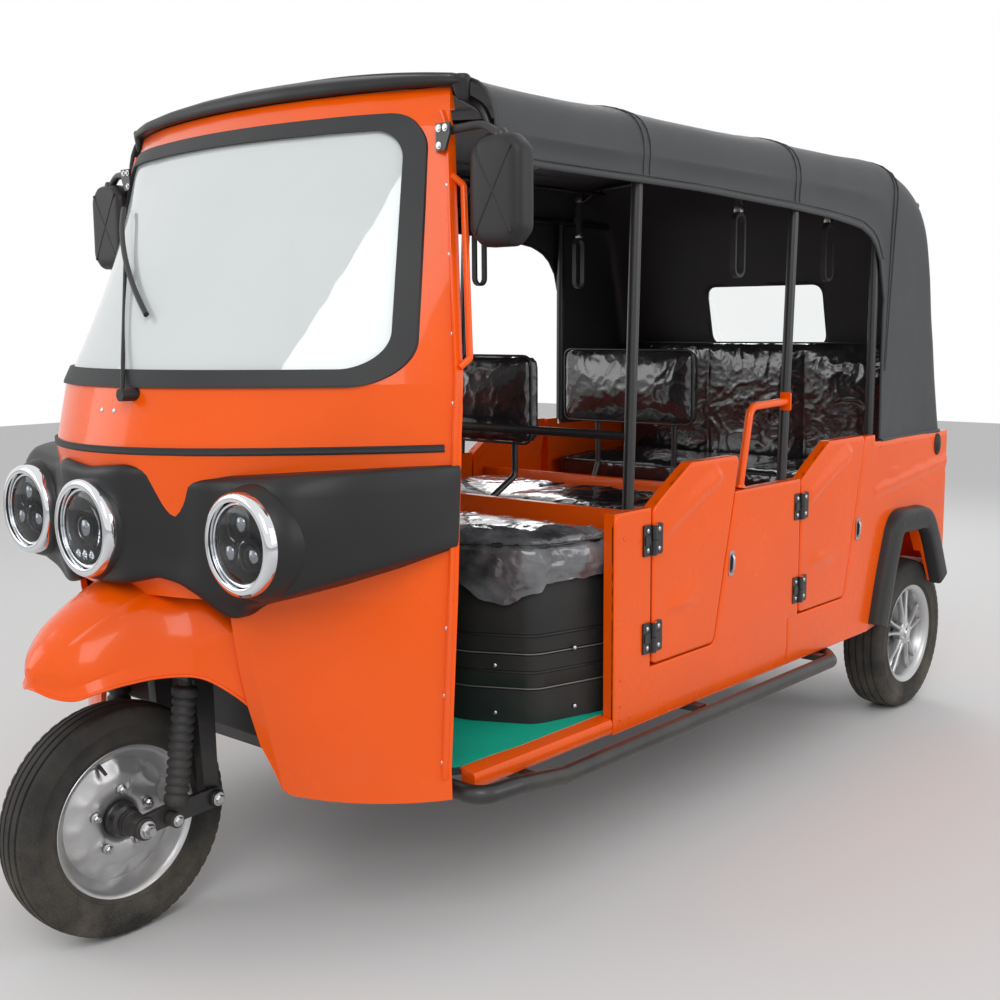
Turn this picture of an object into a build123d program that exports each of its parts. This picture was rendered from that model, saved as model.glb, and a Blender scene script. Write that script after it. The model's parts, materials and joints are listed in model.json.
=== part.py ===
"""Six-seat auto rickshaw: a three-wheeled passenger vehicle with four half doors and a canvas roof.

Millimetres. +X is the vehicle's left, +Z is up and the nose points along -Y. Lengths along
the vehicle are stations, measured back from the front axle; the finished pieces are moved
by ORIGIN_STATION so that the origin lies on the ground under the middle of the vehicle.
"""
from build123d import *
import math
import os

os.makedirs("parts", exist_ok=True)

# ---------------------------------------------------------------- driving dimensions
WHEELBASE = 2700
TYRE_RADIUS = 257
RIM_RADIUS = 166
FRONT_TYRE_WIDTH = 108
REAR_TYRE_WIDTH = 138
REAR_TRACK = 1132
RUNNING_GAP = 0.3            # between curved faces that move on each other

BODY_HALF_WIDTH = 650
WALL = 30                    # side walls and doors
SHEET = 8                    # single pressed sheets
SILL_BOTTOM = 340
SILL_TOP = 475
FLOOR_TOP = 380
FLOOR_THICKNESS = 10
MAT_THICKNESS = 5
REAR_PANEL_STATION = 2900    # outer face of the tail

PILLAR_STATION = 448         # rear edge of the windscreen pillars at the waist
B_PANEL_STATION = 945        # front edge of the panel behind the driver's doorway
PANEL_TOP = 875
SIDE_SEAM_STATION = 1790     # joint between side panel and rear quarter, in the sill
QUARTER_STATION = 2330
QUARTER_TOP = 945

DOOR_BOTTOM = 483
DOOR_TOP = 970
DOOR_BOTTOM_LENGTH = 290
DOOR_TOP_LENGTH = 410
DOOR_GAP = 8
DOOR_SHOULDER = 870          # height of the door at its hinge edge
FRONT_HINGE_STATION = 1100
REAR_HINGE_STATION = 1850
HINGE_HEIGHTS = (553, 796)
HINGE_LENGTH = 76
HINGE_LEAF = 40
HINGE_LEAF_THICKNESS = 5
HINGE_BARREL_RADIUS = 7
HINGE_PIN_RADIUS = 3.5

STEER_RAKE = 21.8            # degrees from upright
STEER_FOOT_STATION = 170     # where the steering axis passes through the fork crown
STEER_FOOT_HEIGHT = 590

CANOPY_THICKNESS = 12
CANOPY_EDGE = 1650           # lower hem along the doorways
CANOPY_FRONT_STATION = 534
ROOF_TOP = 1868

ORIGIN_STATION = WHEELBASE / 2


# ---------------------------------------------------------------- helpers
def block(x0, x1, y0, y1, z0, z1):
    """Box between two corners."""
    return Pos((x0 + x1) / 2, (y0 + y1) / 2, (z0 + z1) / 2) * Box(x1 - x0, y1 - y0, z1 - z0)


def rod(start, end, radius):
    """Round bar between two points."""
    start, end = Vector(*start), Vector(*end)
    run = end - start
    align = (Align.CENTER, Align.CENTER, Align.MIN)
    return Plane(origin=start, z_dir=run) * Cylinder(radius, run.length, align=align)


def pipe(points, radius, bend):
    """Round bar along straight runs joined by bends of one radius."""
    path = FilletPolyline(*points, radius=bend)
    return sweep(Plane(origin=path @ 0, z_dir=path % 0) * Circle(radius), path=path)


def side_plate(outline, x0, x1):
    """Plate cut to an outline of (station, height) points, between two distances from the middle."""
    face = Plane.YZ.offset(x0) * make_face(Polyline(*outline, close=True))
    return extrude(face, amount=x1 - x0)


def front_plate(outline, y0, y1):
    """Plate cut to an outline of (x, height) points, between two stations."""
    face = Plane.XZ.offset(-y0) * make_face(Polyline(*outline, close=True))
    return extrude(face, amount=-(y1 - y0))


def rounded_front_plate(outline, corner, y0, y1):
    """The same with rounded corners."""
    face = Plane.XZ.offset(-y0) * make_face(FilletPolyline(*outline, radius=corner, close=True))
    return extrude(face, amount=-(y1 - y0))


def rounded_side_plate(outline, corner, x0, x1):
    """The same seen from the side, with rounded corners."""
    face = Plane.YZ.offset(x0) * make_face(FilletPolyline(*outline, radius=corner, close=True))
    return extrude(face, amount=x1 - x0)


def mirrored(shape):
    """The same piece on the other side."""
    return mirror(shape, about=Plane.YZ)


def pair(shape):
    """A piece and its mirror image, as two solids."""
    return Compound(children=[*shape.solids(), *mirrored(shape).solids()])


def padded_block(x0, x1, y0, y1, z0, z1, corner):
    """Cushion: a box with its upright edges rounded."""
    solid = block(x0, x1, y0, y1, z0, z1)
    return fillet(solid.edges().filter_by(Axis.Z), corner)


def save(node, shape):
    """Write one piece, moved to the vehicle's origin."""
    moved = Pos(0, -ORIGIN_STATION, 0) * shape
    export_step(moved, "parts/" + node + ".step")


# ---------------------------------------------------------------- nose
# One row per height: the plan curve of the nose, from its apex on the centre line,
# through two points, to the pillar, all as (x, station).
NOSE_SECTIONS = (
    # height, apex, (x, y) inner, (x, y) outer, (x, y) pillar
    (340, 172, (350, 184), (530, 262), (650, 400)),
    (760, 29, (300, 116), (480, 253), (650, 430)),
    (1060, -24, (300, 85), (470, 243), (640, 446)),
    (1200, 15, (300, 114), (460, 249), (625, 446)),
    (1720, 338, (280, 368), (430, 412), (560, 492)),
    (1800, 400, (280, 427), (420, 462), (545, 512)),
)
NOSE_SHELL = 14
NOSE_BACK = 516              # the header over the screen reaches back to here
HEADER_FOOT = 1755
# Rear edge of the pillars, seen from the side, as (station, height).
PILLAR_EDGE = ((386, 200), (390, 405), (417, 760), (440, 1090), (452, 1200), (500, 1700), (503, HEADER_FOOT))


def nose_face(row, inset, back):
    """Plan section of the nose at one height, moved inwards by inset."""
    height, apex, inner, outer, pillar = row
    tip = (0, apex + inset)
    mid = (inner[0] - 0.3 * inset, inner[1] + inset)
    far = (outer[0] - 0.7 * inset, outer[1] + 0.7 * inset)
    end = (pillar[0] - inset, pillar[1])
    left = [(-x, y) for x, y in (mid, far, end)]
    outline = [
        ThreePointArc(left[0], tip, mid),
        ThreePointArc(mid, far, end),
        Line(end, (end[0], back)),
        Line((end[0], back), (-end[0], back)),
        Line((-end[0], back), left[2]),
        ThreePointArc(left[2], left[1], left[0]),
    ]
    return Pos(0, 0, height) * make_face(outline)


def nose_solid(inset, back=NOSE_BACK, rows=NOSE_SECTIONS):
    """The nose as a solid, moved inwards by inset all round."""
    return loft([nose_face(row, inset, back) for row in rows], ruled=True)


SCREEN_BOTTOM = 1195
SCREEN_TOP = 1750
SCREEN_BOTTOM_HALF = 572
SCREEN_TOP_HALF = 524
SCREEN_CORNER = 85
SEAL_WIDTH = 36
GLASS_THICKNESS = 6
GLASS_SEAT = 4               # glass lies this far under the skin
SEAL_STAND = 6               # seal stands this far proud of the skin


def screen_prism(inset):
    """Prism with the windscreen's outline, its edge moved inwards by inset."""
    outline = [
        (-SCREEN_BOTTOM_HALF + inset, SCREEN_BOTTOM + inset),
        (SCREEN_BOTTOM_HALF - inset, SCREEN_BOTTOM + inset),
        (SCREEN_TOP_HALF - inset, SCREEN_TOP - inset),
        (-SCREEN_TOP_HALF + inset, SCREEN_TOP - inset),
    ]
    return rounded_front_plate(outline, SCREEN_CORNER - inset / 2, -150, NOSE_BACK - 30)


# Half of the wheel opening in front view, as (x, height), from the ground up.
WHEEL_OPENING = [(372, 0), (372, 338), (346, 350), (330, 388), (303, 442), (289, 526), (284, 600), (284, 760)]
arch_cut = front_plate(WHEEL_OPENING + [(-x, height) for x, height in reversed(WHEEL_OPENING)], -300, NOSE_BACK + 10)

nose_outer = nose_solid(0)
nose_inner = nose_solid(NOSE_SHELL, back=NOSE_BACK + 100)
behind_pillar = side_plate([*PILLAR_EDGE, (NOSE_BACK + 200, HEADER_FOOT), (NOSE_BACK + 200, 200)], -800, 800)
front_cowl = nose_outer - nose_inner - screen_prism(0) - arch_cut - behind_pillar

glass = nose_solid(GLASS_SEAT) - nose_solid(GLASS_SEAT + GLASS_THICKNESS, back=NOSE_BACK + 100)
windscreen = glass & screen_prism(SEAL_WIDTH / 2)
seal_band = nose_solid(-SEAL_STAND) - nose_solid(NOSE_SHELL + SEAL_STAND, back=NOSE_BACK + 100)
windscreen_seal = (seal_band & (screen_prism(0) - screen_prism(SEAL_WIDTH))) - windscreen

# Black lamp panel: a moulded block that stands on the skin of the nose.
LAMP_RADIUS = 104.5
LAMP_RING_DEPTH = 50
LAMPS = (
    # name, x, station of the ring's front face, height
    ("centre", 0, -55, 901),
    ("side", 398, 40, 895),
)
# Right half of the block in plan, as (x, station), then in front view, as (x, height).
LAMP_PANEL_FRONT = [(0, -24), (112, -24), (185, 12), (283, 68), (300, 88), (504, 88), (570, 205), (649, 428)]
LAMP_PANEL_BACK = 450
LAMP_PANEL_OUTLINE = [(0, 1030), (112, 1038), (165, 1034), (212, 1010), (305, 1021), (649, 1038), (649, 868),
                      (480, 793), (345, 754), (316, 727), (283, 727), (222, 792), (160, 808), (100, 786), (0, 780)]


def both_sides(half_outline):
    """A closed outline from its right half, which starts and ends on the centre line."""
    other = [(-x, y) for x, y in reversed(half_outline) if x]
    return list(half_outline) + other


panel_plan = both_sides(LAMP_PANEL_FRONT + [(649, LAMP_PANEL_BACK), (0, LAMP_PANEL_BACK)])
panel_prism = Pos(0, 0, 700) * extrude(make_face(Polyline(*panel_plan, close=True)), amount=400)
panel_front = front_plate(both_sides(LAMP_PANEL_OUTLINE), -150, LAMP_PANEL_BACK)
lamp_panel = (panel_prism & panel_front) - nose_solid(-0.2) - behind_pillar


def lamp_ring(x, y, z):
    """Deep polished bezel."""
    ring = rod((x, y, z), (x, y + LAMP_RING_DEPTH, z), LAMP_RADIUS)
    return ring - rod((x, y - 1, z), (x, y + LAMP_RING_DEPTH + 1, z), LAMP_RADIUS - 19)


def lamp_unit(x, y, z):
    """Lens and reflector bowl behind the bezel."""
    return rod((x, y + 12, z), (x, y + LAMP_RING_DEPTH + 12, z), LAMP_RADIUS - 19)


def lamp_bucket(x, y, z):
    """Room that a lamp needs in the skin behind it."""
    return rod((x, y - 1, z), (x, y + LAMP_RING_DEPTH + 13, z), LAMP_RADIUS + RUNNING_GAP)


lamp_places = [(x, y, z) for name, x, y, z in LAMPS] + [(-x, y, z) for name, x, y, z in LAMPS if x]
headlamp_rings = Compound(children=[lamp_ring(*place) for place in lamp_places])
headlamps = Compound(children=[lamp_unit(*place) for place in lamp_places])
for place in lamp_places:
    lamp_panel = lamp_panel - lamp_unit(*place) - lamp_ring(*place)
    front_cowl = front_cowl - lamp_bucket(*place)

# Front mudguard: a beak over the wheel, carried by the nose. Its sides stand nearly upright
# up to a crease, and the crown arches from crease to crease.
MUDGUARD_SECTIONS = (
    # station, foot (x, height), crease (x, height), height of the crown
    (-182, (20, 585), (16, 602), 634),
    (-165, (56, 573), (50, 590), 664),
    (-142, (100, 571), (90, 592), 686),
    (-110, (128, 584), (116, 606), 715),
    (-55, (148, 594), (136, 622), 750),
    (20, (170, 597), (158, 648), 786),
    (83, (212, 590), (202, 668), 796),
    (120, (270, 558), (262, 684), 796),
    (170, (296, 505), (290, 694), 788),
)
MUDGUARD_SHEET = 8


def mudguard_face(row, inset):
    """Section across the mudguard, moved inwards by inset."""
    station, foot, crease, crown = row
    foot, crease = (foot[0] - inset, foot[1]), (crease[0] - inset, crease[1] - inset / 2)
    left_crease = (-crease[0], crease[1])
    face = make_face([
        Line((-foot[0], foot[1]), left_crease),
        ThreePointArc(left_crease, (0, crown - inset), crease),
        Line(crease, foot),
        Line(foot, (-foot[0], foot[1])),
    ])
    return Plane.XZ.offset(-station) * face


def mudguard_solid(inset, reach=0):
    """Solid beak, its ends moved out by reach so that it can hollow the piece."""
    rows = [list(row) for row in MUDGUARD_SECTIONS]
    rows[0][0] += inset - reach
    rows[-1][0] += reach
    return loft([mudguard_face(row, inset) for row in rows], ruled=True)


lower_trim = block(-700, 700, -300, 300, 480, 1100) - nose_solid(-0.3)
front_mudguard = (mudguard_solid(0) - mudguard_solid(MUDGUARD_SHEET, reach=1)) & lower_trim
front_mudguard = front_mudguard - lamp_panel
for place in lamp_places:
    front_mudguard = front_mudguard - lamp_bucket(*place)

# ---------------------------------------------------------------- steering
rake = math.radians(STEER_RAKE)
steer_axis = Vector(0, math.sin(rake), math.cos(rake))
steer_foot = Vector(0, STEER_FOOT_STATION, STEER_FOOT_HEIGHT)


def on_steering_axis(distance):
    """Point on the steering axis, so far above the fork crown."""
    return steer_foot + steer_axis * distance


STEM_RADIUS = 17
HEAD_RADIUS = 30
HEAD_LOW = 22
HEAD_HIGH = 250
COLUMN_TOP = 545
CROWN_HALF_WIDTH = 122
LEG_X = 78                   # middle of each fork leg
LEG_HALF = 14
PIVOT_STATION = 186          # pivot of the leading links
PIVOT_HEIGHT = 272
ARM_GAP = 1
AXLE_RADIUS = 9
SHOCK_X = 122
SHOCK_FOOT = (66, 262)       # station and height of the lower eye
SHOCK_HEAD = (112, 588)
SHOCK_RADIUS = 27

crown = block(-CROWN_HALF_WIDTH - 24, CROWN_HALF_WIDTH + 24, 96, 206, 566, 590)
leg = side_plate([(150, 567), (200, 567), (206, 250), (170, 250)], LEG_X - LEG_HALF, LEG_X + LEG_HALF)
leg_face = LEG_X + LEG_HALF
pivot_pin = rod((leg_face, PIVOT_STATION, PIVOT_HEIGHT), (leg_face + 26, PIVOT_STATION, PIVOT_HEIGHT), 8)
shock_ear = block(SHOCK_X - 12, SHOCK_X + 12, 98, 126, 590, 606)
stem = rod(tuple(steer_foot), tuple(on_steering_axis(COLUMN_TOP)), STEM_RADIUS)
half_fork = leg + pivot_pin + shock_ear
steering_fork = stem + crown + half_fork + mirrored(half_fork)

arm_x0 = leg_face + ARM_GAP
arm_outline = [(-22, 238), (-22, 276), (PIVOT_STATION + 20, PIVOT_HEIGHT + 20), (PIVOT_STATION + 20, PIVOT_HEIGHT - 20)]
arm = side_plate(arm_outline, arm_x0, arm_x0 + 14)
arm = arm - rod((arm_x0 - 5, PIVOT_STATION, PIVOT_HEIGHT), (arm_x0 + 40, PIVOT_STATION, PIVOT_HEIGHT), 8)
arm = arm - rod((0, 0, TYRE_RADIUS), (arm_x0 + 40, 0, TYRE_RADIUS), AXLE_RADIUS)
shock_pin = rod((arm_x0 + 14, *SHOCK_FOOT), (SHOCK_X - 12, *SHOCK_FOOT), 7)
front_link_arms = pair(arm + shock_pin)

shock_eye = rod((SHOCK_X - 12, *SHOCK_FOOT), (SHOCK_X + 12, *SHOCK_FOOT), 18)
shock_rod = rod((SHOCK_X, SHOCK_FOOT[0], SHOCK_FOOT[1]), (SHOCK_X, SHOCK_HEAD[0], 566), 12)
shock_body = rod((SHOCK_X, SHOCK_FOOT[0] + 5, 300), (SHOCK_X, SHOCK_HEAD[0] - 3, 560), SHOCK_RADIUS)
front_shock_absorbers = pair((shock_eye + shock_rod + shock_body) - crown)

front_axle = rod((-arm_x0 - 30, 0, TYRE_RADIUS), (arm_x0 + 30, 0, TYRE_RADIUS), AXLE_RADIUS)
axle_nut = rod((arm_x0 + 14, 0, TYRE_RADIUS), (arm_x0 + 26, 0, TYRE_RADIUS), 16)
front_axle = front_axle + axle_nut + mirrored(axle_nut)

BAR_RADIUS = 11
BAR_HALF = 335
GRIP_LENGTH = 118
GRIP_RADIUS = 16
bar_height = on_steering_axis(COLUMN_TOP).Z + BAR_RADIUS
bar_station = on_steering_axis(COLUMN_TOP).Y
bar_points = [(0, bar_station, bar_height), (110, bar_station, bar_height + 14),
              (210, bar_station + 40, bar_height + 24), (BAR_HALF, bar_station + 100, bar_height)]
half_bar = pipe(bar_points, BAR_RADIUS, 40)
bar_end, bar_elbow = Vector(*bar_points[-1]), Vector(*bar_points[-2])
grip = rod(tuple(bar_end), tuple(bar_end + (bar_elbow - bar_end).normalized() * GRIP_LENGTH), GRIP_RADIUS)
clamp = rod(tuple(on_steering_axis(COLUMN_TOP + 1)), tuple(on_steering_axis(COLUMN_TOP + 24)), 26)
handlebar = half_bar + mirrored(half_bar) + grip + mirrored(grip) + clamp
handlebar = handlebar - stem


# ---------------------------------------------------------------- wheels
def wheel_body(profile):
    """Solid of revolution about the wheel's own axis, from (x, radius) points."""
    return revolve(make_face(profile), axis=Axis.X)


def tyre(width, belt):
    """Tyre with a crowned tread and bulged walls; belt is the width over the rim flanges."""
    half, flat, bead = width / 2, width * 0.36, belt / 2
    waist = (TYRE_RADIUS + RIM_RADIUS) / 2
    shoulder = TYRE_RADIUS - 14
    outline = [
        ThreePointArc((-flat, TYRE_RADIUS - 5), (0, TYRE_RADIUS), (flat, TYRE_RADIUS - 5)),
        Line((flat, TYRE_RADIUS - 5), (half - 4, shoulder - 8)),
        ThreePointArc((half - 4, shoulder - 8), (half, waist), (bead + 2, RIM_RADIUS + 4)),
        Line((bead + 2, RIM_RADIUS + 4), (bead - 10, RIM_RADIUS - 12)),
        Line((bead - 10, RIM_RADIUS - 12), (-bead + 10, RIM_RADIUS - 12)),
        Line((-bead + 10, RIM_RADIUS - 12), (-bead - 2, RIM_RADIUS + 4)),
        ThreePointArc((-bead - 2, RIM_RADIUS + 4), (-half, waist), (-half + 4, shoulder - 8)),
        Line((-half + 4, shoulder - 8), (-flat, TYRE_RADIUS - 5)),
    ]
    return wheel_body(outline)


def rim_barrel(belt):
    """Channel that carries the tyre."""
    bead = belt / 2
    outline = Polyline(
        (-bead, RIM_RADIUS + 3), (-bead + 8, RIM_RADIUS - 12), (-bead + 10, RIM_RADIUS - 12.5),
        (bead - 10, RIM_RADIUS - 12.5), (bead - 8, RIM_RADIUS - 12), (bead, RIM_RADIUS + 3),
        (bead, RIM_RADIUS - 10), (bead - 10, RIM_RADIUS - 20), (-bead + 10, RIM_RADIUS - 20),
        (-bead, RIM_RADIUS - 10), close=True)
    return wheel_body(outline)


FRONT_BELT = 84
REAR_BELT = 112
FRONT_HUB_RADIUS = 46
REAR_HUB_RADIUS = 34
BORE_RADIUS = AXLE_RADIUS + RUNNING_GAP

barrel_outer = RIM_RADIUS - 19
disc_profile = Polyline(
    (8, FRONT_HUB_RADIUS - 8), (18, FRONT_HUB_RADIUS + 8), (20, 100), (10, 118), (10, barrel_outer),
    (3, barrel_outer), (3, 112), (12, 96), (10, FRONT_HUB_RADIUS + 8), (0, FRONT_HUB_RADIUS - 8), close=True)
front_hub = rod((-arm_x0 + 4, 0, 0), (arm_x0 - 4, 0, 0), 22) + rod((-30, 0, 0), (34, 0, 0), FRONT_HUB_RADIUS)
front_rim = rim_barrel(FRONT_BELT) + wheel_body(disc_profile) + front_hub
front_rim = front_rim - rod((-200, 0, 0), (200, 0, 0), BORE_RADIUS)
front_wheel_centre = Pos(0, 0, TYRE_RADIUS)
front_tyre = front_wheel_centre * (tyre(FRONT_TYRE_WIDTH, FRONT_BELT) - rim_barrel(FRONT_BELT))
front_rim = front_wheel_centre * front_rim

SPOKE_PAIRS = 5
SPOKE_SPREAD = 16            # degrees between the two spokes of a pair, at the rim
rear_face = REAR_BELT / 2 - 14
STUB_RADIUS = 16
stub_x = REAR_TRACK / 2 + 9


def spoke(angle, side):
    """Slender spoke from the boss to the rim, to one side of the middle of its pair."""
    bar = block(rear_face - 20, rear_face, -6, 6, REAR_HUB_RADIUS - 6, barrel_outer + 2)
    return Rot(angle + side * SPOKE_SPREAD / 2, 0, 0) * Pos(0, -side * 4, 0) * bar


def rear_rim(side):
    """Alloy wheel; side is +1 for the left wheel and -1 for the right."""
    wheel = rim_barrel(REAR_BELT) + rod((-20, 0, 0), (rear_face + 8, 0, 0), REAR_HUB_RADIUS)
    for index in range(SPOKE_PAIRS):
        angle = index * 360 / SPOKE_PAIRS
        wheel = wheel + spoke(angle, 1) + spoke(angle, -1)
    wheel = wheel - rod((-200, 0, 0), (stub_x - REAR_TRACK / 2 + 1, 0, 0), STUB_RADIUS + RUNNING_GAP)
    return wheel if side > 0 else mirrored(wheel)


def rear_place(side):
    """Centre of a rear wheel."""
    return Pos(side * REAR_TRACK / 2, WHEELBASE, TYRE_RADIUS)


rear_tyre = tyre(REAR_TYRE_WIDTH, REAR_BELT) - rim_barrel(REAR_BELT)

# ---------------------------------------------------------------- chassis
RAIL_X = 300
RAIL_HALF = 25
RAIL_TOP = FLOOR_TOP - FLOOR_THICKNESS
RAIL_BOTTOM = RAIL_TOP - 50
RAIL_FRONT_STATION = 380
CROSS_STATIONS = (400, 560, 700, 1020, 1500, 2050, 2400, 2850)
OUTRIGGER_STATIONS = (620, 1300, 1960)
STEP_X = 700
STEP_HEIGHT = 322
STEP_RADIUS = 20

rail_inner, rail_outer = RAIL_X - RAIL_HALF, RAIL_X + RAIL_HALF
JACK_PADS = (900, 2200)      # stations of the lifting pads under each rail
JACK_PAD_DEPTH = 10
JACK_PAD_HALF_LENGTH = 45
rail = block(rail_inner, rail_outer, RAIL_FRONT_STATION, REAR_PANEL_STATION - WALL, RAIL_BOTTOM, RAIL_TOP)
for station in JACK_PADS:
    rail = rail + block(rail_inner, rail_outer, station - JACK_PAD_HALF_LENGTH, station + JACK_PAD_HALF_LENGTH,
                        RAIL_BOTTOM - JACK_PAD_DEPTH, RAIL_BOTTOM)
chassis_rails = pair(rail)
cross_members = Compound(children=[
    block(-rail_inner, rail_inner, station - 20, station + 20, RAIL_BOTTOM, RAIL_TOP) for station in CROSS_STATIONS])
outriggers = Compound(children=[
    solid for station in OUTRIGGER_STATIONS
    for solid in pair(block(rail_outer, STEP_X - STEP_RADIUS - 1, station - 15, station + 15,
                            RAIL_BOTTOM, RAIL_BOTTOM + 18)).solids()])
head_tube = rod(tuple(on_steering_axis(HEAD_LOW)), tuple(on_steering_axis(HEAD_HIGH)), HEAD_RADIUS)
head_tube_bore = rod(tuple(on_steering_axis(HEAD_LOW - 30)), tuple(on_steering_axis(HEAD_HIGH + 30)),
                     STEM_RADIUS + RUNNING_GAP)
neck = side_plate([(262, 640), (290, 700), (345, 640), (400, 372), (380, 322), (350, 372), (300, 560)], -40, 40)
neck_lug = side_plate([(205, 660), (225, 720), (290, 700), (262, 630)], -20, 20)
steering_head = (head_tube + neck + neck_lug) - head_tube_bore - cross_members.solids()[0]

floor_outline = [(-540, 330), (540, 330), (610, PILLAR_STATION), (618, 620), (618, 2380), (470, 2380),
                 (470, REAR_PANEL_STATION - WALL), (-470, REAR_PANEL_STATION - WALL), (-470, 2380),
                 (-618, 2380), (-618, 620), (-610, PILLAR_STATION)]
floor_room = nose_solid(NOSE_SHELL + 1) + block(-700, 700, PILLAR_STATION, 3000, 300, 500)
ENGINE_HALF_WIDTH = 200
engine_well = block(-ENGINE_HALF_WIDTH - 10, ENGINE_HALF_WIDTH + 10, 720, 1000, 200, 700)
floor_pan = Pos(0, 0, RAIL_TOP) * extrude(make_face(Polyline(*floor_outline, close=True)), amount=FLOOR_THICKNESS)
floor_pan = (floor_pan - engine_well - neck) & floor_room
engine = block(-ENGINE_HALF_WIDTH, ENGINE_HALF_WIDTH, 720, 1000, 250, 620)
drive_shaft = rod((0, 1000, 285), (0, WHEELBASE - 100, TYRE_RADIUS), 22)

AXLE_TUBE_RADIUS = 36
DRUM_RADIUS = 98
DRUM_WIDTH = 46
drum_x = REAR_TRACK / 2 - 22
DIFFERENTIAL_RADIUS = 104
axle_half = [(0, DIFFERENTIAL_RADIUS), (60, 92), (100, AXLE_TUBE_RADIUS), (drum_x - DRUM_WIDTH, AXLE_TUBE_RADIUS),
             (drum_x - DRUM_WIDTH, DRUM_RADIUS), (drum_x, DRUM_RADIUS), (drum_x, STUB_RADIUS), (stub_x, STUB_RADIUS)]
axle_outline = [(-x, radius) for x, radius in reversed(axle_half[1:])] + axle_half
axle_face = make_face(Polyline((-stub_x, 0), *axle_outline, (stub_x, 0), close=True))
rear_axle = Pos(0, WHEELBASE, TYRE_RADIUS) * revolve(axle_face, axis=Axis.X)
drive_shaft = drive_shaft - rear_axle - engine

spring_low = TYRE_RADIUS + AXLE_TUBE_RADIUS
spring_face = Plane.YZ.offset(RAIL_X - 24) * make_face([
    ThreePointArc((WHEELBASE - 400, 306), (WHEELBASE, spring_low), (WHEELBASE + 190, 299)),
    Line((WHEELBASE + 190, 299), (WHEELBASE + 190, RAIL_BOTTOM)),
    ThreePointArc((WHEELBASE + 190, RAIL_BOTTOM), (WHEELBASE, spring_low + 22), (WHEELBASE - 400, RAIL_BOTTOM)),
    Line((WHEELBASE - 400, RAIL_BOTTOM), (WHEELBASE - 400, 306)),
])
leaf_springs = pair(extrude(spring_face, amount=48) - rear_axle)

# ---------------------------------------------------------------- body sides
DOOR_OUTLINE = (
    # distance behind the hinge edge, height
    (0, DOOR_BOTTOM), (DOOR_BOTTOM_LENGTH, DOOR_BOTTOM), (DOOR_TOP_LENGTH, DOOR_TOP), (175, DOOR_TOP), (60, 905),
    (0, DOOR_SHOULDER))
DOORS = (
    # node part, hinge station
    ("front", FRONT_HINGE_STATION),
    ("rear", REAR_HINGE_STATION),
)
skin_inner = BODY_HALF_WIDTH - WALL


def door_aperture(hinge):
    """Room that a door needs in the side wall, open at the top."""
    slope = (DOOR_TOP_LENGTH - DOOR_BOTTOM_LENGTH) / (DOOR_TOP - DOOR_BOTTOM)
    low, high = DOOR_BOTTOM - DOOR_GAP, DOOR_TOP + 200
    rear_low = DOOR_BOTTOM_LENGTH - slope * DOOR_GAP + DOOR_GAP
    rear_high = rear_low + slope * (high - low)
    outline = [(hinge - DOOR_GAP / 2, low), (hinge + rear_low, low), (hinge + rear_high, high), (hinge - DOOR_GAP / 2, high)]
    return side_plate(outline, skin_inner - 60, BODY_HALF_WIDTH + 60)


side_outline = [(B_PANEL_STATION, SILL_BOTTOM), (SIDE_SEAM_STATION - 1, SILL_BOTTOM), (SIDE_SEAM_STATION - 1, SILL_TOP),
                (REAR_HINGE_STATION - DOOR_GAP / 2, SILL_TOP), (REAR_HINGE_STATION - DOOR_GAP / 2, PANEL_TOP),
                (B_PANEL_STATION, PANEL_TOP)]
side_panel = side_plate(side_outline, skin_inner, BODY_HALF_WIDTH) - door_aperture(FRONT_HINGE_STATION)

WHEELHOUSE_INNER = REAR_TRACK / 2 - REAR_TYRE_WIDTH / 2 - 15
WHEELHOUSE_TOP = 650
WHEELHOUSE_FRONT = WHEELBASE - TYRE_RADIUS - 50
ARCH_SKIN = 8
arch_outline = [(2395, 200), (2395, 345), (2500, 640), (2672, 632), (2800, 430), (2960, 400), (2960, 200)]
quarter_outline = [(SIDE_SEAM_STATION + 1, SILL_BOTTOM), (2310, SILL_BOTTOM), (2395, 352), (2800, 430),
                   (REAR_PANEL_STATION, 420), (REAR_PANEL_STATION, QUARTER_TOP), (QUARTER_STATION, QUARTER_TOP),
                   (QUARTER_STATION, QUARTER_TOP + 22), (QUARTER_STATION - 60, QUARTER_TOP + 22),
                   (QUARTER_STATION - 60, SILL_TOP), (SIDE_SEAM_STATION + 1, SILL_TOP)]
quarter = side_plate(quarter_outline, skin_inner, BODY_HALF_WIDTH) - door_aperture(REAR_HINGE_STATION)
quarter = quarter - side_plate(arch_outline, skin_inner - 10, BODY_HALF_WIDTH + 10)
wheel_room = rod((WHEELHOUSE_INNER + SHEET, WHEELBASE, TYRE_RADIUS),
                 (BODY_HALF_WIDTH - ARCH_SKIN, WHEELBASE, TYRE_RADIUS), TYRE_RADIUS + 30)
wheelhouse = block(WHEELHOUSE_INNER, skin_inner, WHEELHOUSE_FRONT, REAR_PANEL_STATION - WALL, 345, WHEELHOUSE_TOP)
wheelhouse = wheelhouse - block(WHEELHOUSE_INNER + SHEET, skin_inner + 1, WHEELHOUSE_FRONT + SHEET,
                                REAR_PANEL_STATION - WALL - SHEET, 300, WHEELHOUSE_TOP - SHEET)
quarter = quarter + wheelhouse - wheel_room
quarter = quarter.solids().sort_by(SortBy.VOLUME)[-1]
side_panels = pair(side_panel)
rear_quarters = pair(quarter)

rear_panel = block(-skin_inner, skin_inner, REAR_PANEL_STATION - WALL, REAR_PANEL_STATION, 420, QUARTER_TOP)
rear_panel = rear_panel - wheel_room - mirrored(wheel_room)

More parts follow.
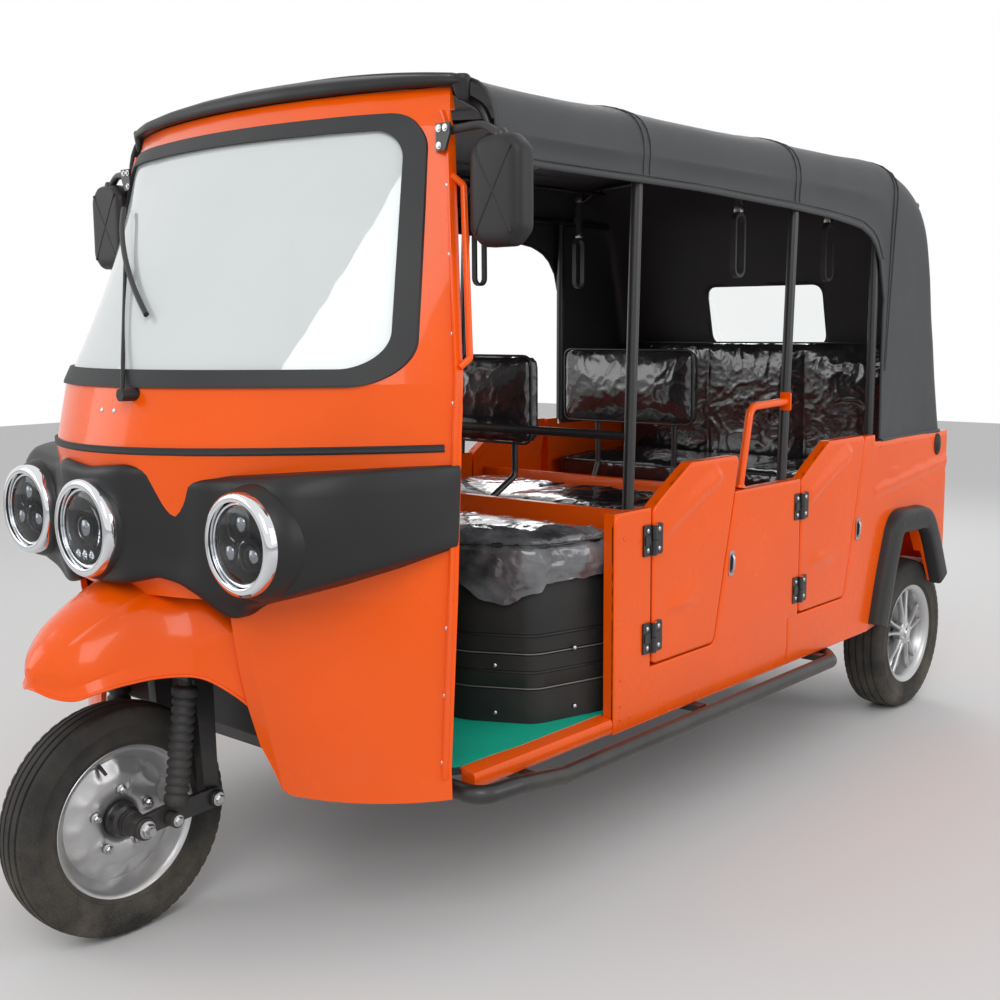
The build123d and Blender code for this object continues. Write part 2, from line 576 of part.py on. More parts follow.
FLARE_STAND = 40
FLARE_BAND = 72
flare_outer = [(2322, 352), (2440, 712), (2712, 703), (2868, 436)]
flare_inner = [(2868 - FLARE_BAND, 436), (2672, 632), (2502, 640), (2322 + FLARE_BAND + 4, 352)]
flare = side_plate(flare_outer + flare_inner, BODY_HALF_WIDTH, BODY_HALF_WIDTH + FLARE_STAND)
wheel_arch_flares = pair(flare)


# ---------------------------------------------------------------- doors
def hinge_axis(hinge):
    """Distance from the middle and station of a door's hinge pins."""
    return BODY_HALF_WIDTH + HINGE_BARREL_RADIUS + 1, hinge


def hinge_part(hinge, height, fixed):
    """One half of a hinge: a leaf and its knuckle; the fixed half carries the pin."""
    x, y = hinge_axis(hinge)
    low, high = height - HINGE_LENGTH / 2, height + HINGE_LENGTH / 2
    face, leaf_gap = BODY_HALF_WIDTH, HINGE_BARREL_RADIUS + 1
    side = -1 if fixed else 1
    z0, z1 = (low, height - 1) if fixed else (height + 1, high)
    leaf_ends = sorted((y + side * leaf_gap, y + side * HINGE_LEAF))
    arm_ends = sorted((y, y + side * (leaf_gap + 6)))
    leaf = block(face, face + HINGE_LEAF_THICKNESS, *leaf_ends, low, high)
    link = block(face, x, *arm_ends, z0, z1) - block(face - 1, face + HINGE_LEAF_THICKNESS, y - 4, y + 4, z0, z1)
    half = leaf + link + rod((x, y, z0), (x, y, z1), HINGE_BARREL_RADIUS)
    if fixed:
        return half + rod((x, y, low), (x, y, high), HINGE_PIN_RADIUS)
    return half - rod((x, y, low - 1), (x, y, high + 1), HINGE_PIN_RADIUS + RUNNING_GAP)


def door(hinge):
    """Half door with its two hinge halves."""
    outline = [(hinge + DOOR_GAP / 2 + max(along - DOOR_GAP / 2, 0), height) for along, height in DOOR_OUTLINE]
    panel = rounded_side_plate(outline, 18, skin_inner, BODY_HALF_WIDTH)
    for height in HINGE_HEIGHTS:
        panel = panel + hinge_part(hinge, height, fixed=False)
    return panel


fixed_hinges = [hinge_part(hinge, height, fixed=True) for name, hinge in DOORS for height in HINGE_HEIGHTS]
door_hinges = Compound(children=[*fixed_hinges, *[mirrored(part) for part in fixed_hinges]])

# ---------------------------------------------------------------- seats and inner walls
seat_floor = FLOOR_TOP
BOX_TOP = 742
DRIVER_BOX_PLAN = [(-390, 700), (390, 700), (545, 780), (600, 975), (600, 1030), (-600, 1030), (-600, 975), (-545, 780)]


def tapered_box(plan, z0, z1, inset):
    """Straight-sided box on a plan outline."""
    centre_y = sum(y for x, y in plan) / len(plan)
    points = [(x - math.copysign(inset, x), y - math.copysign(inset, y - centre_y)) for x, y in plan]
    return Pos(0, 0, z0) * extrude(make_face(Polyline(*points, close=True)), amount=z1 - z0)


driver_seat_box = tapered_box(DRIVER_BOX_PLAN, seat_floor + MAT_THICKNESS, BOX_TOP, 0)
driver_seat_box = driver_seat_box - tapered_box(DRIVER_BOX_PLAN, seat_floor, BOX_TOP - 12, 14)
driver_seat_cushion = tapered_box(DRIVER_BOX_PLAN, BOX_TOP, 835, -6)
driver_seat_cushion = fillet(driver_seat_cushion.edges().filter_by(Axis.Z), 30)
mat_outline = [(-525, 340), (525, 340), (600, PILLAR_STATION + 20), (612, 640), (612, 1035), (-612, 1035), (-612, 640),
               (-600, PILLAR_STATION + 20)]
floor_mat = Pos(0, 0, FLOOR_TOP) * extrude(make_face(Polyline(*mat_outline, close=True)), amount=MAT_THICKNESS)
floor_mat = (floor_mat - tapered_box(DRIVER_BOX_PLAN, 0, 1000, 14) - neck) & floor_room

driver_partition = block(-skin_inner, skin_inner, 1040, 1060, FLOOR_TOP, 868)

POST_RADIUS = 14
POST_X = 630
BACKREST_HALF = 255
BACKREST_STATIONS = (1100, 1880)     # front faces, driver's then middle row
BACKREST_DEPTH = 65
BACKREST_HEIGHTS = (1000, 1240)
row_backrests = Compound(children=[
    padded_block(-BACKREST_HALF, BACKREST_HALF, station, station + BACKREST_DEPTH, *BACKREST_HEIGHTS, 20)
    for station in BACKREST_STATIONS])

STAY_X = 150
STAY_RADIUS = 9


def backrest_stays(back_face, foot_station, foot_height):
    """Bent tube pair, welded to what stands below, that carries a backrest from behind."""
    line = back_face + STAY_RADIUS + RUNNING_GAP
    top = [(-STAY_X, line, 1180), (STAY_X, line, 1180)]
    foot = [(STAY_X, line, foot_height + 60), (STAY_X, foot_station, foot_height)]
    return pipe([(-x, y, z) for x, y, z in reversed(foot)] + top + foot, STAY_RADIUS, 24)


MIDDLE_BENCH_FRONT = 1470
MIDDLE_BENCH_BACK = 1900
middle_bench_base = block(-610, 610, MIDDLE_BENCH_FRONT, MIDDLE_BENCH_BACK, FLOOR_TOP, 735)
middle_bench_base = middle_bench_base - block(-590, 590, MIDDLE_BENCH_FRONT + 20, MIDDLE_BENCH_BACK - 20,
                                              FLOOR_TOP - 1, 715)
middle_bench_base = middle_bench_base + block(-610, 610, MIDDLE_BENCH_BACK, MIDDLE_BENCH_BACK + 25, FLOOR_TOP, 820)
backrest_frames = Compound(children=[
    backrest_stays(BACKREST_STATIONS[0] + BACKREST_DEPTH, 1060, 850) - driver_partition,
    backrest_stays(BACKREST_STATIONS[1] + BACKREST_DEPTH, MIDDLE_BENCH_BACK + 25, 800) - middle_bench_base])
middle_seat_cushion = padded_block(-600, 600, MIDDLE_BENCH_FRONT - 10, MIDDLE_BENCH_BACK, 735, 805, 25)

REAR_BENCH_FRONT = 2300
REAR_BENCH_BACK = REAR_PANEL_STATION - WALL
bench_lower = block(-WHEELHOUSE_INNER, WHEELHOUSE_INNER, REAR_BENCH_FRONT, REAR_BENCH_BACK, FLOOR_TOP, WHEELHOUSE_TOP)
bench_front = block(-610, 610, REAR_BENCH_FRONT, WHEELHOUSE_FRONT, FLOOR_TOP, WHEELHOUSE_TOP)
bench_upper = block(-610, 610, REAR_BENCH_FRONT, REAR_BENCH_BACK, WHEELHOUSE_TOP, 760)
bench_room = block(-WHEELHOUSE_INNER + 20, WHEELHOUSE_INNER - 20, REAR_BENCH_FRONT + 20, REAR_BENCH_BACK - 20,
                   FLOOR_TOP - 1, 740)
rear_bench_base = bench_lower + bench_front + bench_upper - bench_room
rear_seat_cushion = padded_block(-600, 600, REAR_BENCH_FRONT - 15, 2700, 760, 845, 25)
rear_backrest = side_plate([(2705, 760), (2790, 760), (2776, 1250), (2722, 1250)], -600, 600)

# Dashboard: a shelf under the windscreen and the footwell wall below it.
DASH_TOP = 1010
footwell = block(-590, 590, 318, 330, FLOOR_TOP, 900)
dash_shelf = block(-590, 590, 100, 420, 900, DASH_TOP)
dash = (footwell + dash_shelf) & nose_solid(NOSE_SHELL + 1)
column_room = rod(tuple(on_steering_axis(150)), tuple(on_steering_axis(COLUMN_TOP - 20)), HEAD_RADIUS + 12)
dashboard = dash - column_room - neck
dashboard = dashboard.solids().sort_by(SortBy.VOLUME)[-1]

# ---------------------------------------------------------------- canopy and its frame
ROOF_SIDE = 648
ROOF_SHOULDER = ((648, 1715), (613, 1793), (530, 1830))     # (x, height), from the side up to the crown
CANOPY_TAIL = ((2480, 1844), (2660, 1745), (2738, 1520))    # (station, height) of the bend over the tail
CANOPY_HEM_STATION = 2884
shoulder_low, shoulder_mid, shoulder_high = ROOF_SHOULDER
roof_arch = [
    Line((ROOF_SIDE, 930), shoulder_low),
    ThreePointArc(shoulder_low, shoulder_mid, shoulder_high),
    ThreePointArc(shoulder_high, (0, ROOF_TOP), (-shoulder_high[0], shoulder_high[1])),
    ThreePointArc((-shoulder_high[0], shoulder_high[1]), (-shoulder_mid[0], shoulder_mid[1]),
                  (-shoulder_low[0], shoulder_low[1])),
    Line((-ROOF_SIDE, shoulder_low[1]), (-ROOF_SIDE, 930)),
    Line((-ROOF_SIDE, 930), (ROOF_SIDE, 930)),
]


def canopy_solid(inset, front, foot):
    """Outer form of the canopy moved inwards by inset."""
    bar = extrude(Plane.XZ.offset(-front) * make_face(roof_arch), amount=-2600)
    if inset:
        bar = Pos(0, 0, -inset) * scale(bar, by=((ROOF_SIDE - inset) / ROOF_SIDE, 1, 1))
    roof, bend, back = [(station - inset, height - inset / 2) for station, height in CANOPY_TAIL]
    side = Plane.YZ.offset(-700) * make_face([
        Line((front, foot), (CANOPY_HEM_STATION - inset, foot)),
        Line((CANOPY_HEM_STATION - inset, foot), back),
        ThreePointArc(back, bend, roof),
        Line(roof, (roof[0] - 250, ROOF_TOP + 60)),
        Line((roof[0] - 250, ROOF_TOP + 60), (front, ROOF_TOP + 60)),
        Line((front, ROOF_TOP + 60), (front, foot)),
    ])
    return bar & extrude(side, amount=1400)


canopy_outer = canopy_solid(0, CANOPY_FRONT_STATION, QUARTER_TOP)
canopy_inner = canopy_solid(CANOPY_THICKNESS, CANOPY_FRONT_STATION - 50, QUARTER_TOP - 40)
# Open side under the hem, as (station, height).
SIDE_OPENING = [(400, 800), (2370, 800), (2388, 1386), (2325, 1552), (2217, 1604), (1990, 1623), (1754, 1634),
                (1299, 1648), (400, CANOPY_EDGE + 2)]
doorway = side_plate(SIDE_OPENING, -800, 800)
WINDOW_HALF = 240
WINDOW_LOW = 1235
WINDOW_HIGH = 1455


def window_prism(inset):
    """Prism with the outline of the window in the back of the canopy."""
    outline = [(-WINDOW_HALF + inset, WINDOW_LOW + inset), (WINDOW_HALF - inset, WINDOW_LOW + inset),
               (WINDOW_HALF - inset, WINDOW_HIGH - inset), (-WINDOW_HALF + inset, WINDOW_HIGH - inset)]
    return rounded_front_plate(outline, 45 - inset / 2, 2600, 3000)


canopy = canopy_outer - canopy_inner - doorway - window_prism(0)
window_sheet = canopy_solid(4, CANOPY_FRONT_STATION, 1200) - canopy_solid(8, CANOPY_FRONT_STATION - 50, 1100)
rear_window = window_sheet & window_prism(0)

# Visor: a flat-fronted wedge over the header that rises to the canopy.
VISOR_HALF_WIDTH = 588
VISOR_APEX_STATION = 384
VISOR_SIDE_STATION = 508
VISOR_LIP = 36
visor_back = CANOPY_FRONT_STATION - RUNNING_GAP
header_top = NOSE_SECTIONS[-1][0]
visor_face = make_face([
    ThreePointArc((-VISOR_HALF_WIDTH, VISOR_SIDE_STATION), (0, VISOR_APEX_STATION), (VISOR_HALF_WIDTH, VISOR_SIDE_STATION)),
    Line((VISOR_HALF_WIDTH, VISOR_SIDE_STATION), (VISOR_HALF_WIDTH, visor_back)),
    Line((VISOR_HALF_WIDTH, visor_back), (-VISOR_HALF_WIDTH, visor_back)),
    Line((-VISOR_HALF_WIDTH, visor_back), (-VISOR_HALF_WIDTH, VISOR_SIDE_STATION)),
])
visor_plan = Pos(0, 0, header_top) * extrude(visor_face, amount=120)
visor_wedge = side_plate([(300, header_top), (VISOR_APEX_STATION, header_top + VISOR_LIP), (visor_back, ROOF_TOP),
                          (visor_back, header_top)], -700, 700)
visor_bar = extrude(Plane.XZ.offset(-200) * make_face(roof_arch), amount=-400)
roof_visor = visor_plan & visor_wedge & visor_bar

RAIL_TUBE = 12
ROOF_RAIL_X = ROOF_SIDE - CANOPY_THICKNESS - RAIL_TUBE - 3
ROOF_RAIL_HEIGHT = 1690
POSTS = (
    # station at the foot, station at the head, foot height
    (1040, 1070, PANEL_TOP),
    (1790, 1830, PANEL_TOP),
    (2345, 2350, QUARTER_TOP + 22),
)
roof_rail = rod((ROOF_RAIL_X, CANOPY_FRONT_STATION + 4, ROOF_RAIL_HEIGHT), (ROOF_RAIL_X, 2640, ROOF_RAIL_HEIGHT), RAIL_TUBE)
side_frame = roof_rail
for foot, head, foot_height in POSTS:
    side_frame = side_frame + rod((ROOF_RAIL_X, foot, foot_height - 4), (ROOF_RAIL_X, head, ROOF_RAIL_HEIGHT), POST_RADIUS)
side_frame = side_frame - block(0, 700, 0, 3000, 0, PANEL_TOP) - quarter

BOW_STATIONS = (562, 1060, 1790, 2425)
BOW_RADIUS = 10
BOW_SHAPE = ((589, 1760), (500, 1806), (0, 1840))           # (x, height) of a bow's bends
LUG = ((420, 450), (1778, header_top - RUNNING_GAP))        # joins the first bow to the header: x, height
bow_half = [(ROOF_RAIL_X, ROOF_RAIL_HEIGHT), *BOW_SHAPE]
bow_ring = [(-x, z) for x, z in bow_half] + [(x, z) for x, z in reversed(bow_half[:-1])]
lug = block(*LUG[0], NOSE_BACK, BOW_STATIONS[0] + BOW_RADIUS, *LUG[1])
lug = lug + block(*LUG[0], BOW_STATIONS[0] - BOW_RADIUS, BOW_STATIONS[0] + BOW_RADIUS, LUG[1][0], LUG[1][1] + 8)
bows = [pipe([(x, station, z) for x, z in bow_ring], BOW_RADIUS, 60) - side_frame - mirrored(side_frame)
        for station in BOW_STATIONS]
bows[0] = bows[0] + lug + mirrored(lug)
canopy_bows = Compound(children=[solid for bow in bows for solid in bow.solids()])

STRAP_X = 490
STRAP_RAIL_RADIUS = 7
strap_rail_height = BOW_SHAPE[1][1] + (BOW_SHAPE[1][0] - STRAP_X) * 0.07 - BOW_RADIUS - STRAP_RAIL_RADIUS
strap_rail = rod((STRAP_X, BOW_STATIONS[1] - 20, strap_rail_height), (STRAP_X, BOW_STATIONS[3] + 20, strap_rail_height),
                 STRAP_RAIL_RADIUS)
canopy_frame = Compound(children=[
    *pair(side_frame).solids(), *pair(strap_rail - bows[1] - bows[2] - bows[3]).solids()])

BACK_RAIL_HEIGHT = 1050
post_lean = (POSTS[0][1] - POSTS[0][0]) / (ROOF_RAIL_HEIGHT - POSTS[0][2])
back_rail_station = POSTS[0][0] + post_lean * (BACK_RAIL_HEIGHT - POSTS[0][2])
back_rail = rod((-ROOF_RAIL_X, back_rail_station, BACK_RAIL_HEIGHT), (ROOF_RAIL_X, back_rail_station, BACK_RAIL_HEIGHT), 11)
back_rail = back_rail - side_frame - mirrored(side_frame)
backrest_frames = Compound(children=[*backrest_frames.solids(), *back_rail.solids()])

GRAB_RADIUS = 11
GRAB_X = 630
door_grab = pipe([(GRAB_X, 1545, PANEL_TOP), (GRAB_X, 1595, 1092), (GRAB_X, 1790, 1098)], GRAB_RADIUS, 35)
pillar_grab = pipe([(575, 480, 1620), (590, 500, 1600), (632, 468, 1250), (622, 448, 1232)], 7, 6)
grab_rails = pair(Compound(children=[door_grab - side_frame - side_panel, (pillar_grab - nose_solid(0)).solids()[0]]))

HAND_STRAPS = (1750, 2290)
STRAP_LENGTH = 338
STRAP_HALF = 28
STRAP_BAND = 8
STRAP_LOOP = 180
strap_loop = rounded_side_plate([(-STRAP_HALF, 0), (STRAP_HALF, 0), (STRAP_HALF, STRAP_LOOP), (-STRAP_HALF, STRAP_LOOP)],
                                STRAP_HALF - 1, -9, 9)
strap_hole = rounded_side_plate([
    (-STRAP_HALF + STRAP_BAND, STRAP_BAND), (STRAP_HALF - STRAP_BAND, STRAP_BAND),
    (STRAP_HALF - STRAP_BAND, STRAP_LOOP - STRAP_BAND), (-STRAP_HALF + STRAP_BAND, STRAP_LOOP - STRAP_BAND)],
    STRAP_HALF - STRAP_BAND - 1, -10, 10)
strap = (strap_loop - strap_hole) + block(-9, 9, -5, 5, STRAP_LOOP - STRAP_BAND, STRAP_LENGTH)
strap_foot = strap_rail_height - STRAP_RAIL_RADIUS - STRAP_LENGTH
hand_straps = Compound(children=[
    solid for station in HAND_STRAPS for solid in pair(Pos(STRAP_X, station, strap_foot) * strap).solids()])

# ---------------------------------------------------------------- fittings
STEP_TUCK = SILL_BOTTOM - STEP_RADIUS - 4
STEP_NOSE_HEIGHT = 346       # the bar rises here, behind the corner of the cowl
step_bar = pipe([(rail_outer, 440, STEP_NOSE_HEIGHT - 4), (560, 434, STEP_NOSE_HEIGHT - 4), (690, 425, STEP_NOSE_HEIGHT),
                 (STEP_X, 530, STEP_NOSE_HEIGHT - 2), (STEP_X, 690, STEP_HEIGHT), (STEP_X, 1970, STEP_HEIGHT),
                 (640, 2058, STEP_TUCK), (rail_outer, 2050, STEP_TUCK + 18)], STEP_RADIUS, 40)
side_steps = pair(step_bar - rail - outriggers - floor_pan)

mirror_shell = block(620, 758, 474, 526, 1472, 1692)
mirror_shell = chamfer(mirror_shell.edges().filter_by(Axis.Y), 30)
mirror_arm = pipe([(545, 475, 1704), (640, 492, 1712), (695, 500, 1686)], 10, 14)
mirror_piece = (mirror_shell + mirror_arm) - nose_solid(-0.3) - canopy_frame
mirrors = pair(mirror_piece.solids().sort_by(SortBy.VOLUME)[-1])

WIPER_PIVOT = (110, 1181)    # x and height
WIPER_ELBOW = (-150, 183, 1468)
BLADE_ENDS = ((-355, 318, 1600), (55, 94, 1343))
pivot_x, pivot_height = WIPER_PIVOT
wiper_boss = rod((pivot_x, -14, pivot_height), (pivot_x, 40, pivot_height), 13) - nose_solid(-RUNNING_GAP)
wiper_arm = rod((pivot_x, -8, pivot_height), WIPER_ELBOW, 4.5)
blade_path = ThreePointArc(BLADE_ENDS[0], WIPER_ELBOW, BLADE_ENDS[1])
wiper_blade = sweep(Plane(origin=blade_path @ 0, z_dir=blade_path % 0) * Circle(6), path=blade_path)
wiper = wiper_boss + ((wiper_arm + wiper_blade) - nose_solid(-SEAL_STAND - 1))
wiper = wiper.solids().sort_by(SortBy.VOLUME)[-1]

TAIL_LAMP = (470, 600, 690, 850)
tail_lamp = block(TAIL_LAMP[0], TAIL_LAMP[1], REAR_PANEL_STATION, REAR_PANEL_STATION + 24, TAIL_LAMP[2], TAIL_LAMP[3])
tail_lamps = pair(tail_lamp)

BUMPER_RADIUS = 19
bumper_station = WHEELBASE + TYRE_RADIUS - BUMPER_RADIUS
BUMPER_HEIGHT = 470
bumper = rod((-590, bumper_station, BUMPER_HEIGHT), (590, bumper_station, BUMPER_HEIGHT), BUMPER_RADIUS)
bumper_stay = block(RAIL_X - 15, RAIL_X + 15, REAR_PANEL_STATION, bumper_station, BUMPER_HEIGHT - 15, BUMPER_HEIGHT + 15)
rear_bumper = bumper + bumper_stay + mirrored(bumper_stay)

# ---------------------------------------------------------------- write the pieces
NODES = {
    "chassis_rails": chassis_rails,
    "cross_members": cross_members,
    "outriggers": outriggers,
    "steering_head": steering_head,
    "floor_pan": floor_pan,
    "floor_mat": floor_mat,
    "front_cowl": front_cowl,
    "windscreen": windscreen,
    "windscreen_seal": windscreen_seal,
    "lamp_panel": lamp_panel,
    "headlamp_rings": headlamp_rings,
    "headlamps": headlamps,
    "front_mudguard": front_mudguard,
    "roof_visor": roof_visor,
    "dashboard": dashboard,
    "steering_fork": steering_fork,
    "front_link_arms": front_link_arms,
    "front_shock_absorbers": front_shock_absorbers,
    "front_axle": front_axle,
    "handlebar": handlebar,
    "front_tyre": front_tyre,
    "front_rim": front_rim,
    "driver_seat_box": driver_seat_box,
    "driver_seat_cushion": driver_seat_cushion,
    "row_backrests": row_backrests,
    "driver_partition": driver_partition,
    "middle_bench_base": middle_bench_base,
    "middle_seat_cushion": middle_seat_cushion,
    "backrest_frames": backrest_frames,
    "rear_bench_base": rear_bench_base,
    "rear_seat_cushion": rear_seat_cushion,
    "rear_backrest": rear_backrest,
    "side_panels": side_panels,
    "rear_quarters": rear_quarters,
    "rear_panel": rear_panel,
    "wheel_arch_flares": wheel_arch_flares,
    "door_hinges": door_hinges,
    "canopy": canopy,
    "canopy_frame": canopy_frame,
    "canopy_bows": canopy_bows,
    "rear_window": rear_window,
    "hand_straps": hand_straps,
    "grab_rails": grab_rails,
    "side_steps": side_steps,
    "mirrors": mirrors,
    "wiper": wiper,
    "rear_axle": rear_axle,
    "leaf_springs": leaf_springs,
    "engine": engine,
    "drive_shaft": drive_shaft,
    "tail_lamps": tail_lamps,
    "rear_bumper": rear_bumper,
}
for name, hinge in DOORS:
    left_door = door(hinge)
    NODES[name + "_left_door"] = left_door
    NODES[name + "_right_door"] = mirrored(left_door)
for name, side in (("left", 1), ("right", -1)):
    NODES["rear_" + name + "_tyre"] = rear_place(side) * rear_tyre
    NODES["rear_" + name + "_rim"] = rear_place(side) * rear_rim(side)

for node, shape in NODES.items():
    save(node, shape)
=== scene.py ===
"""Looks of a six-seat auto rickshaw: its finishes, fittings, upholstery and roof covering.

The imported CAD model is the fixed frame. Each operator below makes one piece, or one group of
like pieces, in that frame. Lengths are metres; mm() turns the part's own way of measuring
(millimetres from the middle, behind the front axle and above the ground) into that frame.
"""
import sys
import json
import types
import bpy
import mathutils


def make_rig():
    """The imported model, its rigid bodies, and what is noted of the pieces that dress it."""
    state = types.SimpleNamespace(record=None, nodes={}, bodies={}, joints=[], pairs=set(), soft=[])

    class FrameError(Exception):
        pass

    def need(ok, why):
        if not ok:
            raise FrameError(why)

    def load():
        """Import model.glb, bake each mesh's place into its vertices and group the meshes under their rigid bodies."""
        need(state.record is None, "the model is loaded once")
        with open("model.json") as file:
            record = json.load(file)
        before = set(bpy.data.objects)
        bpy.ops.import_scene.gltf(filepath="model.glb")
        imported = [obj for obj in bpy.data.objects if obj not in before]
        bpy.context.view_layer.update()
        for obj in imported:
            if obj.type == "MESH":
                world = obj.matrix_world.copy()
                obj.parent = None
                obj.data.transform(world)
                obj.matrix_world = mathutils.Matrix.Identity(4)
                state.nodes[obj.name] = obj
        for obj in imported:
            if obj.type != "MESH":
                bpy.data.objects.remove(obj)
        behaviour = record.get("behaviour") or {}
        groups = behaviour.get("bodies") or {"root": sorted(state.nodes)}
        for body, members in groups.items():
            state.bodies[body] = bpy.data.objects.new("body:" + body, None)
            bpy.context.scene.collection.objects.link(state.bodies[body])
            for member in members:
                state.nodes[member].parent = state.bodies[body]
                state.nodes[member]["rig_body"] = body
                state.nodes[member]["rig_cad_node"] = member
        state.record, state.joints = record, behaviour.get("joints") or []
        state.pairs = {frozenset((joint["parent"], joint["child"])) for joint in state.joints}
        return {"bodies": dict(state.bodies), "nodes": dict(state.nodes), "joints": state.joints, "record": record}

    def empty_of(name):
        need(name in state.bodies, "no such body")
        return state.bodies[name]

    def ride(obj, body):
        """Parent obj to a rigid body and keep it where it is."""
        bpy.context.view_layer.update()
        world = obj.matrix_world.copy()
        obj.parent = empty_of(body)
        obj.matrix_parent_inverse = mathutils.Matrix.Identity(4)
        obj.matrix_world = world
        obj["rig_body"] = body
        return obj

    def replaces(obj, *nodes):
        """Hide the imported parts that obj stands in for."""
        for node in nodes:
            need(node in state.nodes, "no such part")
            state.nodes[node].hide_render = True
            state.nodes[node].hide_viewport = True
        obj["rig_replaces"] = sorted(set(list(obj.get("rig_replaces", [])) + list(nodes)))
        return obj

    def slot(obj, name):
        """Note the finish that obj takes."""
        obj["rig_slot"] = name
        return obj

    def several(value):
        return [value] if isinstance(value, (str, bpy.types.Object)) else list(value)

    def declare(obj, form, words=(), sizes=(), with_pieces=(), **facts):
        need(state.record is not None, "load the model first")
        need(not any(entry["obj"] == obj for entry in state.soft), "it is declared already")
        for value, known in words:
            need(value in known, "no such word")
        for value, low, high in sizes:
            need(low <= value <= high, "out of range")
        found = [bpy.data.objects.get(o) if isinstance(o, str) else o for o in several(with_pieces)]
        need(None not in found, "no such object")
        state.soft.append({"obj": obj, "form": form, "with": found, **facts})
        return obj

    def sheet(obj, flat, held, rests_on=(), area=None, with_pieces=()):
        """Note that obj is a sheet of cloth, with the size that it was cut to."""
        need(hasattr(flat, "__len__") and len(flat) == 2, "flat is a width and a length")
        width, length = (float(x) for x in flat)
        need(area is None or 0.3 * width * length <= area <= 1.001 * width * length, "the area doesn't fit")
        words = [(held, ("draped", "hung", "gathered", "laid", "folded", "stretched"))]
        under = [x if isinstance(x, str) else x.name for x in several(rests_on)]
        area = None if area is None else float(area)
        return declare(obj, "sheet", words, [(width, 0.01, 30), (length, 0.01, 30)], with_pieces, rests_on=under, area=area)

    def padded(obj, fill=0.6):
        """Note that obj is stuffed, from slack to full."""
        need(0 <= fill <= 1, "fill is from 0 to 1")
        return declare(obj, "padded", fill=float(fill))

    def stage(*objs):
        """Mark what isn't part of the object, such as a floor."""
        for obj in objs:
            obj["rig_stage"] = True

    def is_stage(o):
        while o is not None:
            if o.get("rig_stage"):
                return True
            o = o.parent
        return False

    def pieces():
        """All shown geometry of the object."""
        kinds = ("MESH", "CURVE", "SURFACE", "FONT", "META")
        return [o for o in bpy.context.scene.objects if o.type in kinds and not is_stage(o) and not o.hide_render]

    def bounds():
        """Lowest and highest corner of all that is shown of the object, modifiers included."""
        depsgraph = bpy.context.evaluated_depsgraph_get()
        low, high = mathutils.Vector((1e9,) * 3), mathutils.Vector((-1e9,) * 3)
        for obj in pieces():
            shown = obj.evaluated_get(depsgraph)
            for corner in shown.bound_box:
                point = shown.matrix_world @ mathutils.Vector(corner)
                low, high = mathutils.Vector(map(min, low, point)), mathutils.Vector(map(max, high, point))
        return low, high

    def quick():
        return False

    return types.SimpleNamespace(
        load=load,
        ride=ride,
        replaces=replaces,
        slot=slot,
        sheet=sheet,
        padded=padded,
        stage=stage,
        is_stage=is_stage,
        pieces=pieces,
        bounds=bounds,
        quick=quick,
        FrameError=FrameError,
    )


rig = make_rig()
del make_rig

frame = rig.load()
CAD_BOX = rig.bounds()

import json
import math

import bmesh
import bpy
from bpy.props import FloatProperty, FloatVectorProperty, PointerProperty
from mathutils import Matrix, Vector, noise
from mathutils.bvhtree import BVHTree
from mathutils.geometry import delaunay_2d_cdt

bl_info = {
    "name": "Auto rickshaw looks",
    "version": (1, 0, 0),
    "blender": (4, 5, 0),
    "location": "3D View > Sidebar > Rickshaw",
    "description": "Finishes, fittings, upholstery and roof covering of an auto rickshaw",
    "category": "Object",
}

NODES = frame["nodes"]
AXLE_SETBACK = 1.35          # the front axle stands this far ahead of the origin
BODY_FACE = 0.650            # outer face of the sides, from the middle


# ---------------------------------------------------------------- measures
def mm(x, station, height):
    """Point from millimetres: left of the middle, behind the front axle, above the ground."""
    return Vector((x / 1000, station / 1000 - AXLE_SETBACK, height / 1000))


def at(x, station, height):
    """The same from metres."""
    return Vector((x, station - AXLE_SETBACK, height))


def on_side(station, height, x):
    """Point of a sheet that faces sideways."""
    return at(x, station, height)


def outwards(angle):
    """Direction away from a wheel's axis."""
    return Vector((0, math.cos(angle), math.sin(angle)))


def round_axis(count, start=0.0):
    """Directions away from a wheel's axis, evenly round it."""
    return [outwards(2 * math.pi * k / count + start) for k in range(count)]


def srgb(red, green, blue):
    """Linear colour from a display colour of 0 to 255."""
    def linear(value):
        value /= 255
        return value / 12.92 if value <= 0.04045 else ((value + 0.055) / 1.055) ** 2.4
    return (linear(red), linear(green), linear(blue))


def smooth_step(low, high, value):
    """0 below low, 1 above high, and a soft rise between."""
    t = min(max((value - low) / (high - low), 0), 1)
    return t * t * (3 - 2 * t)


def between(a, b, t):
    """The point or number a share t of the way from a to b."""
    return a + (b - a) * t


def interpolate(table, x):
    """Value at x on straight runs through (x, value) rows."""
    if x <= table[0][0]:
        return table[0][1]
    for (x0, y0), (x1, y1) in zip(table, table[1:]):
        if x <= x1:
            return y0 + (y1 - y0) * (x - x0) / (x1 - x0)
    return table[-1][1]


def spline(points, per_run=8, closed=False):
    """Smooth line through the points."""
    points = [Vector(p) for p in points]
    count = len(points)
    line = []
    for i in range(count if closed else count - 1):
        if closed:
            p0, p1, p2, p3 = (points[(i + k - 1) % count] for k in range(4))
        else:
            p1, p2 = points[i], points[i + 1]
            p0 = points[i - 1] if i else p1 * 2 - p2
            p3 = points[i + 2] if i + 2 < count else p2 * 2 - p1
        for k in range(per_run):
            t = k / per_run
            line.append(0.5 * ((2 * p1) + (p2 - p0) * t + (2 * p0 - 5 * p1 + 4 * p2 - p3) * t * t
                               + (3 * p1 - p0 - 3 * p2 + p3) * t ** 3))
    if not closed:
        line.append(points[-1])
    return line


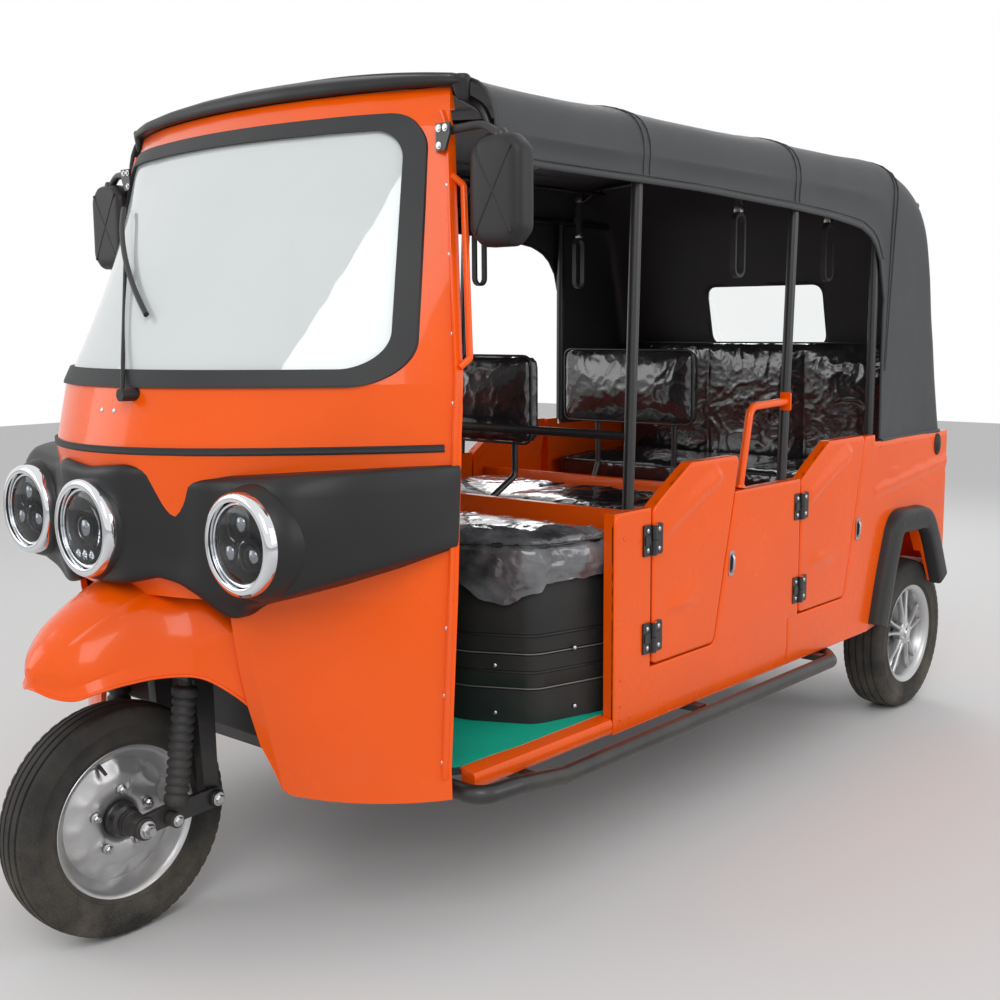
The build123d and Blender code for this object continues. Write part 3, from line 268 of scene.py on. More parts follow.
def rounded(outline, radius, steps=5):
    """Closed 2-D outline with its corners rounded."""
    count = len(outline)
    result = []
    for i in range(count):
        a, b, c = (Vector(outline[(i + k - 1) % count]) for k in range(3))
        u, v = (a - b), (c - b)
        reach = min(radius if not isinstance(radius, (list, tuple)) else radius[i], u.length * 0.49, v.length * 0.49)
        p, q = b + u.normalized() * reach, b + v.normalized() * reach
        for k in range(steps + 1):
            t = k / steps
            result.append(p * (1 - t) ** 2 + b * 2 * t * (1 - t) + q * t ** 2)
    return result


# ---------------------------------------------------------------- shapes
class Shape:
    """Mesh under construction, as vertices and faces."""

    def __init__(self):
        self.verts, self.faces = [], []

    def add(self, verts, faces):
        base = len(self.verts)
        self.verts += [Vector(v) for v in verts]
        self.faces += [tuple(base + i for i in f) for f in faces]
        return self

    def loft(self, rings, closed=True, caps=True, loop=False):
        """Skin through rings of the same number of points."""
        n, m = len(rings[0]), len(rings)
        verts = [v for ring in rings for v in ring]
        faces = []
        for i in range(m if loop else m - 1):
            j = (i + 1) % m
            for k in range(n if closed else n - 1):
                l = (k + 1) % n
                faces.append((i * n + k, i * n + l, j * n + l, j * n + k))
        if caps and closed and not loop:
            faces += [tuple(reversed(range(n))), tuple((m - 1) * n + k for k in range(n))]
        return self.add(verts, faces)

    def lathe(self, profile, centre, axis, steps=48, closed=False):
        """Turned piece: profile is (along the axis, radius); a closed one is a loop, an open one is capped."""
        axis = Vector(axis).normalized()
        side = axis.orthogonal().normalized()
        up = axis.cross(side)
        rings = []
        for k in range(steps):
            a = 2 * math.pi * k / steps
            out = side * math.cos(a) + up * math.sin(a)
            rings.append([Vector(centre) + axis * x + out * max(r, 1e-5) for x, r in profile])
        return self.loft(rings, closed=closed, caps=False, loop=True)

    def tube(self, points, radius, sides=12, closed=False, flat=1.0, up=None):
        """Round or flattened bar along a line. radius may be a list, one for each point."""
        points = [Vector(p) for p in points]
        count = len(points)
        radii = radius if isinstance(radius, (list, tuple)) else [radius] * count
        normal, rings = None, []
        for i, p in enumerate(points):
            if closed:
                tangent = (points[(i + 1) % count] - points[i - 1]).normalized()
            else:
                tangent = (points[min(i + 1, count - 1)] - points[max(i - 1, 0)]).normalized()
            if up is not None:
                normal = (Vector(up) - tangent * tangent.dot(Vector(up))).normalized()
            elif normal is None:
                normal = tangent.orthogonal().normalized()
            else:
                normal = (normal - tangent * tangent.dot(normal)).normalized()
            binormal = tangent.cross(normal)
            rings.append([p + (normal * math.cos(2 * math.pi * k / sides) * flat
                               + binormal * math.sin(2 * math.pi * k / sides)) * radii[i] for k in range(sides)])
        return self.loft(rings, closed=True, caps=not closed, loop=closed)

    def box(self, low, high):
        """Block between two corners."""
        (x0, y0, z0), (x1, y1, z1) = low, high
        verts = [(x, y, z) for z in (z0, z1) for y in (y0, y1) for x in (x0, x1)]
        return self.add(verts, [(0, 2, 3, 1), (4, 5, 7, 6), (0, 1, 5, 4), (2, 6, 7, 3), (0, 4, 6, 2), (1, 3, 7, 5)])

    def plate(self, outline, place, low, high):
        """Flat plate: place(u, v, w) gives the point for outline (u, v) at depth w."""
        rings = [[place(u, v, w) for u, v in outline] for w in (low, high)]
        return self.loft(rings)

    def bolt(self, centre, out, radius=0.006, height=0.004, washer=1.5):
        """Hexagon head on a washer."""
        out = Vector(out).normalized()
        self.lathe([(0, 0), (0, radius * washer), (height * 0.3, radius * washer), (height * 0.4, radius * 0.9)],
                   centre, out, steps=16)
        self.lathe([(height * 0.3, radius), (height * 0.85, radius), (height, radius * 0.8), (height, 0)], centre,
                   out, steps=6)
        return self

    def screw(self, centre, out, radius=0.006, height=0.0025):
        """Domed head."""
        profile = [(0, radius), (height * 0.4, radius * 0.97), (height * 0.8, radius * 0.7), (height, radius * 0.3),
                   (height, 0)]
        return self.lathe(profile, centre, out, steps=14)

    def mirrored(self):
        """Adds the same on the other side of the vehicle."""
        verts = [(-v.x, v.y, v.z) for v in self.verts]
        return self.add(verts, [tuple(reversed(f)) for f in self.faces])

    def moved(self, change):
        """The same shape with every point changed by a function."""
        other = Shape()
        return other.add([change(v) for v in self.verts], self.faces)

    def make(self, name, material, body="body", slot=None, smooth=35, bevel=0.0, replaces=(), subdivide=0):
        """The finished piece: a Blender object with its material, riding on its body."""
        mesh = bpy.data.meshes.new(name)
        mesh.from_pydata([tuple(v) for v in self.verts], [], self.faces)
        mesh.validate()
        work = bmesh.new()
        work.from_mesh(mesh)
        bmesh.ops.remove_doubles(work, verts=work.verts, dist=2e-5)
        bmesh.ops.recalc_face_normals(work, faces=work.faces)
        work.to_mesh(mesh)
        work.free()
        return settle(bpy.data.objects.new(name, mesh), material, body, slot, smooth, bevel, replaces, subdivide)


SLOTS = {"wrapped_vinyl": "vinyl", "loose_film": "clear_vinyl", "box_bead": "ribbed_plastic",
         "inner_black": "black_plastic", "reflector": "chrome", "plate": "black_plastic", "lamp_eye": "lamp_glass",
         "amber_lens": "red_lens"}


def settle(obj, material, body, slot=None, smooth=35, bevel=0.0, replaces=(), subdivide=0):
    """Gives a piece its material, shading, rounded edges and body."""
    if obj.name not in bpy.context.scene.collection.objects:
        bpy.context.scene.collection.objects.link(obj)
    obj.data.materials.clear()
    obj.data.materials.append(finish(material))
    obj.data.shade_smooth()
    if smooth < 180:
        obj.data.set_sharp_from_angle(angle=math.radians(smooth))
    if bevel:
        rounding = obj.modifiers.new("rounded edges", "BEVEL")
        rounding.width, rounding.segments, rounding.limit_method = bevel, 2, "ANGLE"
        rounding.angle_limit, rounding.harden_normals = math.radians(30), True
    if subdivide:
        fine = obj.modifiers.new("smooth surface", "SUBSURF")
        fine.levels = fine.render_levels = subdivide
    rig.ride(obj, body)
    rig.slot(obj, slot or SLOTS.get(material, material))
    if replaces:
        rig.replaces(obj, *replaces)
    return obj


def surface_of(*nodes):
    """Search tree over the faces of CAD nodes."""
    verts, faces = [], []
    for node in nodes:
        mesh = NODES[node].data
        base = len(verts)
        verts += [v.co.copy() for v in mesh.vertices]
        faces += [tuple(base + i for i in p.vertices) for p in mesh.polygons]
    return BVHTree.FromPolygons(verts, faces)


def hit(tree, origin, direction):
    """Where a ray meets a surface, and the way that surface faces."""
    place, normal, _, _ = tree.ray_cast(Vector(origin), Vector(direction).normalized())
    if place is None:
        raise RuntimeError(f"nothing lies from {tuple(origin)} along {tuple(direction)}")
    if normal.dot(Vector(direction)) > 0:
        normal = -normal
    return place, normal


# ---------------------------------------------------------------- shared effects
def new_group(name, inputs, outputs):
    """Empty shader group with named sockets: each input is (name, default), each output (name, kind)."""
    tree = bpy.data.node_groups.new(name, "ShaderNodeTree")
    for label, default in inputs:
        kind = "NodeSocketVector" if default is None else "NodeSocketFloat"
        socket = tree.interface.new_socket(name=label, in_out="INPUT", socket_type=kind)
        if default is not None:
            socket.default_value = default
    for label, kind in outputs:
        tree.interface.new_socket(name=label, in_out="OUTPUT", socket_type=kind)
    return tree, tree.nodes.new("NodeGroupInput"), tree.nodes.new("NodeGroupOutput")


def feed(tree, socket, value):
    """Gives a socket a number, or the link from another socket."""
    if isinstance(value, (int, float)):
        socket.default_value = value
    else:
        tree.links.new(value, socket)


def math_node(tree, operation, a, b=None, c=None, clamp=False):
    """Arithmetic on sockets or numbers."""
    node = tree.nodes.new("ShaderNodeMath")
    node.operation, node.use_clamp = operation, clamp
    for socket, value in zip(node.inputs, (a, b, c)):
        if value is not None:
            feed(tree, socket, value)
    return node.outputs[0]


def noise_node(tree, vector, scale, detail=3.0, roughness=0.55, kind="FBM"):
    """Cloudy pattern, as its value socket."""
    node = tree.nodes.new("ShaderNodeTexNoise")
    node.noise_type = kind
    node.inputs["Detail"].default_value = detail
    node.inputs["Roughness"].default_value = roughness
    tree.links.new(vector, node.inputs["Vector"])
    feed(tree, node.inputs["Scale"], scale)
    return node.outputs[0]


def range_node(tree, value, low, high, to_low=0.0, to_high=1.0):
    """Value moved from one range to another, held inside it."""
    node = tree.nodes.new("ShaderNodeMapRange")
    tree.links.new(value, node.inputs[0])
    for index, number in enumerate((low, high, to_low, to_high), start=1):
        feed(tree, node.inputs[index], number)
    return node.outputs[0]


def stretched(tree, vector, scale):
    """Coordinates stretched along the axes."""
    node = tree.nodes.new("ShaderNodeMapping")
    node.inputs["Scale"].default_value = scale
    tree.links.new(vector, node.inputs["Vector"])
    return node.outputs[0]


def build_groups():
    """The effects that several finishes share."""
    groups = {}
    tree, start, end = new_group("Tone drift", [("Where", None), ("Scale", 3.0)], [("Mask", "NodeSocketFloat")])
    value = noise_node(tree, start.outputs["Where"], start.outputs["Scale"], 4.0)
    tree.links.new(range_node(tree, value, 0.3, 0.7), end.inputs["Mask"])
    groups["drift"] = tree

    tree, start, end = new_group("Fine grain", [("Where", None), ("Scale", 900.0), ("Pitting", 0.5)],
                                 [("Height", "NodeSocketFloat")])
    fine = noise_node(tree, start.outputs["Where"], start.outputs["Scale"], 2.0)
    coarse = noise_node(tree, start.outputs["Where"], math_node(tree, "MULTIPLY", start.outputs["Scale"], 0.23), 3.0)
    pits = math_node(tree, "MULTIPLY", coarse, start.outputs["Pitting"])
    tree.links.new(math_node(tree, "ADD", fine, pits), end.inputs["Height"])
    groups["grain"] = tree

    tree, start, end = new_group("Road dust", [("Where", None), ("Top", 0.7), ("Amount", 0.5)],
                                 [("Mask", "NodeSocketFloat")])
    split = tree.nodes.new("ShaderNodeSeparateXYZ")
    tree.links.new(start.outputs["Where"], split.inputs[0])
    low = range_node(tree, split.outputs["Z"], start.outputs["Top"], 0.0)
    cloud = range_node(tree, noise_node(tree, start.outputs["Where"], 9.0, 6.0), 0.35, 0.75)
    specks = range_node(tree, noise_node(tree, start.outputs["Where"], 260.0, 2.0), 0.45, 0.75)
    mixed = math_node(tree, "MULTIPLY_ADD", specks, 0.35, cloud)
    low = math_node(tree, "MULTIPLY", low, low)
    mask = math_node(tree, "MULTIPLY", math_node(tree, "MULTIPLY", low, mixed), start.outputs["Amount"], clamp=True)
    tree.links.new(mask, end.inputs["Mask"])
    groups["dust"] = tree

    tree, start, end = new_group("Scuffs", [("Where", None), ("Scale", 30.0), ("Amount", 0.5)],
                                 [("Mask", "NodeSocketFloat")])
    long = stretched(tree, start.outputs["Where"], (1.0, 0.25, 1.0))
    lines = noise_node(tree, long, start.outputs["Scale"], 6.0, 0.7)
    where = range_node(tree, noise_node(tree, start.outputs["Where"], 4.0, 2.0), 0.5, 0.7)
    cut = range_node(tree, lines, 0.58, 0.66)
    mask = math_node(tree, "MULTIPLY", math_node(tree, "MULTIPLY", cut, where), start.outputs["Amount"], clamp=True)
    tree.links.new(mask, end.inputs["Mask"])
    groups["scuffs"] = tree

    tree, start, end = new_group("Weave", [("Where", None), ("Scale", 900.0)], [("Height", "NodeSocketFloat")])
    waves = []
    for direction in ((1.0, 0.15, 0.7), (0.15, 1.0, 0.7)):
        dot = tree.nodes.new("ShaderNodeVectorMath")
        dot.operation = "DOT_PRODUCT"
        tree.links.new(start.outputs["Where"], dot.inputs[0])
        dot.inputs[1].default_value = direction
        turns = math_node(tree, "MULTIPLY", dot.outputs["Value"], start.outputs["Scale"])
        waves.append(math_node(tree, "SINE", turns))
    tree.links.new(math_node(tree, "MULTIPLY_ADD", math_node(tree, "MULTIPLY", waves[0], waves[1]), 0.5, 0.5),
                   end.inputs["Height"])
    groups["weave"] = tree

    # Film creases: the first output is a mask for painted highlights along the film's creases, the second is the
    # crease relief for the bump.
    tree, start, end = new_group("Film creases", [("Where", None), ("Scale", 14.0)],
                                 [("Creases", "NodeSocketFloat"), ("Height", "NodeSocketFloat")])
    bent = tree.nodes.new("ShaderNodeVectorMath")
    bent.operation = "MULTIPLY_ADD"
    warp = tree.nodes.new("ShaderNodeTexNoise")
    warp.inputs["Scale"].default_value = 5.0
    warp.inputs["Detail"].default_value = 3.0
    tree.links.new(start.outputs["Where"], warp.inputs["Vector"])
    tree.links.new(warp.outputs["Color"], bent.inputs[0])
    bent.inputs[1].default_value = (0.16, 0.16, 0.16)
    tree.links.new(start.outputs["Where"], bent.inputs[2])
    ridge = noise_node(tree, stretched(tree, bent.outputs["Vector"], (1.0, 1.7, 1.2)), start.outputs["Scale"], 5.0,
                       0.62, "RIDGED_MULTIFRACTAL")
    # Painted highlight mask: crease ridges, in patches, where the creases would catch the light.
    patches = range_node(tree, noise_node(tree, start.outputs["Where"], 5.5, 3.0), 0.40, 0.62)
    crease = math_node(tree, "MULTIPLY", range_node(tree, ridge, 0.62, 1.5), patches, clamp=True)
    tree.links.new(crease, end.inputs["Creases"])
    tree.links.new(ridge, end.inputs["Height"])
    groups["creases"] = tree
    return groups


# ---------------------------------------------------------------- finishes
# Settings of each finish: its colour, drift (how far the tone wanders), grain and weave (scale, depth in metres),
# dust and scuffs (amounts), ribs, and the shader's own values by socket name.
FINISHES = {
    "orange_paint": dict(colour="orange", roughness=0.26, drift=0.05, grain=(260.0, 0.00003), dust=0.12, scuffs=0.10,
                         own={"Coat Weight": 0.3, "Coat Roughness": 0.05, "Specular IOR Level": 0.22}),
    "black_paint": dict(colour="frame", roughness=0.38, drift=0.3, grain=(500.0, 0.00004), dust=0.25, scuffs=0.25,
                        own={"Coat Weight": 0.2, "Coat Roughness": 0.2}),
    "black_plastic": dict(colour="plastic", roughness=0.44, drift=0.15, grain=(1500.0, 0.00005), dust=0.1, scuffs=0.15,
                          own={"Specular IOR Level": 0.35}),
    "ribbed_plastic": dict(colour="box", roughness=0.48, drift=0.2, grain=(900.0, 0.00008), dust=0.15, scuffs=0.3,
                           own={"Specular IOR Level": 0.35}),
    # Painted highlights: light strips along the seat box ledges.
    "box_bead": dict(colour="bead", roughness=0.4, drift=0.2, grain=(900.0, 0.00005), own={}),
    "rubber": dict(colour="rubber", roughness=0.6, drift=0.25, grain=(1200.0, 0.00006), dust=0.3, own={}),
    "tyre": dict(colour="tyre", roughness=0.72, drift=0.4, grain=(700.0, 0.00015), dust=0.4,
                 own={"Specular IOR Level": 0.35}),
    "chrome": dict(colour="chrome", roughness=0.05, metallic=1.0, drift=0.05, own={}),
    "bright_steel": dict(colour="zinc", roughness=0.28, metallic=1.0, drift=0.2, grain=(700.0, 0.00004), dust=0.2,
                         own={}),
    "silver_rim": dict(colour="rim", roughness=0.30, metallic=0.75, drift=0.12, grain=(800.0, 0.00003), dust=0.35,
                       own={"Coat Weight": 0.4, "Coat Roughness": 0.1}),
    "spring_steel": dict(colour="frame", roughness=0.55, drift=0.5, grain=(260.0, 0.0002), dust=0.8, own={}),
    "cast_metal": dict(colour="cast", roughness=0.5, metallic=0.8, drift=0.3, grain=(300.0, 0.0002), dust=0.6, own={}),
    "canvas": dict(colour="canvas", roughness=0.56, drift=0.16, drift_scale=2.2, weave=(2600.0, 0.00012),
                   grain=(120.0, 0.0004), dust=0.08, own={"Sheen Weight": 0.08, "Sheen Roughness": 0.5}),
    "strap": dict(colour="strap", roughness=0.55, drift=0.2, weave=(4200.0, 0.0002), own={"Sheen Weight": 0.2}),
    "mat": dict(colour="mat", roughness=0.5, drift=0.12, ribs=True, grain=(600.0, 0.0001), scuffs=0.15, own={}),
    "vinyl": dict(colour="vinyl", roughness=0.36, drift=0.25, grain=(420.0, 0.00025), own={"Coat Weight": 0.2}),
    "inner_black": dict(colour="inner", roughness=0.7, drift=0.2, grain=(900.0, 0.00005), own={}),
    "reflector": dict(colour="chrome", roughness=0.12, metallic=1.0, drift=0.05, grain=(90.0, 0.0003), own={}),
    "plate": dict(colour="plate", roughness=0.4, drift=0.05, grain=(900.0, 0.00003), own={}),
}
DUST_COLOUR = srgb(150, 140, 124)


def tint(name):
    """Colour that the user has set for a finish."""
    return tuple(getattr(bpy.context.scene.rickshaw_colours, name))


def shader(name):
    """New material with only its surface shader, and the coordinates that move with the piece."""
    material = bpy.data.materials.new(name)
    material.use_nodes = True
    tree = material.node_tree
    surface = tree.nodes["Principled BSDF"]
    where = tree.nodes.new("ShaderNodeTexCoord").outputs["Object"]
    return material, tree, surface, where


def placed(tree, group, where, **values):
    """A shared effect placed in a material with its own values."""
    node = tree.nodes.new("ShaderNodeGroup")
    node.node_tree = GROUPS[group]
    tree.links.new(where, node.inputs["Where"])
    for label, value in values.items():
        node.inputs[label].default_value = value
    return node


def mixed(tree, mask, a, b):
    """Colour between two, by a mask."""
    node = tree.nodes.new("ShaderNodeMix")
    node.data_type = "RGBA"
    tree.links.new(mask, node.inputs[0])
    for index, colour in ((6, a), (7, b)):
        if isinstance(colour, tuple):
            node.inputs[index].default_value = (*colour[:3], 1)
        else:
            tree.links.new(colour, node.inputs[index])
    return node.outputs[2]


def bumped(tree, surface, heights):
    """Relief on the shader's normal: heights is a list of (height socket, depth in metres)."""
    last = None
    for socket, depth in heights:
        bump = tree.nodes.new("ShaderNodeBump")
        bump.inputs["Distance"].default_value = depth
        bump.inputs["Strength"].default_value = 1.0
        tree.links.new(socket, bump.inputs["Height"])
        if last:
            tree.links.new(last, bump.inputs["Normal"])
        last = bump.outputs["Normal"]
    if last:
        tree.links.new(last, surface.inputs["Normal"])


def plain_finish(name, colour, roughness, own, metallic=0.0, drift=0.1, drift_scale=3.0, grain=None, weave=None,
                 dust=0.0, scuffs=0.0, ribs=False):
    """Opaque finish with wandering tone, dust near the ground, scuffs and relief."""
    material, tree, surface, where = shader(name)
    base = tint(colour)
    darker = tuple(c * (1 - drift) for c in base)
    lighter = tuple(min(c * (1 + drift * 0.6) + drift * 0.004, 1) for c in base)
    wander = placed(tree, "drift", where, Scale=drift_scale).outputs["Mask"]
    shade = mixed(tree, wander, darker, lighter)
    rough = range_node(tree, wander, 0.0, 1.0, roughness * 0.9, min(roughness * 1.12, 1.0))
    if scuffs:
        marks = placed(tree, "scuffs", where, Amount=scuffs, Scale=42.0).outputs["Mask"]
        shade = mixed(tree, marks, shade, tuple(c * 0.6 + 0.05 for c in base))
        rough = math_node(tree, "MULTIPLY_ADD", marks, 0.25, rough)
    if dust:
        film = placed(tree, "dust", where, Top=0.9, Amount=dust).outputs["Mask"]
        shade = mixed(tree, film, shade, DUST_COLOUR)
        rough = math_node(tree, "MULTIPLY_ADD", film, 0.4, rough, clamp=True)
    tree.links.new(shade, surface.inputs["Base Color"])
    tree.links.new(rough, surface.inputs["Roughness"])
    surface.inputs["Metallic"].default_value = metallic
    for label, value in own.items():
        surface.inputs[label].default_value = value
    heights = []
    if ribs:
        split = tree.nodes.new("ShaderNodeSeparateXYZ")
        tree.links.new(where, split.inputs[0])
        wave = math_node(tree, "SINE", math_node(tree, "MULTIPLY", split.outputs["X"], 620.0))
        heights.append((range_node(tree, wave, 0.2, 0.9), 0.0012))
    if weave:
        heights.append((placed(tree, "weave", where, Scale=weave[0]).outputs["Height"], weave[1]))
    if grain:
        heights.append((placed(tree, "grain", where, Scale=grain[0]).outputs["Height"], grain[1]))
    bumped(tree, surface, heights)
    return material


# The second argument is the painted sheen of the film, strength scales its painted crease highlights, depth is the
# bump depth.
def film_finish(name, veil, strength, depth):
    """Black vinyl under a wrapping of clear film; the light that the film's creases catch is painted into the colour
    as whitish highlights, over a painted lighter sheen.
    """
    material, tree, surface, where = shader(name)
    folds = placed(tree, "creases", where, Scale=17.0)
    fine = placed(tree, "creases", where, Scale=48.0)
    soft = placed(tree, "drift", where, Scale=7.0).outputs["Mask"]
    base = tint("vinyl")
    # Painted sheen: a lighter film tone, mixed in random patches over the black vinyl.
    shade = mixed(tree, soft, base, veil)
    # Painted highlights: the crease masks, scaled by strength, paint a near-white colour where the creases would catch
    # the light.
    weak = math_node(tree, "MULTIPLY", fine.outputs["Creases"], 0.55)
    creases = math_node(tree, "MULTIPLY", math_node(tree, "MAXIMUM", folds.outputs["Creases"], weak), strength,
                        clamp=True)
    shade = mixed(tree, creases, shade, srgb(205, 208, 212))
    tree.links.new(shade, surface.inputs["Base Color"])
    tree.links.new(range_node(tree, soft, 0.0, 1.0, 0.14, 0.3), surface.inputs["Roughness"])
    surface.inputs["Coat Weight"].default_value = 1.0
    surface.inputs["Coat Roughness"].default_value = 0.08
    bumped(tree, surface, [(folds.outputs["Height"], depth), (fine.outputs["Height"], depth * 0.3)])
    return material


def glass_finish(name, colour, metallic=0.0, roughness=0.02, ripple=0.0, ior=1.45, see_through=1.0):
    """Clear finish; a metallic share is a sun-reflecting layer."""
    material, tree, surface, where = shader(name)
    soft = placed(tree, "drift", where, Scale=2.5).outputs["Mask"]
    tree.links.new(mixed(tree, soft, tuple(c * 0.97 for c in colour), colour), surface.inputs["Base Color"])
    tree.links.new(range_node(tree, soft, 0.0, 1.0, roughness, roughness * 1.6 + 0.01), surface.inputs["Roughness"])
    surface.inputs["Metallic"].default_value = metallic
    surface.inputs["Transmission Weight"].default_value = see_through
    surface.inputs["IOR"].default_value = ior
    if ripple:
        bumped(tree, surface, [(noise_node(tree, where, 9.0, 2.0), ripple)])
    return material


def red_lens_finish(name, colour, pitch=420.0):
    """Moulded lens with fine ribs."""
    material, tree, surface, where = shader(name)
    soft = placed(tree, "drift", where, Scale=20.0).outputs["Mask"]
    tree.links.new(mixed(tree, soft, tuple(c * 0.75 for c in colour), colour), surface.inputs["Base Color"])
    surface.inputs["Roughness"].default_value = 0.12
    surface.inputs["Transmission Weight"].default_value = 0.35
    surface.inputs["Coat Weight"].default_value = 1.0
    split = tree.nodes.new("ShaderNodeSeparateXYZ")
    tree.links.new(where, split.inputs[0])
    bumped(tree, surface, [
        (math_node(tree, "SINE", math_node(tree, "MULTIPLY", split.outputs["Z"], pitch * 2)), 0.0008)])
    return material


def finish(name):
    """The material of that name, made when first asked for."""
    if name in MADE:
        return MADE[name]
    if name in FINISHES:
        made = plain_finish(name, **FINISHES[name])
    # The lighter colours passed here are the painted sheen of the film: mild on the wrapped seats, strong on the loose
    # film over the driver's seat, whose creases are painted brighter too.
    elif name == "wrapped_vinyl":
        made = film_finish(name, srgb(50, 51, 54), 1.0, 0.0024)
    elif name == "loose_film":
        made = film_finish(name, srgb(128, 130, 134), 3.0, 0.004)
    # Windscreen: little transmission and a near-white colour paint the sky's reflection into the glass.
    elif name == "glass":
        made = glass_finish(name, tint("glass"), metallic=0.08, roughness=0.03, see_through=0.12)
    elif name == "lamp_glass":
        made = glass_finish(name, (0.97, 0.98, 1.0), ior=1.3)
    elif name == "lamp_eye":
        made = glass_finish(name, (0.62, 0.66, 0.70), metallic=0.35, roughness=0.04, ior=1.5)
    elif name == "clear_vinyl":
        made = glass_finish(name, (0.9, 0.92, 0.92), roughness=0.06, ripple=0.006, ior=1.15)
    elif name == "red_lens":
        made = red_lens_finish(name, srgb(180, 14, 12))
    elif name == "amber_lens":
        made = red_lens_finish(name, srgb(235, 110, 10))
    else:
        raise RuntimeError(f"there is no finish named {name}")
    MADE[name] = made
    return made


GROUPS, MADE = {}, {}


# ---------------------------------------------------------------- settings
def colour_property(label, text, value):
    """Colour setting."""
    return FloatVectorProperty(name=label, description=text, default=value, size=3, min=0, max=1, subtype="COLOR")


class RickshawColours(bpy.types.PropertyGroup):
    """Colours of the finishes."""
    orange: colour_property("Body", "Enamel of the body panels", srgb(252, 93, 0))
    frame: colour_property("Frame", "Black paint of the tubes and chassis", srgb(28, 28, 30))
    plastic: colour_property("Mouldings", "Lamp panel, visor and mirrors", srgb(33, 33, 34))
    box: colour_property("Seat box", "Driver's seat box", srgb(32, 32, 32))
    # Light grey of the painted highlight strips along the seat box ledges.
    bead: colour_property("Seat box beads", "Light lines along the tiers of the seat box", srgb(108, 106, 103))
    rubber: colour_property("Rubber", "Seals, grips and pads", srgb(38, 39, 41))
    tyre: colour_property("Tyre", "Tread and side walls", srgb(38, 38, 38))
    chrome: colour_property("Chrome", "Lamp rings", srgb(225, 227, 230))
    zinc: colour_property("Zinc", "Bolts and pins", srgb(190, 190, 192))
    rim: colour_property("Rims", "Silver paint of the wheels", srgb(196, 197, 199))
    cast: colour_property("Castings", "Engine and brake castings", srgb(150, 150, 152))
    canvas: colour_property("Roof covering", "Coated cloth of the roof", srgb(47, 49, 53))
    strap: colour_property("Straps", "Hand straps", srgb(30, 30, 31))
    mat: colour_property("Mat", "Rubber mat on the driver's floor", srgb(2, 188, 156))
    vinyl: colour_property("Seats", "Seat vinyl", srgb(28, 28, 30))
    # Near-black of the lamp bowls and optic rings; on the door latches the same colour is painted shade in the
    # recesses.
    inner: colour_property("Inner black", "Insides that stay dark", srgb(20, 20, 21))
    plate: colour_property("Plate", "Blank registration plate", srgb(205, 206, 204))
    # Near-white windscreen colour: a painted reflection of the bright sky, not a tint.
    glass: colour_property("Windscreen", "Tint of the windscreen", srgb(226, 231, 232))


class RickshawSizes(bpy.types.PropertyGroup):
    """Sizes of the fittings, in metres."""
    bezel: FloatProperty(name="Lamp ring width", description="Width of the polished lamp rings", default=0.019,
                         min=0.01, max=0.03, unit="LENGTH")
    groove: FloatProperty(name="Tread groove", description="Depth of the grooves round a tyre", default=0.005,
                          min=0.002, max=0.008, unit="LENGTH")
    sag: FloatProperty(name="Roof sag", description="How far the roof covering drops between its bows", default=0.010,
                       min=0, max=0.03, unit="LENGTH")
    press: FloatProperty(name="Pressing height", description="Height of the creases pressed into the panels",
                         default=0.0035, min=0.001, max=0.006, unit="LENGTH")
    hem: FloatProperty(name="Hem radius", description="Radius of the rolled hem of the roof covering", default=0.007,
                       min=0.003, max=0.01, unit="LENGTH")
    cushion_swell: FloatProperty(name="Cushion swell", description="Farthest that a cushion's cover moves when filled",
                                 default=0.024, min=0.005, max=0.03, unit="LENGTH")
    voxel: FloatProperty(name="Cover mesh", description="Mesh size of the simulated covers", default=0.0115,
                         min=0.004, max=0.02, unit="LENGTH")


class PieceOperator:
    """What every operator of this file shares."""
    bl_options = {"REGISTER", "UNDO"}


# ---------------------------------------------------------------- stage
CAMERA_PLACE = Vector((2.4087, -2.8306, 1.3187))
CAMERA_YAW, CAMERA_PITCH, CAMERA_ROLL = 41.0677, 7.7749, -0.3747
CAMERA_LENS = 46.37


def camera_turn():
    """Orientation of the camera from its yaw, downward pitch and roll."""
    yaw, pitch, roll = (math.radians(a) for a in (CAMERA_YAW, CAMERA_PITCH, CAMERA_ROLL))
    ahead = Vector((-math.sin(yaw) * math.cos(pitch), math.cos(yaw) * math.cos(pitch), -math.sin(pitch)))
    right = ahead.cross(Vector((0, 0, 1))).normalized()
    up = right.cross(ahead)
    right, up = right * math.cos(roll) + up * math.sin(roll), up * math.cos(roll) - right * math.sin(roll)
    return Matrix((right, up, -ahead)).transposed()


def area_light(name, place, aim, size, power, colour=(1, 1, 1)):
    """Soft box pointed at a place."""
    data = bpy.data.lights.new(name, "AREA")
    data.shape, data.size, data.energy, data.color = "SQUARE", size, power, colour
    light = bpy.data.objects.new(name, data)
    light.location = place
    light.rotation_euler = (Vector(aim) - Vector(place)).to_track_quat("-Z", "Y").to_euler()
    bpy.context.scene.collection.objects.link(light)
    return light


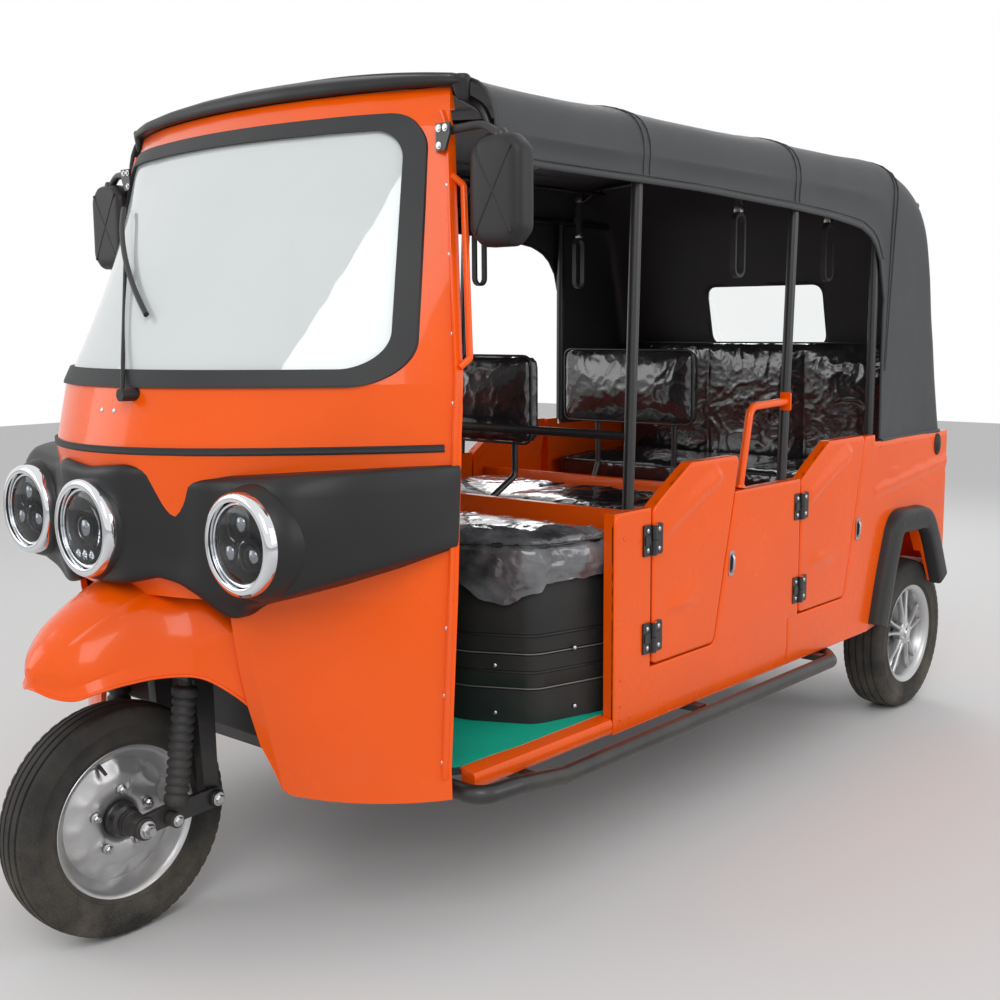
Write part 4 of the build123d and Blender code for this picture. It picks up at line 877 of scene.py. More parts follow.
class RICKSHAW_OT_stage(PieceOperator, bpy.types.Operator):
    """Camera, soft lights, pale floor and white background"""
    bl_idname = "rickshaw.stage"
    bl_label = "Stage"

    def execute(self, context):
        scene = context.scene
        scene.view_settings.view_transform = "Standard"
        data = bpy.data.cameras.new("view")
        data.lens, data.sensor_width = CAMERA_LENS, 36
        camera = bpy.data.objects.new("view", data)
        camera.matrix_world = Matrix.Translation(CAMERA_PLACE) @ camera_turn().to_4x4()
        scene.collection.objects.link(camera)
        scene.camera = camera

        world = bpy.data.worlds.new("soft sky")
        world.use_nodes = True
        tree = world.node_tree
        back = tree.nodes["Background"]
        back.inputs["Color"].default_value = (1, 1, 1, 1)
        path = tree.nodes.new("ShaderNodeLightPath")
        seen = math_node(tree, "ADD", path.outputs["Is Camera Ray"], path.outputs["Is Glossy Ray"], clamp=True)
        seen = math_node(tree, "ADD", seen, path.outputs["Is Transmission Ray"], clamp=True)
        where = tree.nodes.new("ShaderNodeTexCoord")
        split = tree.nodes.new("ShaderNodeSeparateXYZ")
        tree.links.new(where.outputs["Generated"], split.inputs[0])
        low = range_node(tree, split.outputs["Z"], -0.25, 0.35, 0.34, 0.62)
        tree.links.new(range_node(tree, seen, 0.0, 1.0, low, 1.0), back.inputs["Strength"])
        scene.world = world

        floor = Shape().add([(-14, -14, 0), (14, -14, 0), (14, 14, 0), (-14, 14, 0)], [(0, 1, 2, 3)])
        mesh = bpy.data.meshes.new("floor")
        mesh.from_pydata([tuple(v) for v in floor.verts], [], floor.faces)
        ground = bpy.data.objects.new("floor", mesh)
        scene.collection.objects.link(ground)
        material = bpy.data.materials.new("pale floor")
        material.use_nodes = True
        shade = material.node_tree.nodes["Principled BSDF"]
        shade.inputs["Base Color"].default_value = (0.78, 0.78, 0.78, 1)
        shade.inputs["Roughness"].default_value = 0.9
        shade.inputs["Specular IOR Level"].default_value = 0.1
        mesh.materials.append(material)
        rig.stage(ground)

        area_light("key", (3.6, -4.6, 4.6), (0.0, -0.6, 0.9), 3.2, 118)
        area_light("front fill", (-3.4, -4.2, 2.6), (0, -1.0, 0.9), 2.6, 46)
        area_light("side fill", (4.8, 1.2, 2.4), (0.5, 0.4, 0.8), 2.6, 44)
        area_light("back fill", (-2.6, 4.6, 3.4), (0, 1.0, 1.0), 2.6, 58)
        return {"FINISHED"}


# ---------------------------------------------------------------- finishes of the CAD pieces
NODE_FINISHES = {
    "driver_partition": "orange_paint",
    "backrest_frames": "black_paint",
}


class RICKSHAW_OT_cad_finishes(PieceOperator, bpy.types.Operator):
    """Finish of every CAD piece that stays in sight"""
    bl_idname = "rickshaw.cad_finishes"
    bl_label = "Finishes of the solid pieces"

    def execute(self, context):
        slots = {row["node"]: row["material_slot"] for row in frame["record"]["subparts"]}
        for node, obj in NODES.items():
            material = finish(NODE_FINISHES.get(node, slots[node]))
            obj.data.materials.clear()
            obj.data.materials.append(material)
        return {"FINISHED"}


# ---------------------------------------------------------------- wheels
TYRE_RADIUS, RIM_RADIUS = 0.257, 0.166
WHEELS = {
    # body: (centre, half width of the tyre, half width over the rim flanges, side that shows)
    "front_wheel": (mm(0, 0, 257), 0.054, 0.042, 1),
    "rear_left_wheel": (mm(566, 2700, 257), 0.069, 0.056, 1),
    "rear_right_wheel": (mm(-566, 2700, 257), 0.069, 0.056, -1),
}
AXIS = Vector((1, 0, 0))


def tread_radius(x, half, groove):
    """Radius of the tread: crowned, with grooves round it."""
    flat = half * 0.72
    radius = TYRE_RADIUS - 0.0004 - 0.005 * (x / flat) ** 2
    for place in (-0.56, -0.19, 0.19, 0.56):
        near = abs(x / half - place) * half
        if near < 0.0028:
            return radius - groove
    return radius


def tyre_shape(centre, half, bead, groove):
    """Tyre with ribs round the tread, nicked shoulders, and rings and ribs on its walls."""
    flat = half * 0.72
    stations = sorted({round(-flat + 2 * flat * k / 8, 5) for k in range(9)}
                      | {round(p * half + d, 5) for p in (-0.56, -0.19, 0.19, 0.56)
                         for d in (-0.0034, -0.0026, 0.0026, 0.0034)})
    wall = [(half - 0.004, TYRE_RADIUS - 0.022), (half - 0.0012, TYRE_RADIUS - 0.034),
            (half + 0.0002, TYRE_RADIUS - 0.040), (half + 0.0002, TYRE_RADIUS - 0.043),
            (half - 0.0012, TYRE_RADIUS - 0.045), (half - 0.002, TYRE_RADIUS - 0.054),
            (half - 0.005, TYRE_RADIUS - 0.066), (bead + 0.009, RIM_RADIUS + 0.018),
            (bead + 0.0085, RIM_RADIUS + 0.012), (bead + 0.006, RIM_RADIUS + 0.011),
            (bead + 0.004, RIM_RADIUS + 0.004), (bead - 0.008, RIM_RADIUS - 0.010)]
    steps = 240
    shape = Shape()
    rings = []
    for k, out in enumerate(round_axis(steps)):
        nick = 0.0022 if k % 4 == 0 else 0.0
        ring = [centre + AXIS * x + out * tread_radius(x, half, groove) for x in stations]
        shoulder = [(flat + 0.006, TYRE_RADIUS - 0.0075 - nick), (half - 0.0065, TYRE_RADIUS - 0.0135 - nick)]
        right = [centre + AXIS * x + out * r for x, r in shoulder + wall]
        left = [centre - AXIS * x + out * r for x, r in reversed(shoulder + wall)]
        rings.append(left + ring + right)
    return shape.loft(rings, closed=True, caps=False, loop=True)


def rim_barrel(shape, centre, bead):
    """Rolled channel under the tyre, open towards both sides."""
    profile = [(-bead - 0.001, RIM_RADIUS + 0.004), (-bead - 0.0035, RIM_RADIUS + 0.001),
               (-bead - 0.002, RIM_RADIUS - 0.004), (-bead + 0.006, RIM_RADIUS - 0.013),
               (-bead + 0.018, RIM_RADIUS - 0.016), (-0.012, RIM_RADIUS - 0.030),
               (0.012, RIM_RADIUS - 0.030), (bead - 0.018, RIM_RADIUS - 0.016), (bead - 0.006, RIM_RADIUS - 0.013),
               (bead + 0.002, RIM_RADIUS - 0.004), (bead + 0.0035, RIM_RADIUS + 0.001),
               (bead + 0.001, RIM_RADIUS + 0.004)]
    inner = [(x * 0.985, r + 0.003) for x, r in reversed(profile[1:-1])]
    shape.lathe(profile + inner, centre, AXIS, steps=96, closed=True)
    return shape


class RICKSHAW_OT_tyres(PieceOperator, bpy.types.Operator):
    """Three tyres with ribbed treads"""
    bl_idname = "rickshaw.tyres"
    bl_label = "Tyres"

    def execute(self, context):
        groove = context.scene.rickshaw_sizes.groove
        for body, (centre, half, bead, _) in WHEELS.items():
            node = body.replace("_wheel", "_tyre")
            tyre_shape(centre, half, bead, groove).make(node + "_tread", "tyre", body, smooth=40, replaces=[node])
        return {"FINISHED"}


LOBES = 12


def pressed_disc(shape, centre):
    """Pressed steel disc: dished, with a ring of shallow lobes near its edge and five raised stud seats."""
    rows = []
    radii = [0.040, 0.046, 0.052, 0.058, 0.066, 0.074, 0.082, 0.090, 0.097, 0.104, 0.111, 0.118, 0.124, 0.130, 0.136,
             0.1375]
    dish = [(0.040, 0.010), (0.052, 0.019), (0.066, 0.021), (0.082, 0.021), (0.097, 0.020), (0.111, 0.013),
            (0.124, 0.008), (0.1375, 0.004)]
    steps = 120
    for face, thickness in ((1, 0.0), (-1, 0.003)):
        for r in radii if face > 0 else reversed(radii):
            row = []
            for k in range(steps):
                a = 2 * math.pi * k / steps
                x = interpolate(dish, r)
                lobe = (0.5 + 0.5 * math.cos(a * LOBES)) ** 2
                x += 0.0045 * lobe * smooth_step(0.096, 0.108, r) * (1 - smooth_step(0.122, 0.134, r))
                seat = max(0.0, math.cos((a * 5 + math.pi) % (2 * math.pi) - math.pi)) ** 10
                x += 0.003 * seat * smooth_step(0.054, 0.062, r) * (1 - smooth_step(0.074, 0.084, r))
                row.append(centre + AXIS * (x - thickness) + outwards(a) * r)
            rows.append(row)
    return shape.loft(rows, closed=True, caps=False, loop=True)


class RICKSHAW_OT_front_rim(PieceOperator, bpy.types.Operator):
    """Pressed steel front wheel with its hub, studs and valve"""
    bl_idname = "rickshaw.front_rim"
    bl_label = "Front rim"

    def execute(self, context):
        body, centre = "front_wheel", WHEELS["front_wheel"][0]
        rim = Shape()
        rim_barrel(rim, centre, 0.042)
        pressed_disc(rim, centre)
        rim.make("front_rim_pressing", "silver_rim", body, smooth=50, replaces=["front_rim"])
        hub = Shape()
        hub.lathe([(-0.030, 0.0), (-0.030, 0.040), (-0.024, 0.045), (0.006, 0.045), (0.010, 0.041), (0.022, 0.040),
                   (0.026, 0.036), (0.040, 0.034), (0.044, 0.026), (0.072, 0.024), (0.076, 0.021), (0.088, 0.0205),
                   (0.089, 0.0098)], centre, AXIS, steps=40)
        for k in range(3):
            hub.lathe([(0.046 + k * 0.008, 0.024), (0.047 + k * 0.008, 0.027), (0.050 + k * 0.008, 0.027),
                       (0.051 + k * 0.008, 0.024)], centre, AXIS, steps=32)
        hub.lathe([(-0.088, 0.0098), (-0.087, 0.0205), (-0.076, 0.021), (-0.072, 0.024), (-0.034, 0.028),
                   (-0.030, 0.040)],
                  centre, AXIS, steps=40)
        hub.make("front_hub", "black_paint", body, smooth=40)
        drum = Shape().lathe([(-0.044, 0.030), (-0.043, 0.094), (-0.040, 0.100), (-0.022, 0.100), (-0.018, 0.097),
                              (-0.012, 0.040)],
                             centre, AXIS, steps=64)
        for out in round_axis(24):
            drum.tube([centre - AXIS * 0.040 + out * 0.1, centre - AXIS * 0.024 + out * 0.1], 0.0025, sides=6)
        drum.make("front_brake_drum", "cast_metal", body, smooth=40)
        studs = Shape()
        for out in round_axis(5, math.radians(18)):
            place = centre + out * 0.068 + AXIS * 0.0235
            studs.bolt(place, AXIS, 0.0085, 0.013, 1.35)
            studs.tube([place, place + AXIS * 0.019], 0.0042, sides=10)
        studs.make("front_wheel_nuts", "bright_steel", body, smooth=30)
        valve = Shape()
        out = outwards(1.9)
        valve.tube([centre + out * 0.140 + AXIS * 0.004, centre + out * 0.132 + AXIS * 0.016,
                    centre + out * 0.118 + AXIS * 0.030],
                   [0.0055, 0.0045, 0.0038], sides=10)
        valve.make("front_valve", "rubber", body)
        return {"FINISHED"}


def alloy_spoke(shape, centre, side, middle, lean):
    """One of a pair of slender spokes, deep at the boss and thin at the rim."""
    rings = []
    for t in (0, 0.12, 0.3, 0.5, 0.7, 0.85, 0.95, 1.0):
        r = between(0.026, 0.1475, t)
        turn = middle + lean * between(0.10, math.radians(11.5), smooth_step(0, 1, t))
        offset = lean * between(0.006, 0.0, t)
        width = interpolate([(0, 0.0085), (0.3, 0.0052), (0.7, 0.0046), (0.92, 0.0056), (1, 0.0095)], t)
        face = interpolate([(0, 0.049), (0.15, 0.0475), (0.6, 0.041), (1, 0.037)], t)
        depth = interpolate([(0, 0.024), (0.6, 0.014), (1, 0.016)], t)
        radial = outwards(turn)
        across = Vector((0, -math.sin(turn), math.cos(turn)))
        base = centre + radial * r + across * offset
        section = [(-width, face - depth), (-width * 1.15, face - 0.004), (-width * 0.72, face), (0, face + 0.0008),
                   (width * 0.72, face), (width * 1.15, face - 0.004), (width, face - depth)]
        rings.append([base + across * u + AXIS * (x * side) for u, x in section])
    return shape.loft(rings)


class RICKSHAW_OT_rear_rims(PieceOperator, bpy.types.Operator):
    """Alloy rear wheels: five pairs of spokes, a boss with its cap, and bolts"""
    bl_idname = "rickshaw.rear_rims"
    bl_label = "Rear rims"

    def execute(self, context):
        for name in ("rear_left", "rear_right"):
            body = name + "_wheel"
            centre, _, bead, side = WHEELS[body]
            rim = Shape()
            rim_barrel(rim, centre, bead)
            lip = [(0.036, 0.1445), (0.046, 0.1475), (0.0535, 0.154), (0.0575, 0.160), (0.0585, 0.165),
                   (0.0560, 0.168), (0.0540, 0.166), (0.050, 0.158), (0.040, 0.152), (0.034, 0.150)]
            rim.lathe([(x * side, r) for x, r in lip], centre, AXIS, steps=120, closed=True)
            for k in range(5):
                middle = 2 * math.pi * k / 5 + math.pi / 2
                for lean in (-1, 1):
                    alloy_spoke(rim, centre, side, middle, lean)
            boss = [(0.018, 0.0), (0.018, 0.038), (0.044, 0.040), (0.049, 0.036), (0.051, 0.030), (0.0515, 0.027)]
            rim.lathe([(x * side, r) for x, r in boss], centre, AXIS, steps=60)
            rim.lathe([(x * side, r) for x, r in [(0.0515, 0.027), (0.0535, 0.025), (0.055, 0.0)]], centre, AXIS,
                      steps=60)
            rim.make(name + "_alloy_rim", "silver_rim", body, smooth=38, replaces=[name + "_rim"])
            bolts = Shape()
            for out in round_axis(4, 0.4):
                bolts.bolt(centre + out * 0.0325 + AXIS * (0.0495 * side), AXIS * side, 0.0035, 0.004, 1.2)
            cap = [(0.0545, 0.0185), (0.0575, 0.0175), (0.0595, 0.012), (0.060, 0.0)]
            bolts.lathe([(x * side, r) for x, r in cap], centre, AXIS, steps=40)
            bolts.make(name + "_wheel_cap", "chrome", body, smooth=35)
            drum = [(-0.030, 0.040), (-0.029, 0.096), (-0.020, 0.102), (0.002, 0.102), (0.006, 0.097), (0.010, 0.030)]
            Shape().lathe([(x * side, r) for x, r in drum], centre, AXIS, steps=72).make(
                name + "_brake_drum", "cast_metal", body, smooth=40)
        return {"FINISHED"}


# ---------------------------------------------------------------- front suspension
class RICKSHAW_OT_front_suspension(PieceOperator, bpy.types.Operator):
    """Booted shock absorbers with their caps, and forged links with their nuts"""
    bl_idname = "rickshaw.front_suspension"
    bl_label = "Front suspension"

    def execute(self, context):
        foot, head = mm(122, 66, 262), mm(122, 112, 588)
        axis = (head - foot).normalized()
        length = (head - foot).length
        unit = Shape()
        profile = [(0.030, 0.0), (0.030, 0.020), (0.036, 0.026), (0.052, 0.027)]
        folds = 11
        low, high = 0.058, length - 0.062
        pitch = (high - low) / folds
        for k in range(folds):
            start = between(low, high, k / folds)
            profile += [(start, 0.0215), (start + pitch * 0.28, 0.0265), (start + pitch * 0.62, 0.0265),
                        (start + pitch * 0.92, 0.0215)]
        profile += [(length - 0.058, 0.028), (length - 0.046, 0.029), (length - 0.040, 0.026), (length - 0.036, 0.014),
                    (length - 0.004, 0.0125), (length - 0.004, 0.0)]
        unit.lathe(profile, foot, axis, steps=40)
        unit.lathe([(-0.012, 0.0), (-0.012, 0.017), (0.012, 0.017), (0.012, 0.0)], foot, AXIS, steps=28)
        unit.mirrored().make("shock_absorber_boots", "rubber", "steering", smooth=50,
                             replaces=["front_shock_absorbers"])

        link = Shape()
        x0, x1 = 0.093, 0.107
        outline = rounded([(-0.024, 0.236), (-0.024, 0.280), (0.050, 0.290), (0.180, 0.296), (0.208, 0.292),
                           (0.208, 0.252), (0.180, 0.250), (0.060, 0.244)], 0.016)
        link.plate(outline, on_side, x0, x1)
        link.lathe([(0, 0.0), (0, 0.026), (0.008, 0.024), (0.008, 0.0)], at(x1, 0, 0.257), AXIS, steps=32)
        link.tube([at(x1, 0.066, 0.262), at(0.136, 0.066, 0.262)], 0.0075)
        link.lathe([(0, 0.0), (0, 0.020), (0.010, 0.018), (0.010, 0.0)], at(x1, 0.186, 0.272), AXIS, steps=28)
        link.mirrored().make("forged_links", "black_paint", "steering", smooth=35, bevel=0.0015,
                             replaces=["front_link_arms"])

        nuts = Shape()
        nuts.bolt(at(0.1155, 0, 0.257), AXIS, 0.0155, 0.013, 1.25)
        nuts.tube([at(0.115, 0, 0.257), at(0.1385, 0, 0.257)], 0.0085, sides=18)
        nuts.bolt(at(0.1345, 0.066, 0.262), AXIS, 0.010, 0.009, 1.3)
        nuts.bolt(at(0.1175, 0.186, 0.272), AXIS, 0.011, 0.010, 1.4)
        nuts.mirrored().make("suspension_nuts", "bright_steel", "steering", smooth=30)

        top = Shape()
        top.bolt(mm(122, 112, 606), (0, 0, 1), 0.008, 0.010, 1.6)
        top.lathe([(-0.006, 0.0), (-0.006, 0.016), (0.0, 0.017), (0.002, 0.0)], mm(122, 112, 600) - axis * 0.012,
                  axis, steps=24)
        top.mirrored().make("shock_absorber_caps", "bright_steel", "steering", smooth=30)
        return {"FINISHED"}


# ---------------------------------------------------------------- lamps and nose
LAMP_HOLE = 0.097            # radius cut from the panel round each lamp
LAMPS = (
    # name, middle of the ring's front face
    ("centre", mm(0, -55, 901)),
    ("left", mm(398, 40, 895)),
    ("right", mm(-398, 40, 895)),
)
RING_RADIUS, RING_DEPTH = 0.1045, 0.050
BACKWARDS = Vector((0, 1, 0))


def lamp_ring(shape, place, width):
    """Polished bezel: a rolled front edge, a flared outer wall and a return to the lens."""
    r = RING_RADIUS
    profile = [(0.0015, r - width), (0.0, r - width + 0.003), (0.0005, r - 0.008), (0.003, r - 0.003),
               (0.008, r - 0.0004), (0.020, r), (0.034, r - 0.001), (0.040, r - 0.004), (0.044, r - 0.004),
               (RING_DEPTH + 0.010, r - 0.006), (RING_DEPTH + 0.010, r - 0.012), (0.016, r - width + 0.001),
               (0.010, r - width)]
    shape.lathe(profile, place, BACKWARDS, steps=96, closed=True)


def lamp_lens(shape, place, width):
    """Domed cover glass."""
    r = RING_RADIUS - width + 0.001
    outer = [(0.012, r), (0.0075, r * 0.9), (0.004, r * 0.7), (0.0015, r * 0.4), (0.0008, 0.0)]
    inner = [(0.0028, 0.0), (0.0035, r * 0.4), (0.006, r * 0.7), (0.0095, r * 0.9), (0.014, r)]
    shape.lathe(outer + inner, place, BACKWARDS, steps=72)


def projector(shape, eye, place, radius):
    """Round optic: a housing ring and a bulging eye."""
    shape.lathe([(0.012, radius * 1.22), (0.009, radius * 1.20), (0.008, radius * 1.08), (0.012, radius),
                 (0.034, radius * 0.96), (0.036, radius * 1.2)], place, BACKWARDS, steps=40, closed=True)
    eye.lathe([(0.016, radius * 0.98), (0.010, radius * 0.8), (0.007, radius * 0.5), (0.006, 0.0)], place, BACKWARDS,
              steps=40)


class RICKSHAW_OT_headlamps(PieceOperator, bpy.types.Operator):
    """Three headlamps: chrome rings, cover glasses, optics, reflectors and bowls"""
    bl_idname = "rickshaw.headlamps"
    bl_label = "Headlamps"

    def execute(self, context):
        width = context.scene.rickshaw_sizes.bezel
        rings, lenses, trims, eyes, bright, bowls = Shape(), Shape(), Shape(), Shape(), Shape(), Shape()
        inside = RING_RADIUS - width
        for name, place in LAMPS:
            lamp_ring(rings, place, width)
            lamp_lens(lenses, place + BACKWARDS * 0.004, width)
            bright.lathe([(0.014, inside), (0.011, inside - 0.003), (0.012, inside - 0.007), (0.017, inside - 0.010),
                          (0.022, inside - 0.006), (0.022, inside)], place, BACKWARDS, steps=72, closed=True)
            bowls.lathe([(0.018, inside - 0.002), (0.030, inside - 0.010), (0.052, inside * 0.55), (0.058, 0.0)],
                        place, BACKWARDS, steps=64)
            if name == "centre":
                bright.lathe([(0.020, 0.070), (0.030, 0.058), (0.044, 0.044), (0.050, 0.030)],
                             place, BACKWARDS, steps=64)
                projector(trims, eyes, place + Vector((0, 0.008, 0.0)), 0.030)
                for k in range(3):
                    spot = place + Vector((0.024 * (k - 1), 0.014, -0.054))
                    bright.lathe([(0.0, 0.010), (0.010, 0.006), (0.012, 0.0)], spot, BACKWARDS, steps=20)
            else:
                for a, radius in ((90, 0.026), (210, 0.025), (330, 0.025)):
                    turn = math.radians(a)
                    spot = place + Vector((math.cos(turn) * 0.038, 0.010, math.sin(turn) * 0.038))
                    projector(trims, eyes, spot, radius)
                    bright.lathe([(0.010, radius * 1.42), (0.006, radius * 1.36), (0.010, radius * 1.24),
                                  (0.030, radius * 1.24)],
                                 spot, BACKWARDS, steps=40)
                bowls.plate(rounded([(-0.055, -0.010), (0.055, -0.010), (0.055, 0.006), (-0.055, 0.006)], 0.004),
                            lambda u, v, w, p=place: p + Vector((u, w, v)), 0.026, 0.032)
        rings.make("headlamp_bezels", "chrome", smooth=50, replaces=["headlamp_rings"])
        lenses.make("headlamp_glasses", "lamp_glass", smooth=60, replaces=["headlamps"])
        bright.make("headlamp_reflectors", "reflector", slot="chrome", smooth=60)
        trims.make("headlamp_optic_rings", "inner_black", slot="black_plastic", smooth=50)
        eyes.make("headlamp_eyes", "lamp_eye", slot="lamp_glass", smooth=60)
        bowls.make("headlamp_bowls", "inner_black", slot="black_plastic", smooth=60)
        return {"FINISHED"}


# Face of the lamp panel in plan, as (x, station), and in front view, as (x, height).
PANEL_FRONT = [(0, -26), (105, -24), (150, 2), (200, 30), (262, 52), (310, 70), (400, 84), (470, 98), (520, 135),
               (568, 205), (612, 318), (640, 396)]
PANEL_OUTLINE = [(0, 1030), (60, 1036), (112, 1040), (165, 1034), (205, 1014), (245, 1012), (320, 1021), (430, 1028),
                 (548, 1034), (637, 1036), (638, 868), (560, 828), (480, 795), (400, 768), (352, 754), (330, 734),
                 (312, 725), (292, 727), (268, 744), (240, 772), (210, 792), (160, 806), (100, 790), (50, 784),
                 (0, 784)]


def both_sides(half):
    """Closed outline from its right half, which starts and ends on the centre line."""
    return [(x, y) for x, y in half] + [(-x, y) for x, y in reversed(half) if x > 0]


def fine_outline(outline, step):
    """The outline with more points on its long runs."""
    result = []
    count = len(outline)
    for i in range(count):
        a, b = Vector(outline[i]), Vector(outline[(i + 1) % count])
        pieces = max(1, int((b - a).length / step))
        result += [a.lerp(b, k / pieces) for k in range(pieces)]
    return result


def inside(outline, p):
    """Whether a point lies inside a closed outline."""
    result, count = False, len(outline)
    for i in range(count):
        a, b = outline[i], outline[(i + 1) % count]
        if (a[1] > p[1]) != (b[1] > p[1]) and p[0] < (b[0] - a[0]) * (p[1] - a[1]) / (b[1] - a[1]) + a[0]:
            result = not result
    return result


def edge_distance(outline, p):
    """Distance from a point to a closed outline."""
    best, count = 1e9, len(outline)
    px, py = p[0], p[1]
    for i in range(count):
        ax, ay = outline[i][0], outline[i][1]
        bx, by = outline[(i + 1) % count][0], outline[(i + 1) % count][1]
        dx, dy = bx - ax, by - ay
        t = ((px - ax) * dx + (py - ay) * dy) / max(dx * dx + dy * dy, 1e-12)
        t = 0 if t < 0 else 1 if t > 1 else t
        best = min(best, (px - ax - dx * t) ** 2 + (py - ay - dy * t) ** 2)
    return math.sqrt(best)


def pressed_sheet(outline, place, step, roll):
    """Sheet pressed over a form, and its fine border. outline is in (u, v) metres; place(u, v, edge) gives the point,
    where edge is the distance to the outline. Extra points lie along the roll, where the border turns down."""
    border = fine_outline(outline, step)
    count = len(border)
    points = [Vector((p[0], p[1])) for p in border]
    edges = [(i, (i + 1) % count) for i in range(count)]
    low = (min(p[0] for p in border), min(p[1] for p in border))
    high = (max(p[0] for p in border), max(p[1] for p in border))
    for share in (0.18, 0.5, 1.0):
        for i in range(0, count):
            a, b, c = Vector(border[i - 1]), Vector(border[i]), Vector(border[(i + 1) % count])
            run = (c - a).normalized()
            inward = Vector((-run.y, run.x))
            q = b + inward * roll * share
            if not inside(border, q):
                q = b - inward * roll * share
            if inside(border, q) and abs(edge_distance(border, q) - roll * share) < roll * 0.12:
                points.append(q)
    rows, cols = int((high[1] - low[1]) / step) + 1, int((high[0] - low[0]) / step) + 1
    for r in range(rows + 1):
        for c in range(cols + 1):
            q = Vector((low[0] + (c + 0.5 * (r % 2)) * step, low[1] + r * step))
            if inside(border, q) and edge_distance(border, q) > roll * 1.35:
                points.append(q)
    flat, _, faces, _, _, _ = delaunay_2d_cdt(points, edges, [], 1, 1e-6)
    shape = Shape()
    shape.add([place(p.x, p.y, edge_distance(border, p)) for p in flat], list(faces))
    return shape, border


def rolled(edge, roll):
    """How far the face falls back at a distance from the border, on a quarter round."""
    if edge >= roll:
        return 0.0
    share = 1 - edge / roll
    return roll * (1 - math.sqrt(max(0.0, 1 - share * share)))


class RICKSHAW_OT_lamp_panel(PieceOperator, bpy.types.Operator):
    """Moulded black panel round the headlamps, with a brow over the centre lamp"""
    bl_idname = "rickshaw.lamp_panel"
    bl_label = "Lamp panel"

    def execute(self, context):
        outline = [(x / 1000, z / 1000) for x, z in both_sides(PANEL_OUTLINE)]
        outline = [tuple(p) for p in rounded(outline, 0.012, 2)]
        front = [(p.x, p.y) for p in spline([(x, y, 0) for x, y in PANEL_FRONT], 6)]

        def place(x, z, edge):
            ax = abs(x)
            station = interpolate(front, ax * 1000) / 1000 - AXLE_SETBACK
            brow = math.exp(-(ax / 0.105) ** 4) * smooth_step(0.955, 1.010, z)
            station -= 0.012 * brow
            cheek = smooth_step(0.40, 0.50, ax) * (1 - smooth_step(0.60, 0.66, ax))
            station -= 0.016 * cheek * math.sin(min(max((z - 0.80) / 0.22, 0), 1) * math.pi)
            waist = math.exp(-((ax - 0.205) / 0.05) ** 2) * smooth_step(0.78, 0.86, z)
            station += 0.010 * waist
            fold = smooth_step(1.000, 1.030, z) * smooth_step(0.24, 0.30, ax)
            station += 0.012 * fold
            low = 1 - smooth_step(0.735, 0.80, z)
            station += 0.018 * low
            station += rolled(edge, 0.016) * 1.15
            return Vector((x, station, z))

        sheet, border = pressed_sheet(outline, place, 0.0125, 0.016)
        rim = Shape()
        rows = []
        cowl = surface_of("front_cowl", "front_mudguard")
        for back in (0.0, 1.0):
            row = []
            for x, z in border:
                point = place(x, z, 0.0)
                if back:
                    behind = cowl.ray_cast(point + Vector((0, -0.03, 0)), Vector((0, 1, 0)))[0]
                    limit = pillar_station(z) - AXLE_SETBACK - 0.003
                    reach = max(point.y + 0.004, (behind.y if behind else point.y + 0.06) + 0.002)
                    point = Vector((x, max(min(reach, limit), point.y), z))
                row.append(point)
            rows.append(row)
        rim.loft(rows, caps=False)
        sheet.add(rim.verts, rim.faces)
        holes = [(p.x, p.z) for _, p in LAMPS]
        keep = []
        for face in sheet.faces:
            middle = sum((sheet.verts[i] for i in face), Vector()) / len(face)
            if all(math.hypot(middle.x - x, middle.z - z) > LAMP_HOLE for x, z in holes):
                keep.append(face)
        sheet.faces = keep
        for _, p in LAMPS:
            sheet.lathe([(0.006, RING_RADIUS - 0.004), (0.018, RING_RADIUS + 0.006), (0.040, RING_RADIUS + 0.014),
                         (0.075, RING_RADIUS + 0.016), (0.075, RING_RADIUS - 0.010), (0.030, RING_RADIUS - 0.010)],
                        p + BACKWARDS * 0.012, BACKWARDS, steps=64, closed=True)
        sheet.make("lamp_panel_moulding", "black_plastic", smooth=38, replaces=["lamp_panel"])
        return {"FINISHED"}


